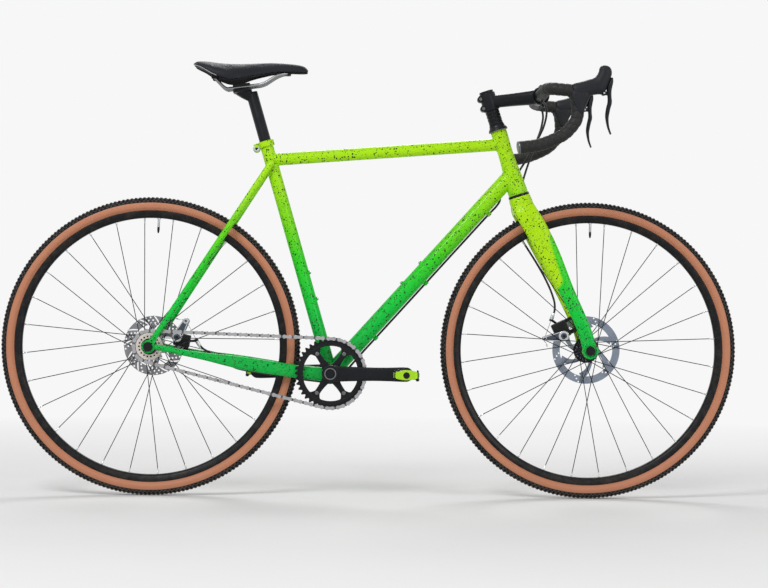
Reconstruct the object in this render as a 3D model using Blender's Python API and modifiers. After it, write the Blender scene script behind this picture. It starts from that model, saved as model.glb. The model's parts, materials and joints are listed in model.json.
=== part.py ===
"""Cyclocross bicycle with drop bars, cable disc brakes and a single-speed drive.

Metres. +X is forward, +Z is up and the drive side is -Y. The origin lies on the ground, midway between the axles.
"""

import math

import bmesh
import bpy
from mathutils import Matrix, Vector

for old in list(bpy.data.objects):
    bpy.data.objects.remove(old, do_unlink=True)

# Fits
GAP = 0.0003  # clearance between two pieces that touch
RUNNING_GAP = 0.0005  # clearance between a shaft and what turns on it

# Wheels
WHEELBASE = 1.0230
TYRE_RADIUS = 0.3480
TYRE_WIDTH = 0.0350
TYRE_WALL = 0.0026
RIM_RADIUS = 0.3165
RIM_DEPTH = 0.0175
RIM_WIDTH = 0.0240
SPOKE_COUNT = 28
SPOKE_RADIUS = 0.0010
SPOKE_CROSSINGS = 3
FLANGE_RADIUS = 0.0225
FLANGE_THICKNESS = 0.0034
HUB_BARREL_RADIUS = 0.0125
HUB_END_RADIUS = 0.0115
FRONT_HUB_WIDTH = 0.1000
REAR_HUB_WIDTH = 0.1420
FRONT_FLANGES = (-0.0310, 0.0220)
REAR_FLANGES = (-0.0190, 0.0350)
FRONT_AXLE_RADIUS = 0.0075
REAR_AXLE_RADIUS = 0.0060
AXLE_HEAD_RADIUS = 0.0110
AXLE_HEAD_LENGTH = 0.0050
VALVE_LENGTH = 0.0360
VALVE_RADIUS = 0.0030

# Disc brakes
FRONT_ROTOR_RADIUS = 0.0800
REAR_ROTOR_RADIUS = 0.0700
ROTOR_THICKNESS = 0.0018
ROTOR_BAND = 0.0145
ROTOR_CARRIER_RADIUS = 0.0215
FRONT_ROTOR_SIDE = 0.0395
REAR_ROTOR_SIDE = 0.0555
CALIPER_WIDTH = 0.0250
CALIPER_SLOT = 0.0034
ARM_THICKNESS = 0.0025
ARM_RING_RADIUS = 0.0115
ARM_PIN_RADIUS = 0.0032
EYE_RADIUS = 0.0048

# Frame
BB_DROP = 0.0585
CHAINSTAY_LENGTH = 0.4236
SEAT_ANGLE = math.radians(73.6)
HEAD_ANGLE = math.radians(71.8)
HEAD_TUBE_LENGTH = 0.1560
HEAD_TOP_RADIUS = 0.0188
HEAD_WAIST_RADIUS = 0.0178
HEAD_BOTTOM_RADIUS = 0.0230
TOP_TUBE_RADIUS = 0.0143
TOP_TUBE_BELOW_HEAD = 0.0326
TOP_TUBE_UP_SEAT_TUBE = 0.5180
DOWN_TUBE_RADIUS = 0.0190
DOWN_TUBE_BELOW_HEAD = 0.1068
SEAT_TUBE_RADIUS = 0.0152
SEAT_TUBE_LENGTH = 0.5630
TUBE_WALL = 0.0012
BB_SHELL_RADIUS = 0.0205
BB_SHELL_WIDTH = 0.0680
BB_SHELL_WALL = 0.0030
BB_CUP_LENGTH = 0.0100
SPINDLE_RADIUS = 0.0120
DROPOUT_THICKNESS = 0.0070
DROPOUT_RADIUS = 0.0155
STAY_END_RADIUS = 0.0066
SEATSTAY_TOP_RADIUS = 0.0080
SEATSTAY_TOP_SPREAD = 0.0195
SEATSTAY_TOP_BELOW = 0.0540
BOSS_SPACING = 0.0640
BOSS_RADIUS = 0.0045
BOSS_HEIGHT = 0.0022
COLLAR_HEIGHT = 0.0130
COLLAR_RADIUS = 0.0192

# Fork and headset
FORK_RAKE = 0.0450
AXLE_TO_CROWN = 0.3930
LOWER_STACK = 0.0060
COVER_HEIGHT = 0.0160
COVER_RADIUS = 0.0225
SPACER_STACK = 0.0340
SPACER_RADIUS = 0.0165
STEERER_RADIUS = 0.0143
CROWN_RADIUS = 0.0256
CROWN_HEIGHT = 0.0360
FORK_END_RADIUS = 0.0190
FORK_END_THICKNESS = 0.0120

# Stem and bars
STEM_CLAMP_HEIGHT = 0.0420
STEM_CLAMP_RADIUS = 0.0190
STEM_RADIUS = 0.0150
STEM_REACH = 0.1180
STEM_DROP = 0.0236
TOP_CAP_HEIGHT = 0.0056
BAR_CLAMP_RADIUS = 0.0159
BAR_RADIUS = 0.0119
BAR_CLAMP_WIDTH = 0.0450
FACEPLATE_WALL = 0.0048
BAR_HALF_WIDTH = 0.2060
TAPE_START = 0.0600
TAPE_THICKNESS = 0.0028
PLUG_LENGTH = 0.0035
LEVER_PIVOT_RADIUS = 0.0020
LEVER_BARREL_RADIUS = 0.0050
LEVER_BARREL_WIDTH = 0.0120

# Seat
SEATPOST_RADIUS = 0.0136
SEATPOST_WALL = 0.0022
SEATPOST_INSERTION = 0.1400
SEATPOST_EXPOSED = 0.0980
RAIL_RADIUS = 0.0035
RAIL_SPREAD = 0.0220
SADDLE_LENGTH = 0.2680
SADDLE_WIDTH = 0.1420
PAD_THICKNESS = 0.0150
SADDLE_SHELL_THICKNESS = 0.0026

# Drive
CHAIN_PITCH = 0.0127
RING_TEETH = 40
COG_TEETH = 18
CHAIN_LINE = 0.0465
CHAIN_WIDTH = 0.0070
CHAIN_INNER_WIDTH = 0.0032
CHAIN_HEIGHT = 0.0087
TOOTH_HEIGHT = 0.0024
TOOTH_ROOT = 0.0040
SPROCKET_THICKNESS = 0.0021
RING_BOLT_RADIUS = 0.0550
RING_BAND_RADIUS = 0.0640
COG_DISC_RADIUS = 0.0290
CRANK_LENGTH = 0.1750
CRANK_SIDE = 0.0665
CRANK_END_SIDE = 0.0725
CRANK_THICKNESS = 0.0120
CRANK_HUB_RADIUS = 0.0200
CRANK_ROWS = ((0.0457, 0.750), (0.1714, 0.675), (0.5714, 0.575), (0.9143, 0.625), (0.9829, 0.650))
CRANK_EYE_RADIUS = 0.0150
SPIDER_THICKNESS = 0.0055
PEDAL_LENGTH = 0.0600
PEDAL_WIDTH = 0.0520
PEDAL_HEIGHT = 0.0240
PEDAL_SPINDLE_RADIUS = 0.0045

# Brake cables
CABLE_RADIUS = 0.0025
WIRE_RADIUS = 0.0008
CABLE_STANDOFF = 0.0036
GUIDE_RADIUS = 0.0048
GUIDE_LENGTH = 0.0100

# Axes of the frame
REAR_AXLE = Vector((-WHEELBASE / 2, 0, TYRE_RADIUS))
FRONT_AXLE = Vector((WHEELBASE / 2, 0, TYRE_RADIUS))
BB = REAR_AXLE + Vector((math.sqrt(CHAINSTAY_LENGTH**2 - BB_DROP**2), 0, -BB_DROP))
SEAT_UP = Vector((-math.cos(SEAT_ANGLE), 0, math.sin(SEAT_ANGLE)))
STEER_UP = Vector((-math.cos(HEAD_ANGLE), 0, math.sin(HEAD_ANGLE)))
STEER_FORE = Vector((math.sin(HEAD_ANGLE), 0, math.cos(HEAD_ANGLE)))
CROWN = FRONT_AXLE - FORK_RAKE * STEER_FORE + AXLE_TO_CROWN * STEER_UP
HEAD_BOTTOM = CROWN + LOWER_STACK * STEER_UP
HEAD_TOP = HEAD_BOTTOM + HEAD_TUBE_LENGTH * STEER_UP
TOP_TUBE_FRONT = HEAD_TOP - TOP_TUBE_BELOW_HEAD * STEER_UP
TOP_TUBE_REAR = BB + TOP_TUBE_UP_SEAT_TUBE * SEAT_UP
DOWN_TUBE_TOP = HEAD_TOP - DOWN_TUBE_BELOW_HEAD * STEER_UP
SEAT_TUBE_TOP = BB + SEAT_TUBE_LENGTH * SEAT_UP
DOWN_DIR = (BB - DOWN_TUBE_TOP).normalized()
DOWN_UNDER = Vector((-DOWN_DIR.z, 0, DOWN_DIR.x))
SIDE = Vector((0, 1, 0))

bike = bpy.data.collections.new("cyclocross_bike")
cutters = bpy.data.collections.new("cutters")
bpy.context.scene.collection.children.link(bike)
bpy.context.scene.collection.children.link(cutters)


def material(name, colour, roughness, metallic=0.0):
    """A plain Principled material."""
    made = bpy.data.materials.new(name)
    made.use_nodes = True
    shader = made.node_tree.nodes["Principled BSDF"]
    shader.inputs["Base Color"].default_value = (*colour, 1.0)
    shader.inputs["Roughness"].default_value = roughness
    shader.inputs["Metallic"].default_value = metallic
    return made


LIME_PAINT = material("lime_paint", (0.42, 0.72, 0.03), 0.30)
GREEN_PAINT = material("green_paint", (0.02, 0.52, 0.13), 0.30)
PEDAL_GREEN = material("pedal_green", (0.36, 0.68, 0.05), 0.40)
BLACK_ALLOY = material("black_alloy", (0.020, 0.020, 0.022), 0.38, 0.6)
BLACK_STEEL = material("black_steel", (0.030, 0.030, 0.032), 0.35, 0.8)
STEEL = material("steel", (0.56, 0.57, 0.58), 0.30, 1.0)
CHAIN_STEEL = material("chain_steel", (0.48, 0.48, 0.47), 0.38, 1.0)
RUBBER = material("tyre_rubber", (0.022, 0.022, 0.023), 0.85)
HOOD_RUBBER = material("hood_rubber", (0.025, 0.025, 0.027), 0.70)
TAPE = material("bar_tape", (0.030, 0.030, 0.034), 0.60)
SADDLE_COVER = material("saddle_cover", (0.020, 0.020, 0.022), 0.50)
BLACK_PLASTIC = material("black_plastic", (0.025, 0.025, 0.027), 0.50)
CABLE = material("cable_housing", (0.020, 0.020, 0.022), 0.45)


def collect(obj, mat, parent=None):
    """Keeps a piece in the bike's collection with its material, held by its parent."""
    obj.data.materials.clear()
    obj.data.materials.append(mat)
    bike.objects.link(obj)
    if parent is not None:
        bpy.context.view_layer.update()
        obj.parent = parent
        obj.matrix_parent_inverse = parent.matrix_world.inverted()
    return obj


def as_cutter(obj):
    """Keeps a shape only as the tool of a Boolean."""
    cutters.objects.link(obj)
    obj.hide_render = True
    obj.display_type = "WIRE"
    return obj


def boolean(obj, tools, operation="DIFFERENCE"):
    """Adds one Boolean for each tool."""
    for tool in tools:
        step = obj.modifiers.new(f"{operation.lower()}_{tool.name}", "BOOLEAN")
        step.operation = operation
        step.solver = "EXACT"
        step.object = tool
    return obj


def pivot(name, at, direction=None, parent=None):
    """An empty on a joint's axis."""
    empty = bpy.data.objects.new(name, None)
    empty.empty_display_size = 0.04
    empty.location = at
    if direction is not None:
        empty.rotation_euler = Vector(direction).to_track_quat("Z", "Y").to_euler()
    bike.objects.link(empty)
    if parent is not None:
        bpy.context.view_layer.update()
        empty.parent = parent
        empty.matrix_parent_inverse = parent.matrix_world.inverted()
    bpy.context.view_layer.update()
    return empty


def from_bmesh(name, bm, at=(0, 0, 0), smooth=True):
    """An object whose points are stored about its own origin."""
    mesh = bpy.data.meshes.new(name)
    bmesh.ops.recalc_face_normals(bm, faces=bm.faces)
    bmesh.ops.translate(bm, vec=-Vector(at), verts=bm.verts)
    bm.to_mesh(mesh)
    bm.free()
    if smooth:
        mesh.shade_smooth()
        mesh.set_sharp_from_angle(angle=math.radians(35))
    obj = bpy.data.objects.new(name, mesh)
    obj.location = at
    return obj


def meshed(obj):
    """The same piece as a plain mesh, with a curve's caps welded on."""
    bike.objects.link(obj)
    bpy.context.view_layer.update()
    shown = obj.evaluated_get(bpy.context.evaluated_depsgraph_get())
    mesh = bpy.data.meshes.new_from_object(shown)
    bm = bmesh.new()
    bm.from_mesh(mesh)
    bmesh.ops.remove_doubles(bm, verts=bm.verts, dist=1e-6)
    bmesh.ops.recalc_face_normals(bm, faces=bm.faces)
    bm.to_mesh(mesh)
    bm.free()
    mesh.shade_smooth()
    mesh.set_sharp_from_angle(angle=math.radians(35))
    made = bpy.data.objects.new(obj.name, mesh)
    made.matrix_world = obj.matrix_world
    name = obj.name
    bpy.data.objects.remove(obj)
    made.name = name
    return made


def turned(name, profile, at, direction, steps=32):
    """A profile of (radius, height) points, turned about an axis; its outer side runs from top to bottom."""
    mesh = bpy.data.meshes.new(name)
    points = [(radius, 0, height) for radius, height in profile]
    edges = [(i, i + 1) for i in range(len(points) - 1)]
    if profile[0][0] > 0:
        edges.append((len(points) - 1, 0))
    mesh.from_pydata(points, edges, [])
    obj = bpy.data.objects.new(name, mesh)
    obj.location = at
    obj.rotation_euler = Vector(direction).to_track_quat("Z", "Y").to_euler()
    screw = obj.modifiers.new("turn", "SCREW")
    screw.axis = "Z"
    screw.angle = math.tau
    screw.steps = steps
    screw.render_steps = steps
    screw.use_merge_vertices = True
    screw.merge_threshold = 1e-5
    return obj


def ring_profile(outer, inner, low, high):
    """A plain sleeve's profile."""
    return [(outer, high), (outer, low), (inner, low), (inner, high)]


def pin_profile(radius, low, high):
    """A plain solid pin's profile."""
    return [(0, high), (radius, high), (radius, low), (0, low)]


def rod(name, start, end, radius, end_radius=None, sides=24):
    """A straight solid cylinder or cone between two points."""
    start, end = Vector(start), Vector(end)
    bm = bmesh.new()
    bmesh.ops.create_cone(
        bm,
        cap_ends=True,
        segments=sides,
        radius1=radius,
        radius2=radius if end_radius is None else end_radius,
        depth=(end - start).length,
    )
    obj = from_bmesh(name, bm)
    obj.location = (start + end) / 2
    obj.rotation_euler = (end - start).to_track_quat("Z", "Y").to_euler()
    return obj


def block(name, size, at, tilt=0.0, bevel=0.0):
    """A box turned about the side axis, with rounded edges."""
    bm = bmesh.new()
    bmesh.ops.create_cube(bm, size=1.0, matrix=Matrix.Diagonal((*size, 1.0)))
    obj = from_bmesh(name, bm, smooth=False)
    obj.location = at
    obj.rotation_euler = (0, tilt, 0)
    if bevel:
        edge = obj.modifiers.new("edges", "BEVEL")
        edge.width = bevel
        edge.segments = 2
    return obj


def plate(name, outlines, thickness, at, tilt=0.0):
    """Flat outlines of (forward, up) points, holes included, as a plate square to the side axis."""
    curve = bpy.data.curves.new(name, "CURVE")
    curve.dimensions = "2D"
    curve.fill_mode = "BOTH"
    curve.extrude = thickness / 2
    for outline in outlines:
        spline = curve.splines.new("POLY")
        spline.points.add(len(outline) - 1)
        for point, (forward, up) in zip(spline.points, outline):
            point.co = (forward, up, 0, 1)
        spline.use_cyclic_u = True
    obj = bpy.data.objects.new(name, curve)
    obj.location = at
    obj.rotation_euler = (math.pi / 2, tilt, 0)
    return obj


def circle(radius, count, centre=(0, 0), phase=0.0):
    """Points of a circle outline."""
    return [
        (
            centre[0] + radius * math.cos(math.tau * (i + phase) / count),
            centre[1] + radius * math.sin(math.tau * (i + phase) / count),
        )
        for i in range(count)
    ]


def smooth_path(points, per_span):
    """Catmull-Rom points through a route."""
    points = [Vector(p) for p in points]
    padded = [2 * points[0] - points[1], *points, 2 * points[-1] - points[-2]]
    path = []
    for i in range(1, len(padded) - 2):
        a, b, c, d = padded[i - 1 : i + 3]
        for k in range(per_span):
            t = k / per_span
            path.append(
                0.5
                * (
                    2 * b
                    + (c - a) * t
                    + (2 * a - 5 * b + 4 * c - d) * t**2
                    + (3 * b - a - 3 * c + d) * t**3
                )
            )
    path.append(points[-1])
    return path


def swept(name, path, radius, radii=None, resolution=2, caps=True):
    """A round tube along points; radii are shares of the radius."""
    curve = bpy.data.curves.new(name, "CURVE")
    curve.dimensions = "3D"
    curve.bevel_depth = radius
    curve.bevel_resolution = resolution
    curve.use_fill_caps = caps
    origin = Vector(path[0])
    spline = curve.splines.new("POLY")
    spline.points.add(len(path) - 1)
    for i, point in enumerate(path):
        spline.points[i].co = (*(Vector(point) - origin), 1)
        spline.points[i].radius = 1.0 if radii is None else radii[i]
    obj = bpy.data.objects.new(name, curve)
    obj.location = origin
    return obj


def loft(name, rings, at=(0, 0, 0)):
    """A closed skin through rings of equally many points."""
    bm = bmesh.new()
    rows = [[bm.verts.new(p) for p in ring] for ring in rings]
    count = len(rings[0])
    for low, high in zip(rows, rows[1:]):
        for i in range(count):
            j = (i + 1) % count
            bm.faces.new((low[i], low[j], high[j], high[i]))
    bm.faces.new(rows[0])
    bm.faces.new(rows[-1])
    return from_bmesh(name, bm, at)


def oval(centre, across, along, half_across, half_along, count, power=2.0):
    """A ring of points, rounder or squarer by its power."""
    ring = []
    for i in range(count):
        angle = math.tau * (i + 0.5) / count
        c, s = math.cos(angle), math.sin(angle)
        u = math.copysign(abs(c) ** (2 / power), c)
        v = math.copysign(abs(s) ** (2 / power), s)
        ring.append(Vector(centre) + across * half_across * u + along * half_along * v)
    return ring


def from_crown(fore, side, up):
    """A point by its place along the steering axis."""
    return CROWN + fore * STEER_FORE + side * SIDE + up * STEER_UP


def interpolate(table, x):
    """A value read from a table of (x, value) rows."""
    if x <= table[0][0]:
        return table[0][1]
    for (x0, v0), (x1, v1) in zip(table, table[1:]):
        if x <= x1:
            return v0 + (v1 - v0) * (x - x0) / (x1 - x0)
    return table[-1][1]


# Pivots
steering = pivot("steering_axis", HEAD_BOTTOM, STEER_UP)
front_spin = pivot("front_wheel_axis", FRONT_AXLE, SIDE, steering)
rear_spin = pivot("rear_wheel_axis", REAR_AXLE, SIDE)
crank_spin = pivot("crank_axis", BB, SIDE)
seat_slide = pivot("seatpost_axis", SEAT_TUBE_TOP, SEAT_UP)


# Frame tubes
HEAD_OUTLINE = [
    (1.00, HEAD_TOP_RADIUS),
    (0.90, HEAD_TOP_RADIUS),
    (0.62, HEAD_WAIST_RADIUS),
    (0.34, (HEAD_WAIST_RADIUS + HEAD_BOTTOM_RADIUS) / 2),
    (0.10, HEAD_BOTTOM_RADIUS),
    (0.00, HEAD_BOTTOM_RADIUS),
]


def head_side(grow):
    """The head tube's outer side, top to bottom."""
    return [(radius + grow, share * HEAD_TUBE_LENGTH) for share, radius in HEAD_OUTLINE]


head_bore = STEERER_RADIUS + RUNNING_GAP
head_tube = turned(
    "head_tube",
    [*head_side(0), (head_bore, 0), (head_bore, HEAD_TUBE_LENGTH)],
    HEAD_BOTTOM,
    STEER_UP,
    24,
)
collect(head_tube, LIME_PAINT)

head_cut = as_cutter(
    turned(
        "head_cut",
        [(0, HEAD_TUBE_LENGTH), *head_side(GAP), (0, 0)],
        HEAD_BOTTOM,
        STEER_UP,
        24,
    )
)
shell_cut = as_cutter(
    rod(
        "shell_cut",
        BB - SIDE * BB_SHELL_WIDTH,
        BB + SIDE * BB_SHELL_WIDTH,
        BB_SHELL_RADIUS + GAP,
        sides=24,
    )
)
seat_tube_cut = as_cutter(
    rod("seat_tube_cut", BB, SEAT_TUBE_TOP + 0.02 * SEAT_UP, SEAT_TUBE_RADIUS + GAP, sides=24)
)


def frame_tube(name, start, end, radius, bore, mat, tools):
    """A straight open tube, mitred to the pieces it meets."""
    start, end = Vector(start), Vector(end)
    tube = turned(
        name, ring_profile(radius, bore, 0, (end - start).length), start, end - start, 20
    )
    boolean(tube, tools)
    return collect(tube, mat)


frame_tube(
    "top_tube",
    TOP_TUBE_REAR,
    TOP_TUBE_FRONT,
    TOP_TUBE_RADIUS,
    TOP_TUBE_RADIUS - TUBE_WALL,
    LIME_PAINT,
    [head_cut, seat_tube_cut],
)
down_tube = frame_tube(
    "down_tube",
    BB,
    DOWN_TUBE_TOP,
    DOWN_TUBE_RADIUS,
    DOWN_TUBE_RADIUS - TUBE_WALL,
    LIME_PAINT,
    [head_cut, seat_tube_cut, shell_cut],
)
seat_tube = frame_tube(
    "seat_tube",
    BB,
    SEAT_TUBE_TOP,
    SEAT_TUBE_RADIUS,
    SEATPOST_RADIUS + GAP,
    LIME_PAINT,
    [shell_cut],
)
shell_bore = BB_SHELL_RADIUS - BB_SHELL_WALL
collect(
    turned(
        "bottom_bracket_shell",
        ring_profile(BB_SHELL_RADIUS, shell_bore, -BB_SHELL_WIDTH / 2, BB_SHELL_WIDTH / 2),
        BB,
        SIDE,
        24,
    ),
    GREEN_PAINT,
)

# Bottle bosses and cable guides, welded to their tubes
DOWN_BOSSES = (0.2680, 0.2680 + BOSS_SPACING)
SEAT_BOSSES = (0.1760, 0.1760 + BOSS_SPACING)
SEAT_FORE = Vector((math.sin(SEAT_ANGLE), 0, math.cos(SEAT_ANGLE)))


def boss(name, at, outward, radius):
    """A low screw boss standing on a tube."""
    start = at + outward * (radius - TUBE_WALL / 2)
    return as_cutter(rod(name, start, at + outward * (radius + BOSS_HEIGHT), BOSS_RADIUS, sides=8))


bosses = [
    boss(f"down_boss_{i}", BB - DOWN_DIR * along, -DOWN_UNDER, DOWN_TUBE_RADIUS)
    for i, along in enumerate(DOWN_BOSSES)
]
boolean(down_tube, bosses, "UNION")
bosses = [
    boss(f"seat_boss_{i}", BB + SEAT_UP * along, SEAT_FORE, SEAT_TUBE_RADIUS)
    for i, along in enumerate(SEAT_BOSSES)
]
boolean(seat_tube, bosses, "UNION")

CABLE_DEPTH = DOWN_TUBE_RADIUS + CABLE_STANDOFF


def under_down_tube(from_top):
    """The brake cable's place below the down tube."""
    return DOWN_TUBE_TOP + DOWN_DIR * from_top + DOWN_UNDER * CABLE_DEPTH


GUIDES_FROM_TOP = (0.1050, 0.3250, 0.5000)
guides = [
    as_cutter(
        turned(
            f"cable_guide_{i}",
            ring_profile(GUIDE_RADIUS, CABLE_RADIUS + GAP, -GUIDE_LENGTH / 2, GUIDE_LENGTH / 2),
            under_down_tube(from_top),
            DOWN_DIR,
            8,
        )
    )
    for i, from_top in enumerate(GUIDES_FROM_TOP)
]
boolean(down_tube, guides, "UNION")

# Dropouts
DROPOUT_SIDE = REAR_HUB_WIDTH / 2 + GAP + DROPOUT_THICKNESS / 2
STAY_TOP = BB + SEAT_UP * (SEAT_TUBE_LENGTH - SEATSTAY_TOP_BELOW)
STAY_DIR = Vector((STAY_TOP.x - REAR_AXLE.x, 0, STAY_TOP.z - REAR_AXLE.z)).normalized()
STAY_START = 0.0260


def dropout_outline():
    """A ring around the axle with a tab towards the seatstay."""
    outline = [
        (DROPOUT_RADIUS * math.cos(math.radians(a)), DROPOUT_RADIUS * math.sin(math.radians(a)))
        for a in range(85, 386, 20)
    ]
    reach, half = STAY_START - GAP, STAY_END_RADIUS + 0.0008
    outline.append((STAY_DIR.x * reach + STAY_DIR.z * half, STAY_DIR.z * reach - STAY_DIR.x * half))
    outline.append((STAY_DIR.x * reach - STAY_DIR.z * half, STAY_DIR.z * reach + STAY_DIR.x * half))
    return outline


for side_name, side in (("right", -1), ("left", 1)):
    dropout = plate(
        f"dropout_{side_name}",
        [dropout_outline(), circle(REAR_AXLE_RADIUS + GAP, 16)],
        DROPOUT_THICKNESS,
        REAR_AXLE + SIDE * side * DROPOUT_SIDE,
    )
    collect(dropout, GREEN_PAINT)

# Stays. Each row is the share of the way to the bottom bracket, then sizes in metres.
CHAINSTAY_DROP = [(0.0, 0.0), (0.12, -0.0030), (0.28, -0.0050), (0.50, -0.0080), (0.80, -0.0085), (1.0, -0.0060)]
CHAINSTAY_SIDE = [
    (0.0, DROPOUT_SIDE),
    (0.12, 0.0735),
    (0.28, 0.0660),
    (0.40, 0.0570),
    (0.50, 0.0480),
    (0.65, 0.0360),
    (0.80, 0.0300),
    (1.0, 0.0250),
]
CHAINSTAY_HALF_HEIGHT = [
    (0.0, STAY_END_RADIUS),
    (0.12, STAY_END_RADIUS),
    (0.28, 0.0085),
    (0.40, 0.0130),
    (0.50, 0.0155),
    (0.80, 0.0155),
    (1.0, 0.0150),
]
CHAINSTAY_HALF_WIDTH = [(0.0, 0.0062), (0.12, 0.0066), (0.40, 0.0072), (0.65, 0.0078), (1.0, 0.0080)]
CHAINSTAY_SHARES = (0.0, 0.12, 0.20, 0.28, 0.34, 0.40, 0.50, 0.58, 0.65, 0.80, 1.0)


def chainstay_centre(share, side):
    """The stay's centre at a share of its way to the bottom bracket."""
    start = REAR_AXLE + Vector((DROPOUT_RADIUS + GAP, 0, 0))
    at = start.lerp(BB, share)
    at.y = side * interpolate(CHAINSTAY_SIDE, share)
    at.z += interpolate(CHAINSTAY_DROP, share)
    return at


def chainstay(name, side, grow=0.0):
    """A stay that starts round and grows to a tall oval."""
    rings = [
        oval(
            chainstay_centre(share, side),
            SIDE,
            Vector((0, 0, 1)),
            interpolate(CHAINSTAY_HALF_WIDTH, share) + grow,
            interpolate(CHAINSTAY_HALF_HEIGHT, share) + grow,
            12,
        )
        for share in CHAINSTAY_SHARES
    ]
    return loft(name, rings, chainstay_centre(0, side))


def seatstay(name, side):
    """A tapered stay from the dropout to the side of the seat tube."""
    high = Vector((STAY_TOP.x, side * SEATSTAY_TOP_SPREAD, STAY_TOP.z))
    lean = (DROPOUT_SIDE - SEATSTAY_TOP_SPREAD) / (high - REAR_AXLE).length
    start = STAY_START + STAY_END_RADIUS * lean
    low = REAR_AXLE + STAY_DIR * start + SIDE * side * DROPOUT_SIDE
    path = [low.lerp(high, i / 6) for i in range(7)]
    taper = [1 + (SEATSTAY_TOP_RADIUS / STAY_END_RADIUS - 1) * min(1, i / 4) for i in range(7)]
    return meshed(swept(name, path, STAY_END_RADIUS, taper, resolution=3))


for side_name, side in (("right", -1), ("left", 1)):
    stay = chainstay(f"chainstay_{side_name}", side)
    boolean(stay, [shell_cut])
    collect(stay, GREEN_PAINT)
    stay = seatstay(f"seatstay_{side_name}", side)
    boolean(stay, [seat_tube_cut])
    collect(stay, GREEN_PAINT)

# Seat collar with its pinch bolt behind
SEAT_BACK = -SEAT_FORE
COLLAR_BASE = SEAT_TUBE_TOP - SEAT_UP * (COLLAR_HEIGHT - GAP)
collar = turned(
    "seat_collar",
    pin_profile(COLLAR_RADIUS, 0, COLLAR_HEIGHT),
    COLLAR_BASE,
    SEAT_UP,
    20,
)
collar_middle = COLLAR_BASE + SEAT_UP * COLLAR_HEIGHT / 2
ear_at = collar_middle + SEAT_BACK * (COLLAR_RADIUS + 0.0035)
seat_tilt = math.pi / 2 - SEAT_ANGLE
ears = as_cutter(block("collar_ears", (0.0120, 0.0170, COLLAR_HEIGHT - 0.001), ear_at, -seat_tilt))
split = as_cutter(block("collar_split", (0.0240, 0.0024, COLLAR_HEIGHT * 2), ear_at, -seat_tilt))
pinch_at = collar_middle + SEAT_BACK * (COLLAR_RADIUS + 0.0045)
pinch = as_cutter(
    rod("collar_bolt", pinch_at - SIDE * 0.0110, pinch_at + SIDE * 0.0110, 0.0029, sides=10)
)
boolean(collar, [ears], "UNION")
boolean(collar, [seat_tube_cut, split])
boolean(collar, [pinch], "UNION")
collect(collar, BLACK_ALLOY)

# Headset
collect(
    turned(
        "headset_lower",
        ring_profile(CROWN_RADIUS - 0.0004, STEERER_RADIUS + RUNNING_GAP, GAP, LOWER_STACK - GAP),
        CROWN,
        STEER_UP,
        20,
    ),
    BLACK_ALLOY,
)
COVER_PROFILE = [
    (0.0175, COVER_HEIGHT),
    (COVER_RADIUS, COVER_HEIGHT * 0.45),
    (COVER_RADIUS, 0),
    (STEERER_RADIUS + GAP, 0),
    (STEERER_RADIUS + GAP, COVER_HEIGHT),
]
collect(
    turned("headset_cover", COVER_PROFILE, HEAD_TOP + GAP * STEER_UP, STEER_UP, 24),
    BLACK_ALLOY,
    steering,
)

# Bottom bracket cups, each screwed into the shell
for side_name, side in (("right", -1), ("left", 1)):
    cup_end = BB_SHELL_WIDTH / 2 + GAP + BB_CUP_LENGTH
    cup_face = BB_SHELL_WIDTH / 2 + GAP
    cup_root = BB_SHELL_WIDTH / 2 - 0.0120
    cup_profile = [
        (BB_SHELL_RADIUS, cup_end),
        (BB_SHELL_RADIUS, cup_face),
        (shell_bore - GAP, cup_face),
        (shell_bore - GAP, cup_root),
        (SPINDLE_RADIUS + RUNNING_GAP, cup_root),
        (SPINDLE_RADIUS + RUNNING_GAP, cup_end),
    ]
    collect(
        turned(f"bearing_cup_{side_name}", cup_profile, BB, SIDE * side, 20), BLACK_ALLOY
    )


# Axles
def axle(name, at, radius, half_width, parent=None):
    """A through axle whose head is on the drive side."""
    profile = [
        (0, half_width + AXLE_HEAD_LENGTH),
        (AXLE_HEAD_RADIUS, half_width + AXLE_HEAD_LENGTH),
        (AXLE_HEAD_RADIUS, half_width),
        (radius, half_width),
        (radius, -half_width),
        (0, -half_width),
    ]
    return collect(turned(name, profile, at, -SIDE, 16), BLACK_STEEL, parent)


REAR_OUTER = DROPOUT_SIDE + DROPOUT_THICKNESS / 2 + GAP
FORK_END_INNER = FRONT_HUB_WIDTH / 2 + GAP
FRONT_OUTER = FORK_END_INNER + FORK_END_THICKNESS + GAP
axle("rear_axle", REAR_AXLE, REAR_AXLE_RADIUS, REAR_OUTER)
axle("front_axle", FRONT_AXLE, FRONT_AXLE_RADIUS, FRONT_OUTER, steering)


# Wheels
TYRE_STEPS = 36
SECTION_RADIUS = TYRE_WIDTH / 2
SECTION_CENTRE = TYRE_RADIUS - SECTION_RADIUS
INSIDE_RIM = (RIM_RADIUS - RIM_DEPTH) * math.cos(math.pi / TYRE_STEPS) - GAP


def tyre_profile():
    """An open tyre section: tread, sidewalls and beads."""
    bead = RIM_RADIUS + GAP
    half = [(bead, 0.60 * SECTION_RADIUS)]
    for a in (-22, 14, 50):
        angle = math.radians(a)
        half.append(
            (
                SECTION_CENTRE + SECTION_RADIUS * math.sin(angle),
                SECTION_RADIUS * math.cos(angle),
            )
        )
    outer = [*half, (TYRE_RADIUS, 0), *[(r, -y) for r, y in reversed(half)]]
    inside = SECTION_RADIUS - TYRE_WALL
    inner = [
        (bead, -0.60 * SECTION_RADIUS + TYRE_WALL),
        (SECTION_CENTRE + 0.45 * inside, -0.80 * inside),
        (SECTION_CENTRE + 0.45 * inside, 0.80 * inside),
        (bead, 0.60 * SECTION_RADIUS - TYRE_WALL),
    ]
    return outer + inner


HUB_STEPS = 16
HUB_SEAT_RADIUS = ROTOR_CARRIER_RADIUS - 0.0040
HUB_LOCK_RADIUS = ROTOR_CARRIER_RADIUS - 0.0020


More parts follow.
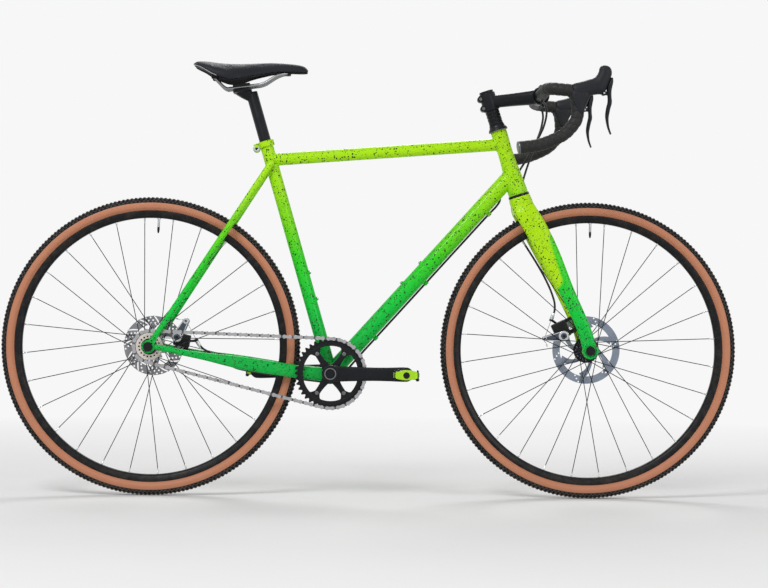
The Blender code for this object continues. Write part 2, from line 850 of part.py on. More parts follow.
def rim_profile():
    """A rim with two hooks, a bed and a shallow aero back."""
    edge, lip = RIM_WIDTH / 2, RIM_WIDTH / 2 - 0.0022
    bed = RIM_RADIUS - 0.0060
    back, flat = RIM_RADIUS - RIM_DEPTH, 0.0075
    return [
        (RIM_RADIUS, edge),
        (RIM_RADIUS, lip),
        (bed, lip),
        (bed, -lip),
        (RIM_RADIUS, -lip),
        (RIM_RADIUS, -edge),
        (back, -flat),
        (back, flat),
    ]


def hub_profile(width, flanges, axle_radius, rotor_side, carrier):
    """A hub shell with two flanges, a rotor seat on the left and a carrier on the right."""
    end, seat, lock = HUB_END_RADIUS, HUB_SEAT_RADIUS, HUB_LOCK_RADIUS
    t = FLANGE_THICKNESS / 2
    rotor_in = rotor_side - ROTOR_THICKNESS / 2 - GAP
    rotor_out = rotor_side + ROTOR_THICKNESS / 2 + GAP
    bore = axle_radius + RUNNING_GAP
    right, left = flanges
    return [
        (end, width / 2),
        (end, rotor_out),
        (seat, rotor_out),
        (seat, rotor_in),
        (lock, rotor_in),
        (lock, left + t),
        (FLANGE_RADIUS, left + t),
        (FLANGE_RADIUS, left - t),
        (HUB_BARREL_RADIUS, left - t - 0.0030),
        (HUB_BARREL_RADIUS, right + t + 0.0030),
        (FLANGE_RADIUS, right + t),
        (FLANGE_RADIUS, right - t),
        (carrier, right - t),
        (carrier, -width / 2 + 0.0110),
        (end, -width / 2 + 0.0110),
        (end, -width / 2),
        (bore, -width / 2),
        (bore, width / 2),
    ]


def wheel_point(centre, radius, angle, side):
    """A point of a wheel; the angle runs clockwise from the top, seen from the drive side."""
    return centre + Vector((radius * math.sin(angle), side, radius * math.cos(angle)))


def spokes(name, centre, flanges, valve_angle):
    """Crossed spokes, every second one on the other flange, as one set of rods."""
    bm = bmesh.new()
    per_side = SPOKE_COUNT // 2
    rim_end = INSIDE_RIM - SPOKE_RADIUS * 0.2
    cross = SPOKE_CROSSINGS * math.tau / per_side
    for i in range(SPOKE_COUNT):
        flange = flanges[i % 2]
        k = i // 2
        leading = k % 2 == 0
        at_rim = valve_angle + (i + 0.5) * math.tau / SPOKE_COUNT
        at_hub = at_rim - cross if leading else at_rim + cross
        lean = 0.0014 if leading else -0.0014
        start = wheel_point(centre, FLANGE_RADIUS - 0.0030, at_hub, flange + lean)
        end = wheel_point(centre, rim_end, at_rim, 0.09 * flange + lean)
        turn = (end - start).to_track_quat("Z", "Y").to_matrix().to_4x4()
        bmesh.ops.create_cone(
            bm,
            cap_ends=True,
            segments=4,
            radius1=SPOKE_RADIUS,
            radius2=SPOKE_RADIUS,
            depth=(end - start).length,
            matrix=Matrix.Translation((start + end) / 2) @ turn,
        )
    return as_cutter(from_bmesh(name, bm, centre))


def rotor_outlines(radius):
    """A disc with six windows between slanted arms and a wavy edge."""
    band, carrier = radius - ROTOR_BAND, ROTOR_CARRIER_RADIUS + 0.0035
    edge = [
        ((radius - (0.0012 if i % 2 else 0)) * math.cos(a), (radius - (0.0012 if i % 2 else 0)) * math.sin(a))
        for i, a in ((i, math.tau * i / 30) for i in range(30))
    ]
    hole = (HUB_SEAT_RADIUS + GAP) / math.cos(math.pi / HUB_STEPS)
    outlines = [edge, circle(hole, HUB_STEPS)]
    for k in range(6):
        base = math.tau * k / 6
        window = [(band, base + math.radians(a)) for a in (6, 22, 38, 54)]
        window += [(carrier, base + math.radians(a)) for a in (24, -6)]
        outlines.append([(r * math.cos(a), r * math.sin(a)) for r, a in window])
    return outlines


def wheel(prefix, centre, spin, width, flanges, axle_radius, rotor_radius, rotor_side, carrier, valve):
    """Tyre, rim, hub with spokes, rotor and valve on one spin axis."""
    collect(turned(f"{prefix}_tyre", tyre_profile(), centre, SIDE, TYRE_STEPS), RUBBER, spin)
    collect(turned(f"{prefix}_rim", rim_profile(), centre, SIDE, TYRE_STEPS), BLACK_ALLOY, spin)
    hub = turned(
        f"{prefix}_hub",
        hub_profile(width, flanges, axle_radius, rotor_side, carrier),
        centre,
        SIDE,
        HUB_STEPS,
    )
    boolean(hub, [spokes(f"{prefix}_spokes", centre, flanges, valve)], "UNION")
    collect(hub, BLACK_ALLOY, spin)
    rotor = plate(
        f"{prefix}_rotor", rotor_outlines(rotor_radius), ROTOR_THICKNESS, centre + SIDE * rotor_side
    )
    collect(rotor, STEEL, spin)
    valve_top = INSIDE_RIM
    valve_profile = [
        (0, valve_top),
        (VALVE_RADIUS, valve_top),
        (VALVE_RADIUS, valve_top - VALVE_LENGTH * 0.55),
        (VALVE_RADIUS * 0.8, valve_top - VALVE_LENGTH),
        (0, valve_top - VALVE_LENGTH),
    ]
    out = Vector((math.sin(valve), 0, math.cos(valve)))
    collect(turned(f"{prefix}_valve", valve_profile, centre, out, 8), STEEL, spin)


wheel(
    "front",
    FRONT_AXLE,
    front_spin,
    FRONT_HUB_WIDTH,
    FRONT_FLANGES,
    FRONT_AXLE_RADIUS,
    FRONT_ROTOR_RADIUS,
    FRONT_ROTOR_SIDE,
    0.0145,
    math.radians(0.5),
)
FREEHUB_RADIUS = 0.0170
wheel(
    "rear",
    REAR_AXLE,
    rear_spin,
    REAR_HUB_WIDTH,
    REAR_FLANGES,
    REAR_AXLE_RADIUS,
    REAR_ROTOR_RADIUS,
    REAR_ROTOR_SIDE,
    FREEHUB_RADIUS,
    math.radians(2.8),
)


# Fork: one row for each section down to the axle
FORK_ROWS = (
    # share of the way down, fore of the axis, half depth, half width, side
    (0.0500, -0.0010, 0.0245, 0.0095, 0.0285),
    (0.1000, 0.0015, 0.0268, 0.0125, 0.0352),
    (0.2025, 0.0108, 0.0268, 0.0112, 0.0390),
    (0.3755, 0.0221, 0.0252, 0.0104, 0.0430),
    (0.6170, 0.0352, 0.0178, 0.0094, 0.0485),
    (0.8510, 0.0460, 0.0160, 0.0074, 0.0550),
    (1.0000, FORK_RAKE, 0.0165, 0.0056, 0.0565),
)
CROWN_ROWS = ((0.0, CROWN_RADIUS, CROWN_RADIUS), (0.0100, 0.0262, 0.0285), (0.0220, 0.0266, 0.0400))


def blade(name, side, grow=0.0):
    """A fork blade, deep and flat at the crown and slimmer at the axle."""
    rings = [
        oval(
            from_crown(fore, side * out, -share * AXLE_TO_CROWN),
            STEER_FORE,
            SIDE,
            depth + grow,
            width + grow,
            10,
        )
        for share, fore, depth, width, out in FORK_ROWS
    ]
    return loft(name, rings, from_crown(0, side * FORK_ROWS[0][4], -FORK_ROWS[0][0] * AXLE_TO_CROWN))


crown_rings = [
    oval(from_crown(0, 0, -drop), STEER_FORE, SIDE, depth, width, 16)
    for drop, depth, width in (*CROWN_ROWS, (CROWN_HEIGHT, 0.0268, 0.0475))
]
fork = loft("fork", crown_rings, CROWN)
fork_tools = []
for side_name, side in (("right", -1), ("left", 1)):
    fork_tools.append(as_cutter(blade(f"blade_{side_name}", side)))
    inner = FRONT_AXLE + SIDE * side * FORK_END_INNER
    outer = inner + SIDE * side * FORK_END_THICKNESS
    fork_tools.append(as_cutter(rod(f"fork_end_{side_name}", inner, outer, FORK_END_RADIUS, sides=18)))
boolean(fork, fork_tools, "UNION")
axle_cut = as_cutter(
    rod(
        "front_axle_cut",
        FRONT_AXLE - SIDE * FRONT_HUB_WIDTH,
        FRONT_AXLE + SIDE * FRONT_HUB_WIDTH,
        (FRONT_AXLE_RADIUS + GAP) / math.cos(math.pi / 16),
        sides=16,
    )
)
boolean(fork, [axle_cut])
collect(fork, GREEN_PAINT, steering)

# Heights of the stack above the fork crown
COVER_TOP = LOWER_STACK + HEAD_TUBE_LENGTH + GAP + COVER_HEIGHT
STEM_LOW = COVER_TOP + GAP + SPACER_STACK
STEM_HIGH = STEM_LOW + STEM_CLAMP_HEIGHT
STEM_MIDDLE = (STEM_LOW + STEM_HIGH) / 2
STEERER_TOP = STEM_HIGH - 0.0010
STEERER_HOLE = (STEERER_RADIUS + GAP) / math.cos(math.pi / 20)

collect(
    turned("steerer", pin_profile(STEERER_RADIUS, GAP, STEERER_TOP), CROWN, STEER_UP, 20),
    BLACK_ALLOY,
    steering,
)
spacer_low, spacer_high = COVER_TOP + GAP, STEM_LOW - GAP
collect(
    turned(
        "stem_spacers",
        ring_profile(SPACER_RADIUS, STEERER_RADIUS + GAP, spacer_low, spacer_high),
        CROWN,
        STEER_UP,
        24,
    ),
    BLACK_ALLOY,
    steering,
)
collect(
    turned(
        "top_cap",
        [
            (0, STEM_HIGH + TOP_CAP_HEIGHT),
            (SPACER_RADIUS - 0.0030, STEM_HIGH + TOP_CAP_HEIGHT),
            (SPACER_RADIUS, STEM_HIGH + TOP_CAP_HEIGHT - 0.0020),
            (SPACER_RADIUS, STEM_HIGH + GAP),
            (0, STEM_HIGH + GAP),
        ],
        CROWN,
        STEER_UP,
        20,
    ),
    BLACK_ALLOY,
    steering,
)

# Stem
STEM_ROOT = from_crown(0, 0, STEM_MIDDLE)
BAR_AT = from_crown(STEM_REACH, 0, STEM_MIDDLE - STEM_DROP)
STEM_DIR = (BAR_AT - STEM_ROOT).normalized()
STEM_RISE = Vector((-STEM_DIR.z, 0, STEM_DIR.x))
STEM_TILT = -math.atan2(STEM_DIR.z, STEM_DIR.x)
STEER_TILT = HEAD_ANGLE - math.pi / 2
CLAMP_OUTER = BAR_CLAMP_RADIUS + FACEPLATE_WALL
SPLIT = 0.0012
LUG_DEPTH = 0.0170
LUG_WIDTH = 0.0380
LUG_OFFSET = CLAMP_OUTER + 0.0012
half_clamp = SIDE * BAR_CLAMP_WIDTH / 2


def clamp_lugs(name):
    """The block that carries the four clamp bolts."""
    size = (LUG_DEPTH, LUG_WIDTH, 2 * (LUG_OFFSET + 0.0042))
    return as_cutter(block(name, size, BAR_AT, STEM_TILT))


stem = rod("stem", from_crown(0, 0, STEM_LOW), from_crown(0, 0, STEM_HIGH), STEM_CLAMP_RADIUS, sides=20)
stem_tools = [
    as_cutter(rod("stem_extension", STEM_ROOT, BAR_AT, STEM_RADIUS, sides=14)),
    as_cutter(rod("stem_bar_clamp", BAR_AT - half_clamp, BAR_AT + half_clamp, CLAMP_OUTER, sides=20)),
    clamp_lugs("stem_lugs"),
    as_cutter(
        block(
            "stem_ears",
            (0.0120, 0.0210, STEM_CLAMP_HEIGHT - 0.0060),
            from_crown(-STEM_CLAMP_RADIUS - 0.0020, 0, STEM_MIDDLE),
            STEER_TILT,
        )
    ),
]
steerer_cut = as_cutter(
    rod("steerer_cut", from_crown(0, 0, STEM_LOW - 0.01), from_crown(0, 0, STEM_HIGH + 0.01), STEERER_HOLE, sides=20)
)
bar_cut = as_cutter(
    rod(
        "bar_cut",
        BAR_AT - 2 * half_clamp,
        BAR_AT + 2 * half_clamp,
        (BAR_CLAMP_RADIUS + GAP) / math.cos(math.pi / 20),
        sides=20,
    )
)
front_cut = as_cutter(
    block("stem_front_cut", (0.060, 0.080, 0.080), BAR_AT + STEM_DIR * (0.030 - SPLIT / 2), STEM_TILT)
)
rear_cut = as_cutter(
    block("faceplate_cut", (0.060, 0.080, 0.080), BAR_AT - STEM_DIR * (0.030 - SPLIT / 2), STEM_TILT)
)
stem_slot = as_cutter(
    block(
        "stem_slot",
        (0.0240, 0.0018, 2 * STEM_CLAMP_HEIGHT),
        from_crown(-STEM_CLAMP_RADIUS - 0.0040, 0, STEM_MIDDLE),
        STEER_TILT,
    )
)
stem_bolts = [
    as_cutter(
        rod(
            f"stem_bolt_{i}",
            from_crown(-STEM_CLAMP_RADIUS - 0.0035, -0.0125, STEM_MIDDLE + rise),
            from_crown(-STEM_CLAMP_RADIUS - 0.0035, 0.0125, STEM_MIDDLE + rise),
            0.0027,
            sides=8,
        )
    )
    for i, rise in enumerate((-0.0110, 0.0110))
]
boolean(stem, stem_tools, "UNION")
boolean(stem, [steerer_cut, bar_cut, front_cut, stem_slot])
boolean(stem, stem_bolts, "UNION")
collect(stem, BLACK_ALLOY, steering)

faceplate = rod("stem_faceplate", BAR_AT - half_clamp, BAR_AT + half_clamp, CLAMP_OUTER, sides=20)
boolean(faceplate, [clamp_lugs("faceplate_lugs")], "UNION")
boolean(faceplate, [rear_cut, bar_cut])
bolt_heads = []
for rise in (-1, 1):
    for side in (-1, 1):
        at = BAR_AT + STEM_RISE * rise * LUG_OFFSET + SIDE * side * 0.0125
        face = LUG_DEPTH / 2
        bolt_heads.append(
            as_cutter(
                rod(
                    f"clamp_bolt_{rise}_{side}",
                    at + STEM_DIR * (face - 0.002),
                    at + STEM_DIR * (face + 0.002),
                    0.0032,
                    sides=8,
                )
            )
        )
boolean(faceplate, bolt_heads, "UNION")
collect(faceplate, BLACK_ALLOY, steering)

# Drop bar: places of its left half about the stem clamp
BAR_BEND = (
    (0.0, TAPE_START, 0.0),
    (0.0, 0.1500, 0.0),
    (0.0020, 0.1800, 0.0),
    (0.0120, 0.2000, -0.0010),
    (0.0300, BAR_HALF_WIDTH, -0.0030),
    (0.0507, BAR_HALF_WIDTH + 0.0005, -0.0054),
    (0.0615, BAR_HALF_WIDTH + 0.0010, -0.0160),
    (0.0667, BAR_HALF_WIDTH + 0.0015, -0.0347),
    (0.0669, BAR_HALF_WIDTH + 0.0020, -0.0664),
    (0.0512, BAR_HALF_WIDTH + 0.0040, -0.0916),
    (0.0286, BAR_HALF_WIDTH + 0.0060, -0.1101),
    (-0.0166, BAR_HALF_WIDTH + 0.0090, -0.1289),
    (-0.0642, BAR_HALF_WIDTH + 0.0140, -0.1367),
)
TAPE_RADIUS = BAR_RADIUS + TAPE_THICKNESS
TAPE_BORE = (BAR_RADIUS + GAP) / math.cos(math.pi / 8)


def bar_bend(side):
    """The taped part of the bar on one side, from the middle outwards."""
    path = [BAR_BEND[0], *smooth_path(BAR_BEND[1:], 2)]
    return [BAR_AT + Vector((x, side * y, z)) for x, y, z in path]


def bar_half(side):
    """Places and radii of half the bar, with its end plug."""
    bend = bar_bend(side)
    out = (bend[-1] - bend[-2]).normalized()
    plug = TAPE_RADIUS / BAR_RADIUS
    clamp = BAR_CLAMP_RADIUS / BAR_RADIUS
    near = [(BAR_AT + SIDE * side * 0.0255, clamp), (BAR_AT + SIDE * side * 0.0450, 1.0)]
    far = [(bend[-1] + out * GAP, 1.0), (bend[-1] + out * (GAP + 2e-5), plug)]
    far.append((bend[-1] + out * (GAP + PLUG_LENGTH), plug))
    return [*near, *[(p, 1.0) for p in bend], *far]


bar_rows = [*reversed(bar_half(-1)), *bar_half(1)]
handlebar = swept("handlebar", [p for p, _ in bar_rows], BAR_RADIUS, [r for _, r in bar_rows])
collect(meshed(handlebar), BLACK_ALLOY, steering)

# Hoods and brake levers. Rows: forward, up, slope, half height, half width
HOOD_ROWS = (
    (0.0620, -0.0068, 12, 0.0205, 0.0172),
    (0.0700, -0.0055, 12, 0.0222, 0.0180),
    (0.0800, -0.0030, 15, 0.0232, 0.0180),
    (0.1000, 0.0024, 15, 0.0244, 0.0168),
    (0.1190, 0.0085, 25, 0.0260, 0.0165),
    (0.1275, 0.0215, 55, 0.0150, 0.0150),
    (0.1315, 0.0365, 80, 0.0105, 0.0120),
    (0.1320, 0.0480, 88, 0.0080, 0.0100),
    (0.1318, 0.0525, 90, 0.0035, 0.0045),
)
LEVER_PIVOT = (0.1265, -0.0110)
LEVER_SLOT_HALF = LEVER_BARREL_WIDTH / 2 + 0.0008
LEVER_ROWS = (
    # forward, up, half thickness, half width
    (0.1465, 0.0260, 0.0026, 0.0055),
    (0.1475, 0.0100, 0.0035, 0.0080),
    (0.1455, -0.0090, 0.0036, 0.0080),
    (0.1415, -0.0335, 0.0034, 0.0076),
    (0.1345, -0.0530, 0.0032, 0.0072),
    (0.1320, -0.0700, 0.0030, 0.0066),
    (0.1355, -0.0880, 0.0029, 0.0060),
    (0.1440, -0.1030, 0.0026, 0.0048),
)


def beside_bar(side, forward, up, across=0.0):
    """A place in the plane of one brake lever."""
    return BAR_AT + Vector((forward, side * (BAR_HALF_WIDTH + 0.0005) + across, up))


def lever_blade(name, side):
    """The lever's blade: a flat bar that curves forward at its foot."""
    centres = [beside_bar(side, row[0], row[1]) for row in LEVER_ROWS]
    rings = []
    for i, row in enumerate(LEVER_ROWS):
        along = (centres[min(i + 1, len(centres) - 1)] - centres[max(i - 1, 0)]).normalized()
        across = Vector((-along.z, 0, along.x))
        rings.append(oval(centres[i], across, SIDE, row[2], row[3], 8, 2.6))
    return loft(name, rings, centres[0])


for side_name, side in (("right", -1), ("left", 1)):
    tape = meshed(
        swept(f"bar_tape_{side_name}", bar_bend(side), (TAPE_RADIUS + TAPE_BORE) / 2, caps=False)
    )
    wall = tape.modifiers.new("wall", "SOLIDIFY")
    wall.thickness = TAPE_RADIUS - TAPE_BORE
    wall.offset = 0
    wall.use_even_offset = True
    collect(tape, TAPE, steering)

    axis = beside_bar(side, *LEVER_PIVOT)
    rings = []
    for forward, up, slope, half_height, half_width in HOOD_ROWS:
        slope = math.radians(slope)
        rise = Vector((-math.sin(slope), 0, math.cos(slope)))
        rings.append(oval(beside_bar(side, forward, up), SIDE, rise, half_width, half_height, 12, 2.3))
    hood = loft(f"hood_{side_name}", rings, beside_bar(side, *HOOD_ROWS[0][:2]))
    tape_cut = as_cutter(
        meshed(swept(f"tape_cut_{side_name}", bar_bend(side), TAPE_RADIUS + 2 * GAP, resolution=4))
    )
    slot = as_cutter(
        block(
            f"lever_slot_{side_name}",
            (0.0355, 2 * LEVER_SLOT_HALF, 0.0365),
            beside_bar(side, 0.13725, -0.02175),
        )
    )
    pin = as_cutter(
        rod(f"lever_pin_{side_name}", axis - SIDE * 0.0105, axis + SIDE * 0.0105, LEVER_PIVOT_RADIUS, sides=10)
    )
    boolean(hood, [tape_cut, slot])
    boolean(hood, [pin], "UNION")
    collect(hood, HOOD_RUBBER, steering)

    lever = lever_blade(f"lever_{side_name}", side)
    neck = as_cutter(
        block(f"lever_neck_{side_name}", (0.0190, 0.0100, 0.0080), axis + Vector((0.0100, 0, 0.0006)))
    )
    half = SIDE * LEVER_BARREL_WIDTH / 2
    barrel = as_cutter(
        rod(f"lever_barrel_{side_name}", axis - half, axis + half, LEVER_BARREL_RADIUS, sides=12)
    )
    lever_hole = as_cutter(
        rod(
            f"lever_hole_{side_name}",
            axis - 2 * half,
            axis + 2 * half,
            (LEVER_PIVOT_RADIUS + RUNNING_GAP) / math.cos(math.pi / 10),
            sides=10,
        )
    )
    boolean(lever, [neck, barrel], "UNION")
    boolean(lever, [lever_hole])
    lever_axis = pivot(f"lever_{side_name}_axis", axis, SIDE, steering)
    collect(lever, BLACK_ALLOY, lever_axis)


# Seatpost
POST_TOP = SEAT_TUBE_TOP + SEATPOST_EXPOSED * SEAT_UP
RAIL_CENTRE = POST_TOP + Vector((-0.0280, 0, 0.0309))
RAIL_TILT = -math.radians(7.9)
RAIL_RISE = Vector((-math.sin(-RAIL_TILT), 0, math.cos(RAIL_TILT)))
CRADLE_HEIGHT = 0.0120
CLAMP_GAP = 0.0006
CRADLE_WIDTH = 2 * (RAIL_SPREAD + RAIL_RADIUS + 0.0015)
RAIL_ROWS = (
    # forward, side, up of the rail centre
    (-0.0635, RAIL_SPREAD + 0.0030, 0.0215),
    (-0.0535, RAIL_SPREAD + 0.0020, 0.0115),
    (-0.0430, RAIL_SPREAD + 0.0006, 0.0008),
    (-0.0350, RAIL_SPREAD, -0.0040),
    (-0.0294, RAIL_SPREAD, -0.0041),
    (0.0356, RAIL_SPREAD, 0.0049),
    (0.0460, RAIL_SPREAD, 0.0072),
    (0.0565, RAIL_SPREAD - 0.0005, 0.0115),
    (0.0765, RAIL_SPREAD - 0.0030, 0.0245),
    (0.0908, RAIL_SPREAD - 0.0060, 0.0310),
    (0.1035, RAIL_SPREAD - 0.0115, 0.0338),
    (0.1070, RAIL_SPREAD - 0.0170, 0.0340),
)


def rail_path():
    """One wire that runs forward on the right, round the nose and back on the left."""
    right = [RAIL_CENTRE + Vector((x, -y, z)) for x, y, z in RAIL_ROWS]
    left = [RAIL_CENTRE + Vector((x, y, z)) for x, y, z in reversed(RAIL_ROWS)]
    return [*right, *left]


rails_cut = as_cutter(meshed(swept("rails_cut", rail_path(), RAIL_RADIUS + 1.2 * GAP)))
collect(meshed(swept("saddle_rails", rail_path(), RAIL_RADIUS)), STEEL, seat_slide)

post_bore = SEATPOST_RADIUS - SEATPOST_WALL
seatpost = turned(
    "seatpost",
    [
        (0, SEATPOST_EXPOSED),
        (SEATPOST_RADIUS - 0.0020, SEATPOST_EXPOSED),
        (SEATPOST_RADIUS, SEATPOST_EXPOSED - 0.0030),
        (SEATPOST_RADIUS, -SEATPOST_INSERTION),
        (post_bore, -SEATPOST_INSERTION),
        (post_bore, SEATPOST_EXPOSED - 0.0200),
        (0, SEATPOST_EXPOSED - 0.0200),
    ],
    SEAT_TUBE_TOP,
    SEAT_UP,
    20,
)
cradle_at = RAIL_CENTRE - RAIL_RISE * (CRADLE_HEIGHT + CLAMP_GAP) / 2
cradle = as_cutter(
    block("cradle", (0.0440, CRADLE_WIDTH, CRADLE_HEIGHT), cradle_at, RAIL_TILT)
)
neck = as_cutter(
    rod("post_neck", POST_TOP - SEAT_UP * 0.0090, RAIL_CENTRE - RAIL_RISE * 0.0070, 0.0125, 0.0110, 14)
)
bolt_hole = as_cutter(
    rod("bolt_hole", RAIL_CENTRE - RAIL_RISE * 0.0100, RAIL_CENTRE + RAIL_RISE * 0.0200, 0.0037, sides=8)
)
boolean(seatpost, [neck, cradle], "UNION")
boolean(seatpost, [rails_cut, bolt_hole])
collect(seatpost, BLACK_ALLOY, seat_slide)

TOP_CLAMP_HEIGHT = 0.0070
top_clamp = block(
    "saddle_clamp",
    (0.0400, CRADLE_WIDTH - 0.0020, TOP_CLAMP_HEIGHT),
    RAIL_CENTRE + RAIL_RISE * (TOP_CLAMP_HEIGHT + CLAMP_GAP) / 2,
    RAIL_TILT,
)
clamp_bolt = as_cutter(
    rod(
        "clamp_bolt",
        RAIL_CENTRE - RAIL_RISE * 0.0080,
        RAIL_CENTRE + RAIL_RISE * (TOP_CLAMP_HEIGHT + 0.0030),
        0.0030,
        sides=8,
    )
)
boolean(top_clamp, [clamp_bolt], "UNION")
boolean(top_clamp, [rails_cut])
collect(top_clamp, BLACK_ALLOY, seat_slide)

# Saddle. Rows: share of the length from the tail, then top, edge and half width about the rail centre
SADDLE_ROWS = (
    (0.000, 0.0520, 0.0475, 0.0300),
    (0.040, 0.0548, 0.0430, 0.0520),
    (0.090, 0.0558, 0.0378, 0.0605),
    (0.145, 0.0547, 0.0292, 0.0668),
    (0.200, 0.0525, 0.0220, 0.0700),
    (0.300, 0.0495, 0.0130, SADDLE_WIDTH / 2),
    (0.400, 0.0505, 0.0140, 0.0650),
    (0.500, 0.0535, 0.0215, 0.0480),
    (0.600, 0.0555, 0.0275, 0.0350),
    (0.720, 0.0575, 0.0335, 0.0265),
    (0.830, 0.0575, 0.0350, 0.0225),
    (0.920, 0.0550, 0.0345, 0.0200),
    (0.970, 0.0510, 0.0345, 0.0165),
    (1.000, 0.0440, 0.0350, 0.0090),
)
SADDLE_TAIL_X = -0.1130
PAD_RIM = 0.0050


def arch(row, inset, sink, count):
    """Half an oval across the saddle, drawn in at the sides and lowered at the crown."""
    share, top, edge, half_width = row
    height = max(0.3 * (top - edge), top - edge - PAD_THICKNESS) - sink if inset else top - edge
    points = []
    for i in range(count):
        angle = math.pi * (i / (count - 1) - 0.5)
        points.append(
            RAIL_CENTRE
            + Vector(
                (
                    SADDLE_TAIL_X + share * SADDLE_LENGTH,
                    (half_width - inset) * math.sin(angle),
                    edge + height * max(0.0, math.cos(angle)) ** 0.75,
                )
            )
        )
    return points


pad_rings = [arch(row, 0, 0, 11) + arch(row, PAD_RIM, 0, 9)[::-1] for row in SADDLE_ROWS]
collect(loft("saddle_pad", pad_rings, RAIL_CENTRE), SADDLE_COVER, seat_slide)

shell_rows = SADDLE_ROWS[3:-2]
shell_gap = 3 * GAP
shell_inset = PAD_RIM + shell_gap
shell_rings = [
    arch(row, shell_inset, shell_gap, 9)
    + arch(row, shell_inset + SADDLE_SHELL_THICKNESS, shell_gap + SADDLE_SHELL_THICKNESS, 7)[::-1]
    for row in shell_rows
]
saddle_shell = loft("saddle_shell", shell_rings, RAIL_CENTRE)
rail_nose, rail_tail = RAIL_ROWS[-1], RAIL_ROWS[0]
nose_at = RAIL_CENTRE + Vector((rail_nose[0] - 0.0010, 0, rail_nose[2]))
sockets = [as_cutter(block("nose_socket", (0.0160, 0.0240, 0.0100), nose_at))]
for side_name, side in (("right", -1), ("left", 1)):
    at = RAIL_CENTRE + Vector((rail_tail[0], side * rail_tail[1], rail_tail[2] + 0.0045))
    sockets.append(as_cutter(block(f"tail_socket_{side_name}", (0.0140, 0.0140, 0.0170), at)))
boolean(saddle_shell, sockets, "UNION")
boolean(saddle_shell, [rails_cut])
collect(saddle_shell, BLACK_PLASTIC, seat_slide)


# Disc calipers and their arms
def arm_outline(reach):
    """A ring round the pivot that narrows to an eye."""
    length = reach.length
    turn = math.atan2(reach.z, reach.x)
    lean = math.acos((ARM_RING_RADIUS - EYE_RADIUS) / length)
    outline = []
    for i in range(9):
        a = turn + lean + (math.tau - 2 * lean) * i / 8
        outline.append((ARM_RING_RADIUS * math.cos(a), ARM_RING_RADIUS * math.sin(a)))
    for i in range(5):
        a = turn - lean + 2 * lean * i / 4
        outline.append((reach.x + EYE_RADIUS * math.cos(a), reach.z + EYE_RADIUS * math.sin(a)))
    return outline


def brake(
    prefix,
    wheel_centre,
    rotor_radius,
    rotor_side,
    body_at,
    body_tilt,
    body_size,
    lugs,
    lug_cut,
    hinge,
    eye,
    stop,
    joined,
    parent,
):
    """A caliper over the disc with a forked arm on its pins; returns where the wire runs."""
    low_side = rotor_side - CALIPER_WIDTH / 2
    high_side = rotor_side + CALIPER_WIDTH / 2
    middle = SIDE * rotor_side
    wire = (eye - stop).normalized()
    caliper = block(
        f"{prefix}_caliper", (body_size[0], CALIPER_WIDTH, body_size[1]), body_at + middle, body_tilt, 0.0030
    )
    stop_at = stop + middle
    barrel = as_cutter(
        rod(f"{prefix}_stop", stop_at + wire * 0.0035, stop_at - wire * 0.0035, 0.0045, sides=10)
    )
    bracket = as_cutter(rod(f"{prefix}_bracket", joined + middle, stop + middle, 0.0030, sides=8))
    pin = as_cutter(
        rod(
            f"{prefix}_pins",
            hinge + SIDE * (low_side - 0.0040),
            hinge + SIDE * (high_side + 0.0040),
            ARM_PIN_RADIUS,
            sides=12,
        )
    )
    disc_slot = as_cutter(
        rod(
            f"{prefix}_disc_slot",
            wheel_centre + middle - SIDE * CALIPER_SLOT / 2,
            wheel_centre + middle + SIDE * CALIPER_SLOT / 2,
            rotor_radius + 0.0015,
            sides=40,
        )
    )
    wire_hole = as_cutter(
        rod(
            f"{prefix}_wire_hole",
            stop_at - wire * 0.0090,
            stop_at + wire * 0.0090,
            WIRE_RADIUS + 2 * GAP,
            sides=8,
        )
    )
    boolean(caliper, [*lugs, bracket, barrel, pin], "UNION")
    boolean(caliper, [disc_slot, wire_hole, lug_cut])
    collect(caliper, BLACK_ALLOY, parent)

    arm_parts = []
    for i, out in enumerate((low_side - GAP - ARM_THICKNESS / 2, high_side + GAP + ARM_THICKNESS / 2)):
        hole = circle((ARM_PIN_RADIUS + RUNNING_GAP) / math.cos(math.pi / 12), 12)
        name = f"{prefix}_brake_arm" if i == 0 else f"{prefix}_arm_plate"
        arm_parts.append(
            meshed(plate(name, [arm_outline(eye - hinge), hole], ARM_THICKNESS, hinge + SIDE * out))
        )
    arm = arm_parts[0]
    cross = rod(
        f"{prefix}_cross_rod",
        eye + SIDE * (low_side - GAP - ARM_THICKNESS / 2),
        eye + SIDE * (high_side + GAP + ARM_THICKNESS / 2),
        0.0034,
        sides=10,
    )
    boolean(arm, [as_cutter(arm_parts[1]), as_cutter(cross)], "UNION")
    arm_axis = pivot(f"{prefix}_arm_axis", hinge + middle, SIDE, parent)
    collect(arm, STEEL, arm_axis)


# The caliper hangs behind the left blade. Places about the front axle
FRONT_CALIPER = FRONT_AXLE + Vector((-0.0598, 0, 0.0468))
FRONT_CALIPER_TILT = -math.radians(25.8)
front_along = Vector((math.sin(FRONT_CALIPER_TILT), 0, math.cos(FRONT_CALIPER_TILT)))
front_toward = Vector((front_along.z, 0, -front_along.x))
FRONT_HINGE = FRONT_AXLE + Vector((-0.0540, 0, 0.0325))
FRONT_EYE = FRONT_AXLE + Vector((-0.0992, 0, 0.0261))
FRONT_STOP = FRONT_AXLE + Vector((-0.0835, 0, 0.0707))
front_lugs = [
    as_cutter(
        block(
            f"front_lug_{i}",
            (0.0240, 0.0100, 0.0100),
            FRONT_CALIPER + front_along * along + front_toward * 0.0230 + SIDE * (FRONT_ROTOR_SIDE + 0.0080),
            FRONT_CALIPER_TILT,
        )
    )
    for i, along in enumerate((-0.0140, 0.0140))
]
blade_cut = as_cutter(blade("blade_cut", 1, GAP * 1.5))
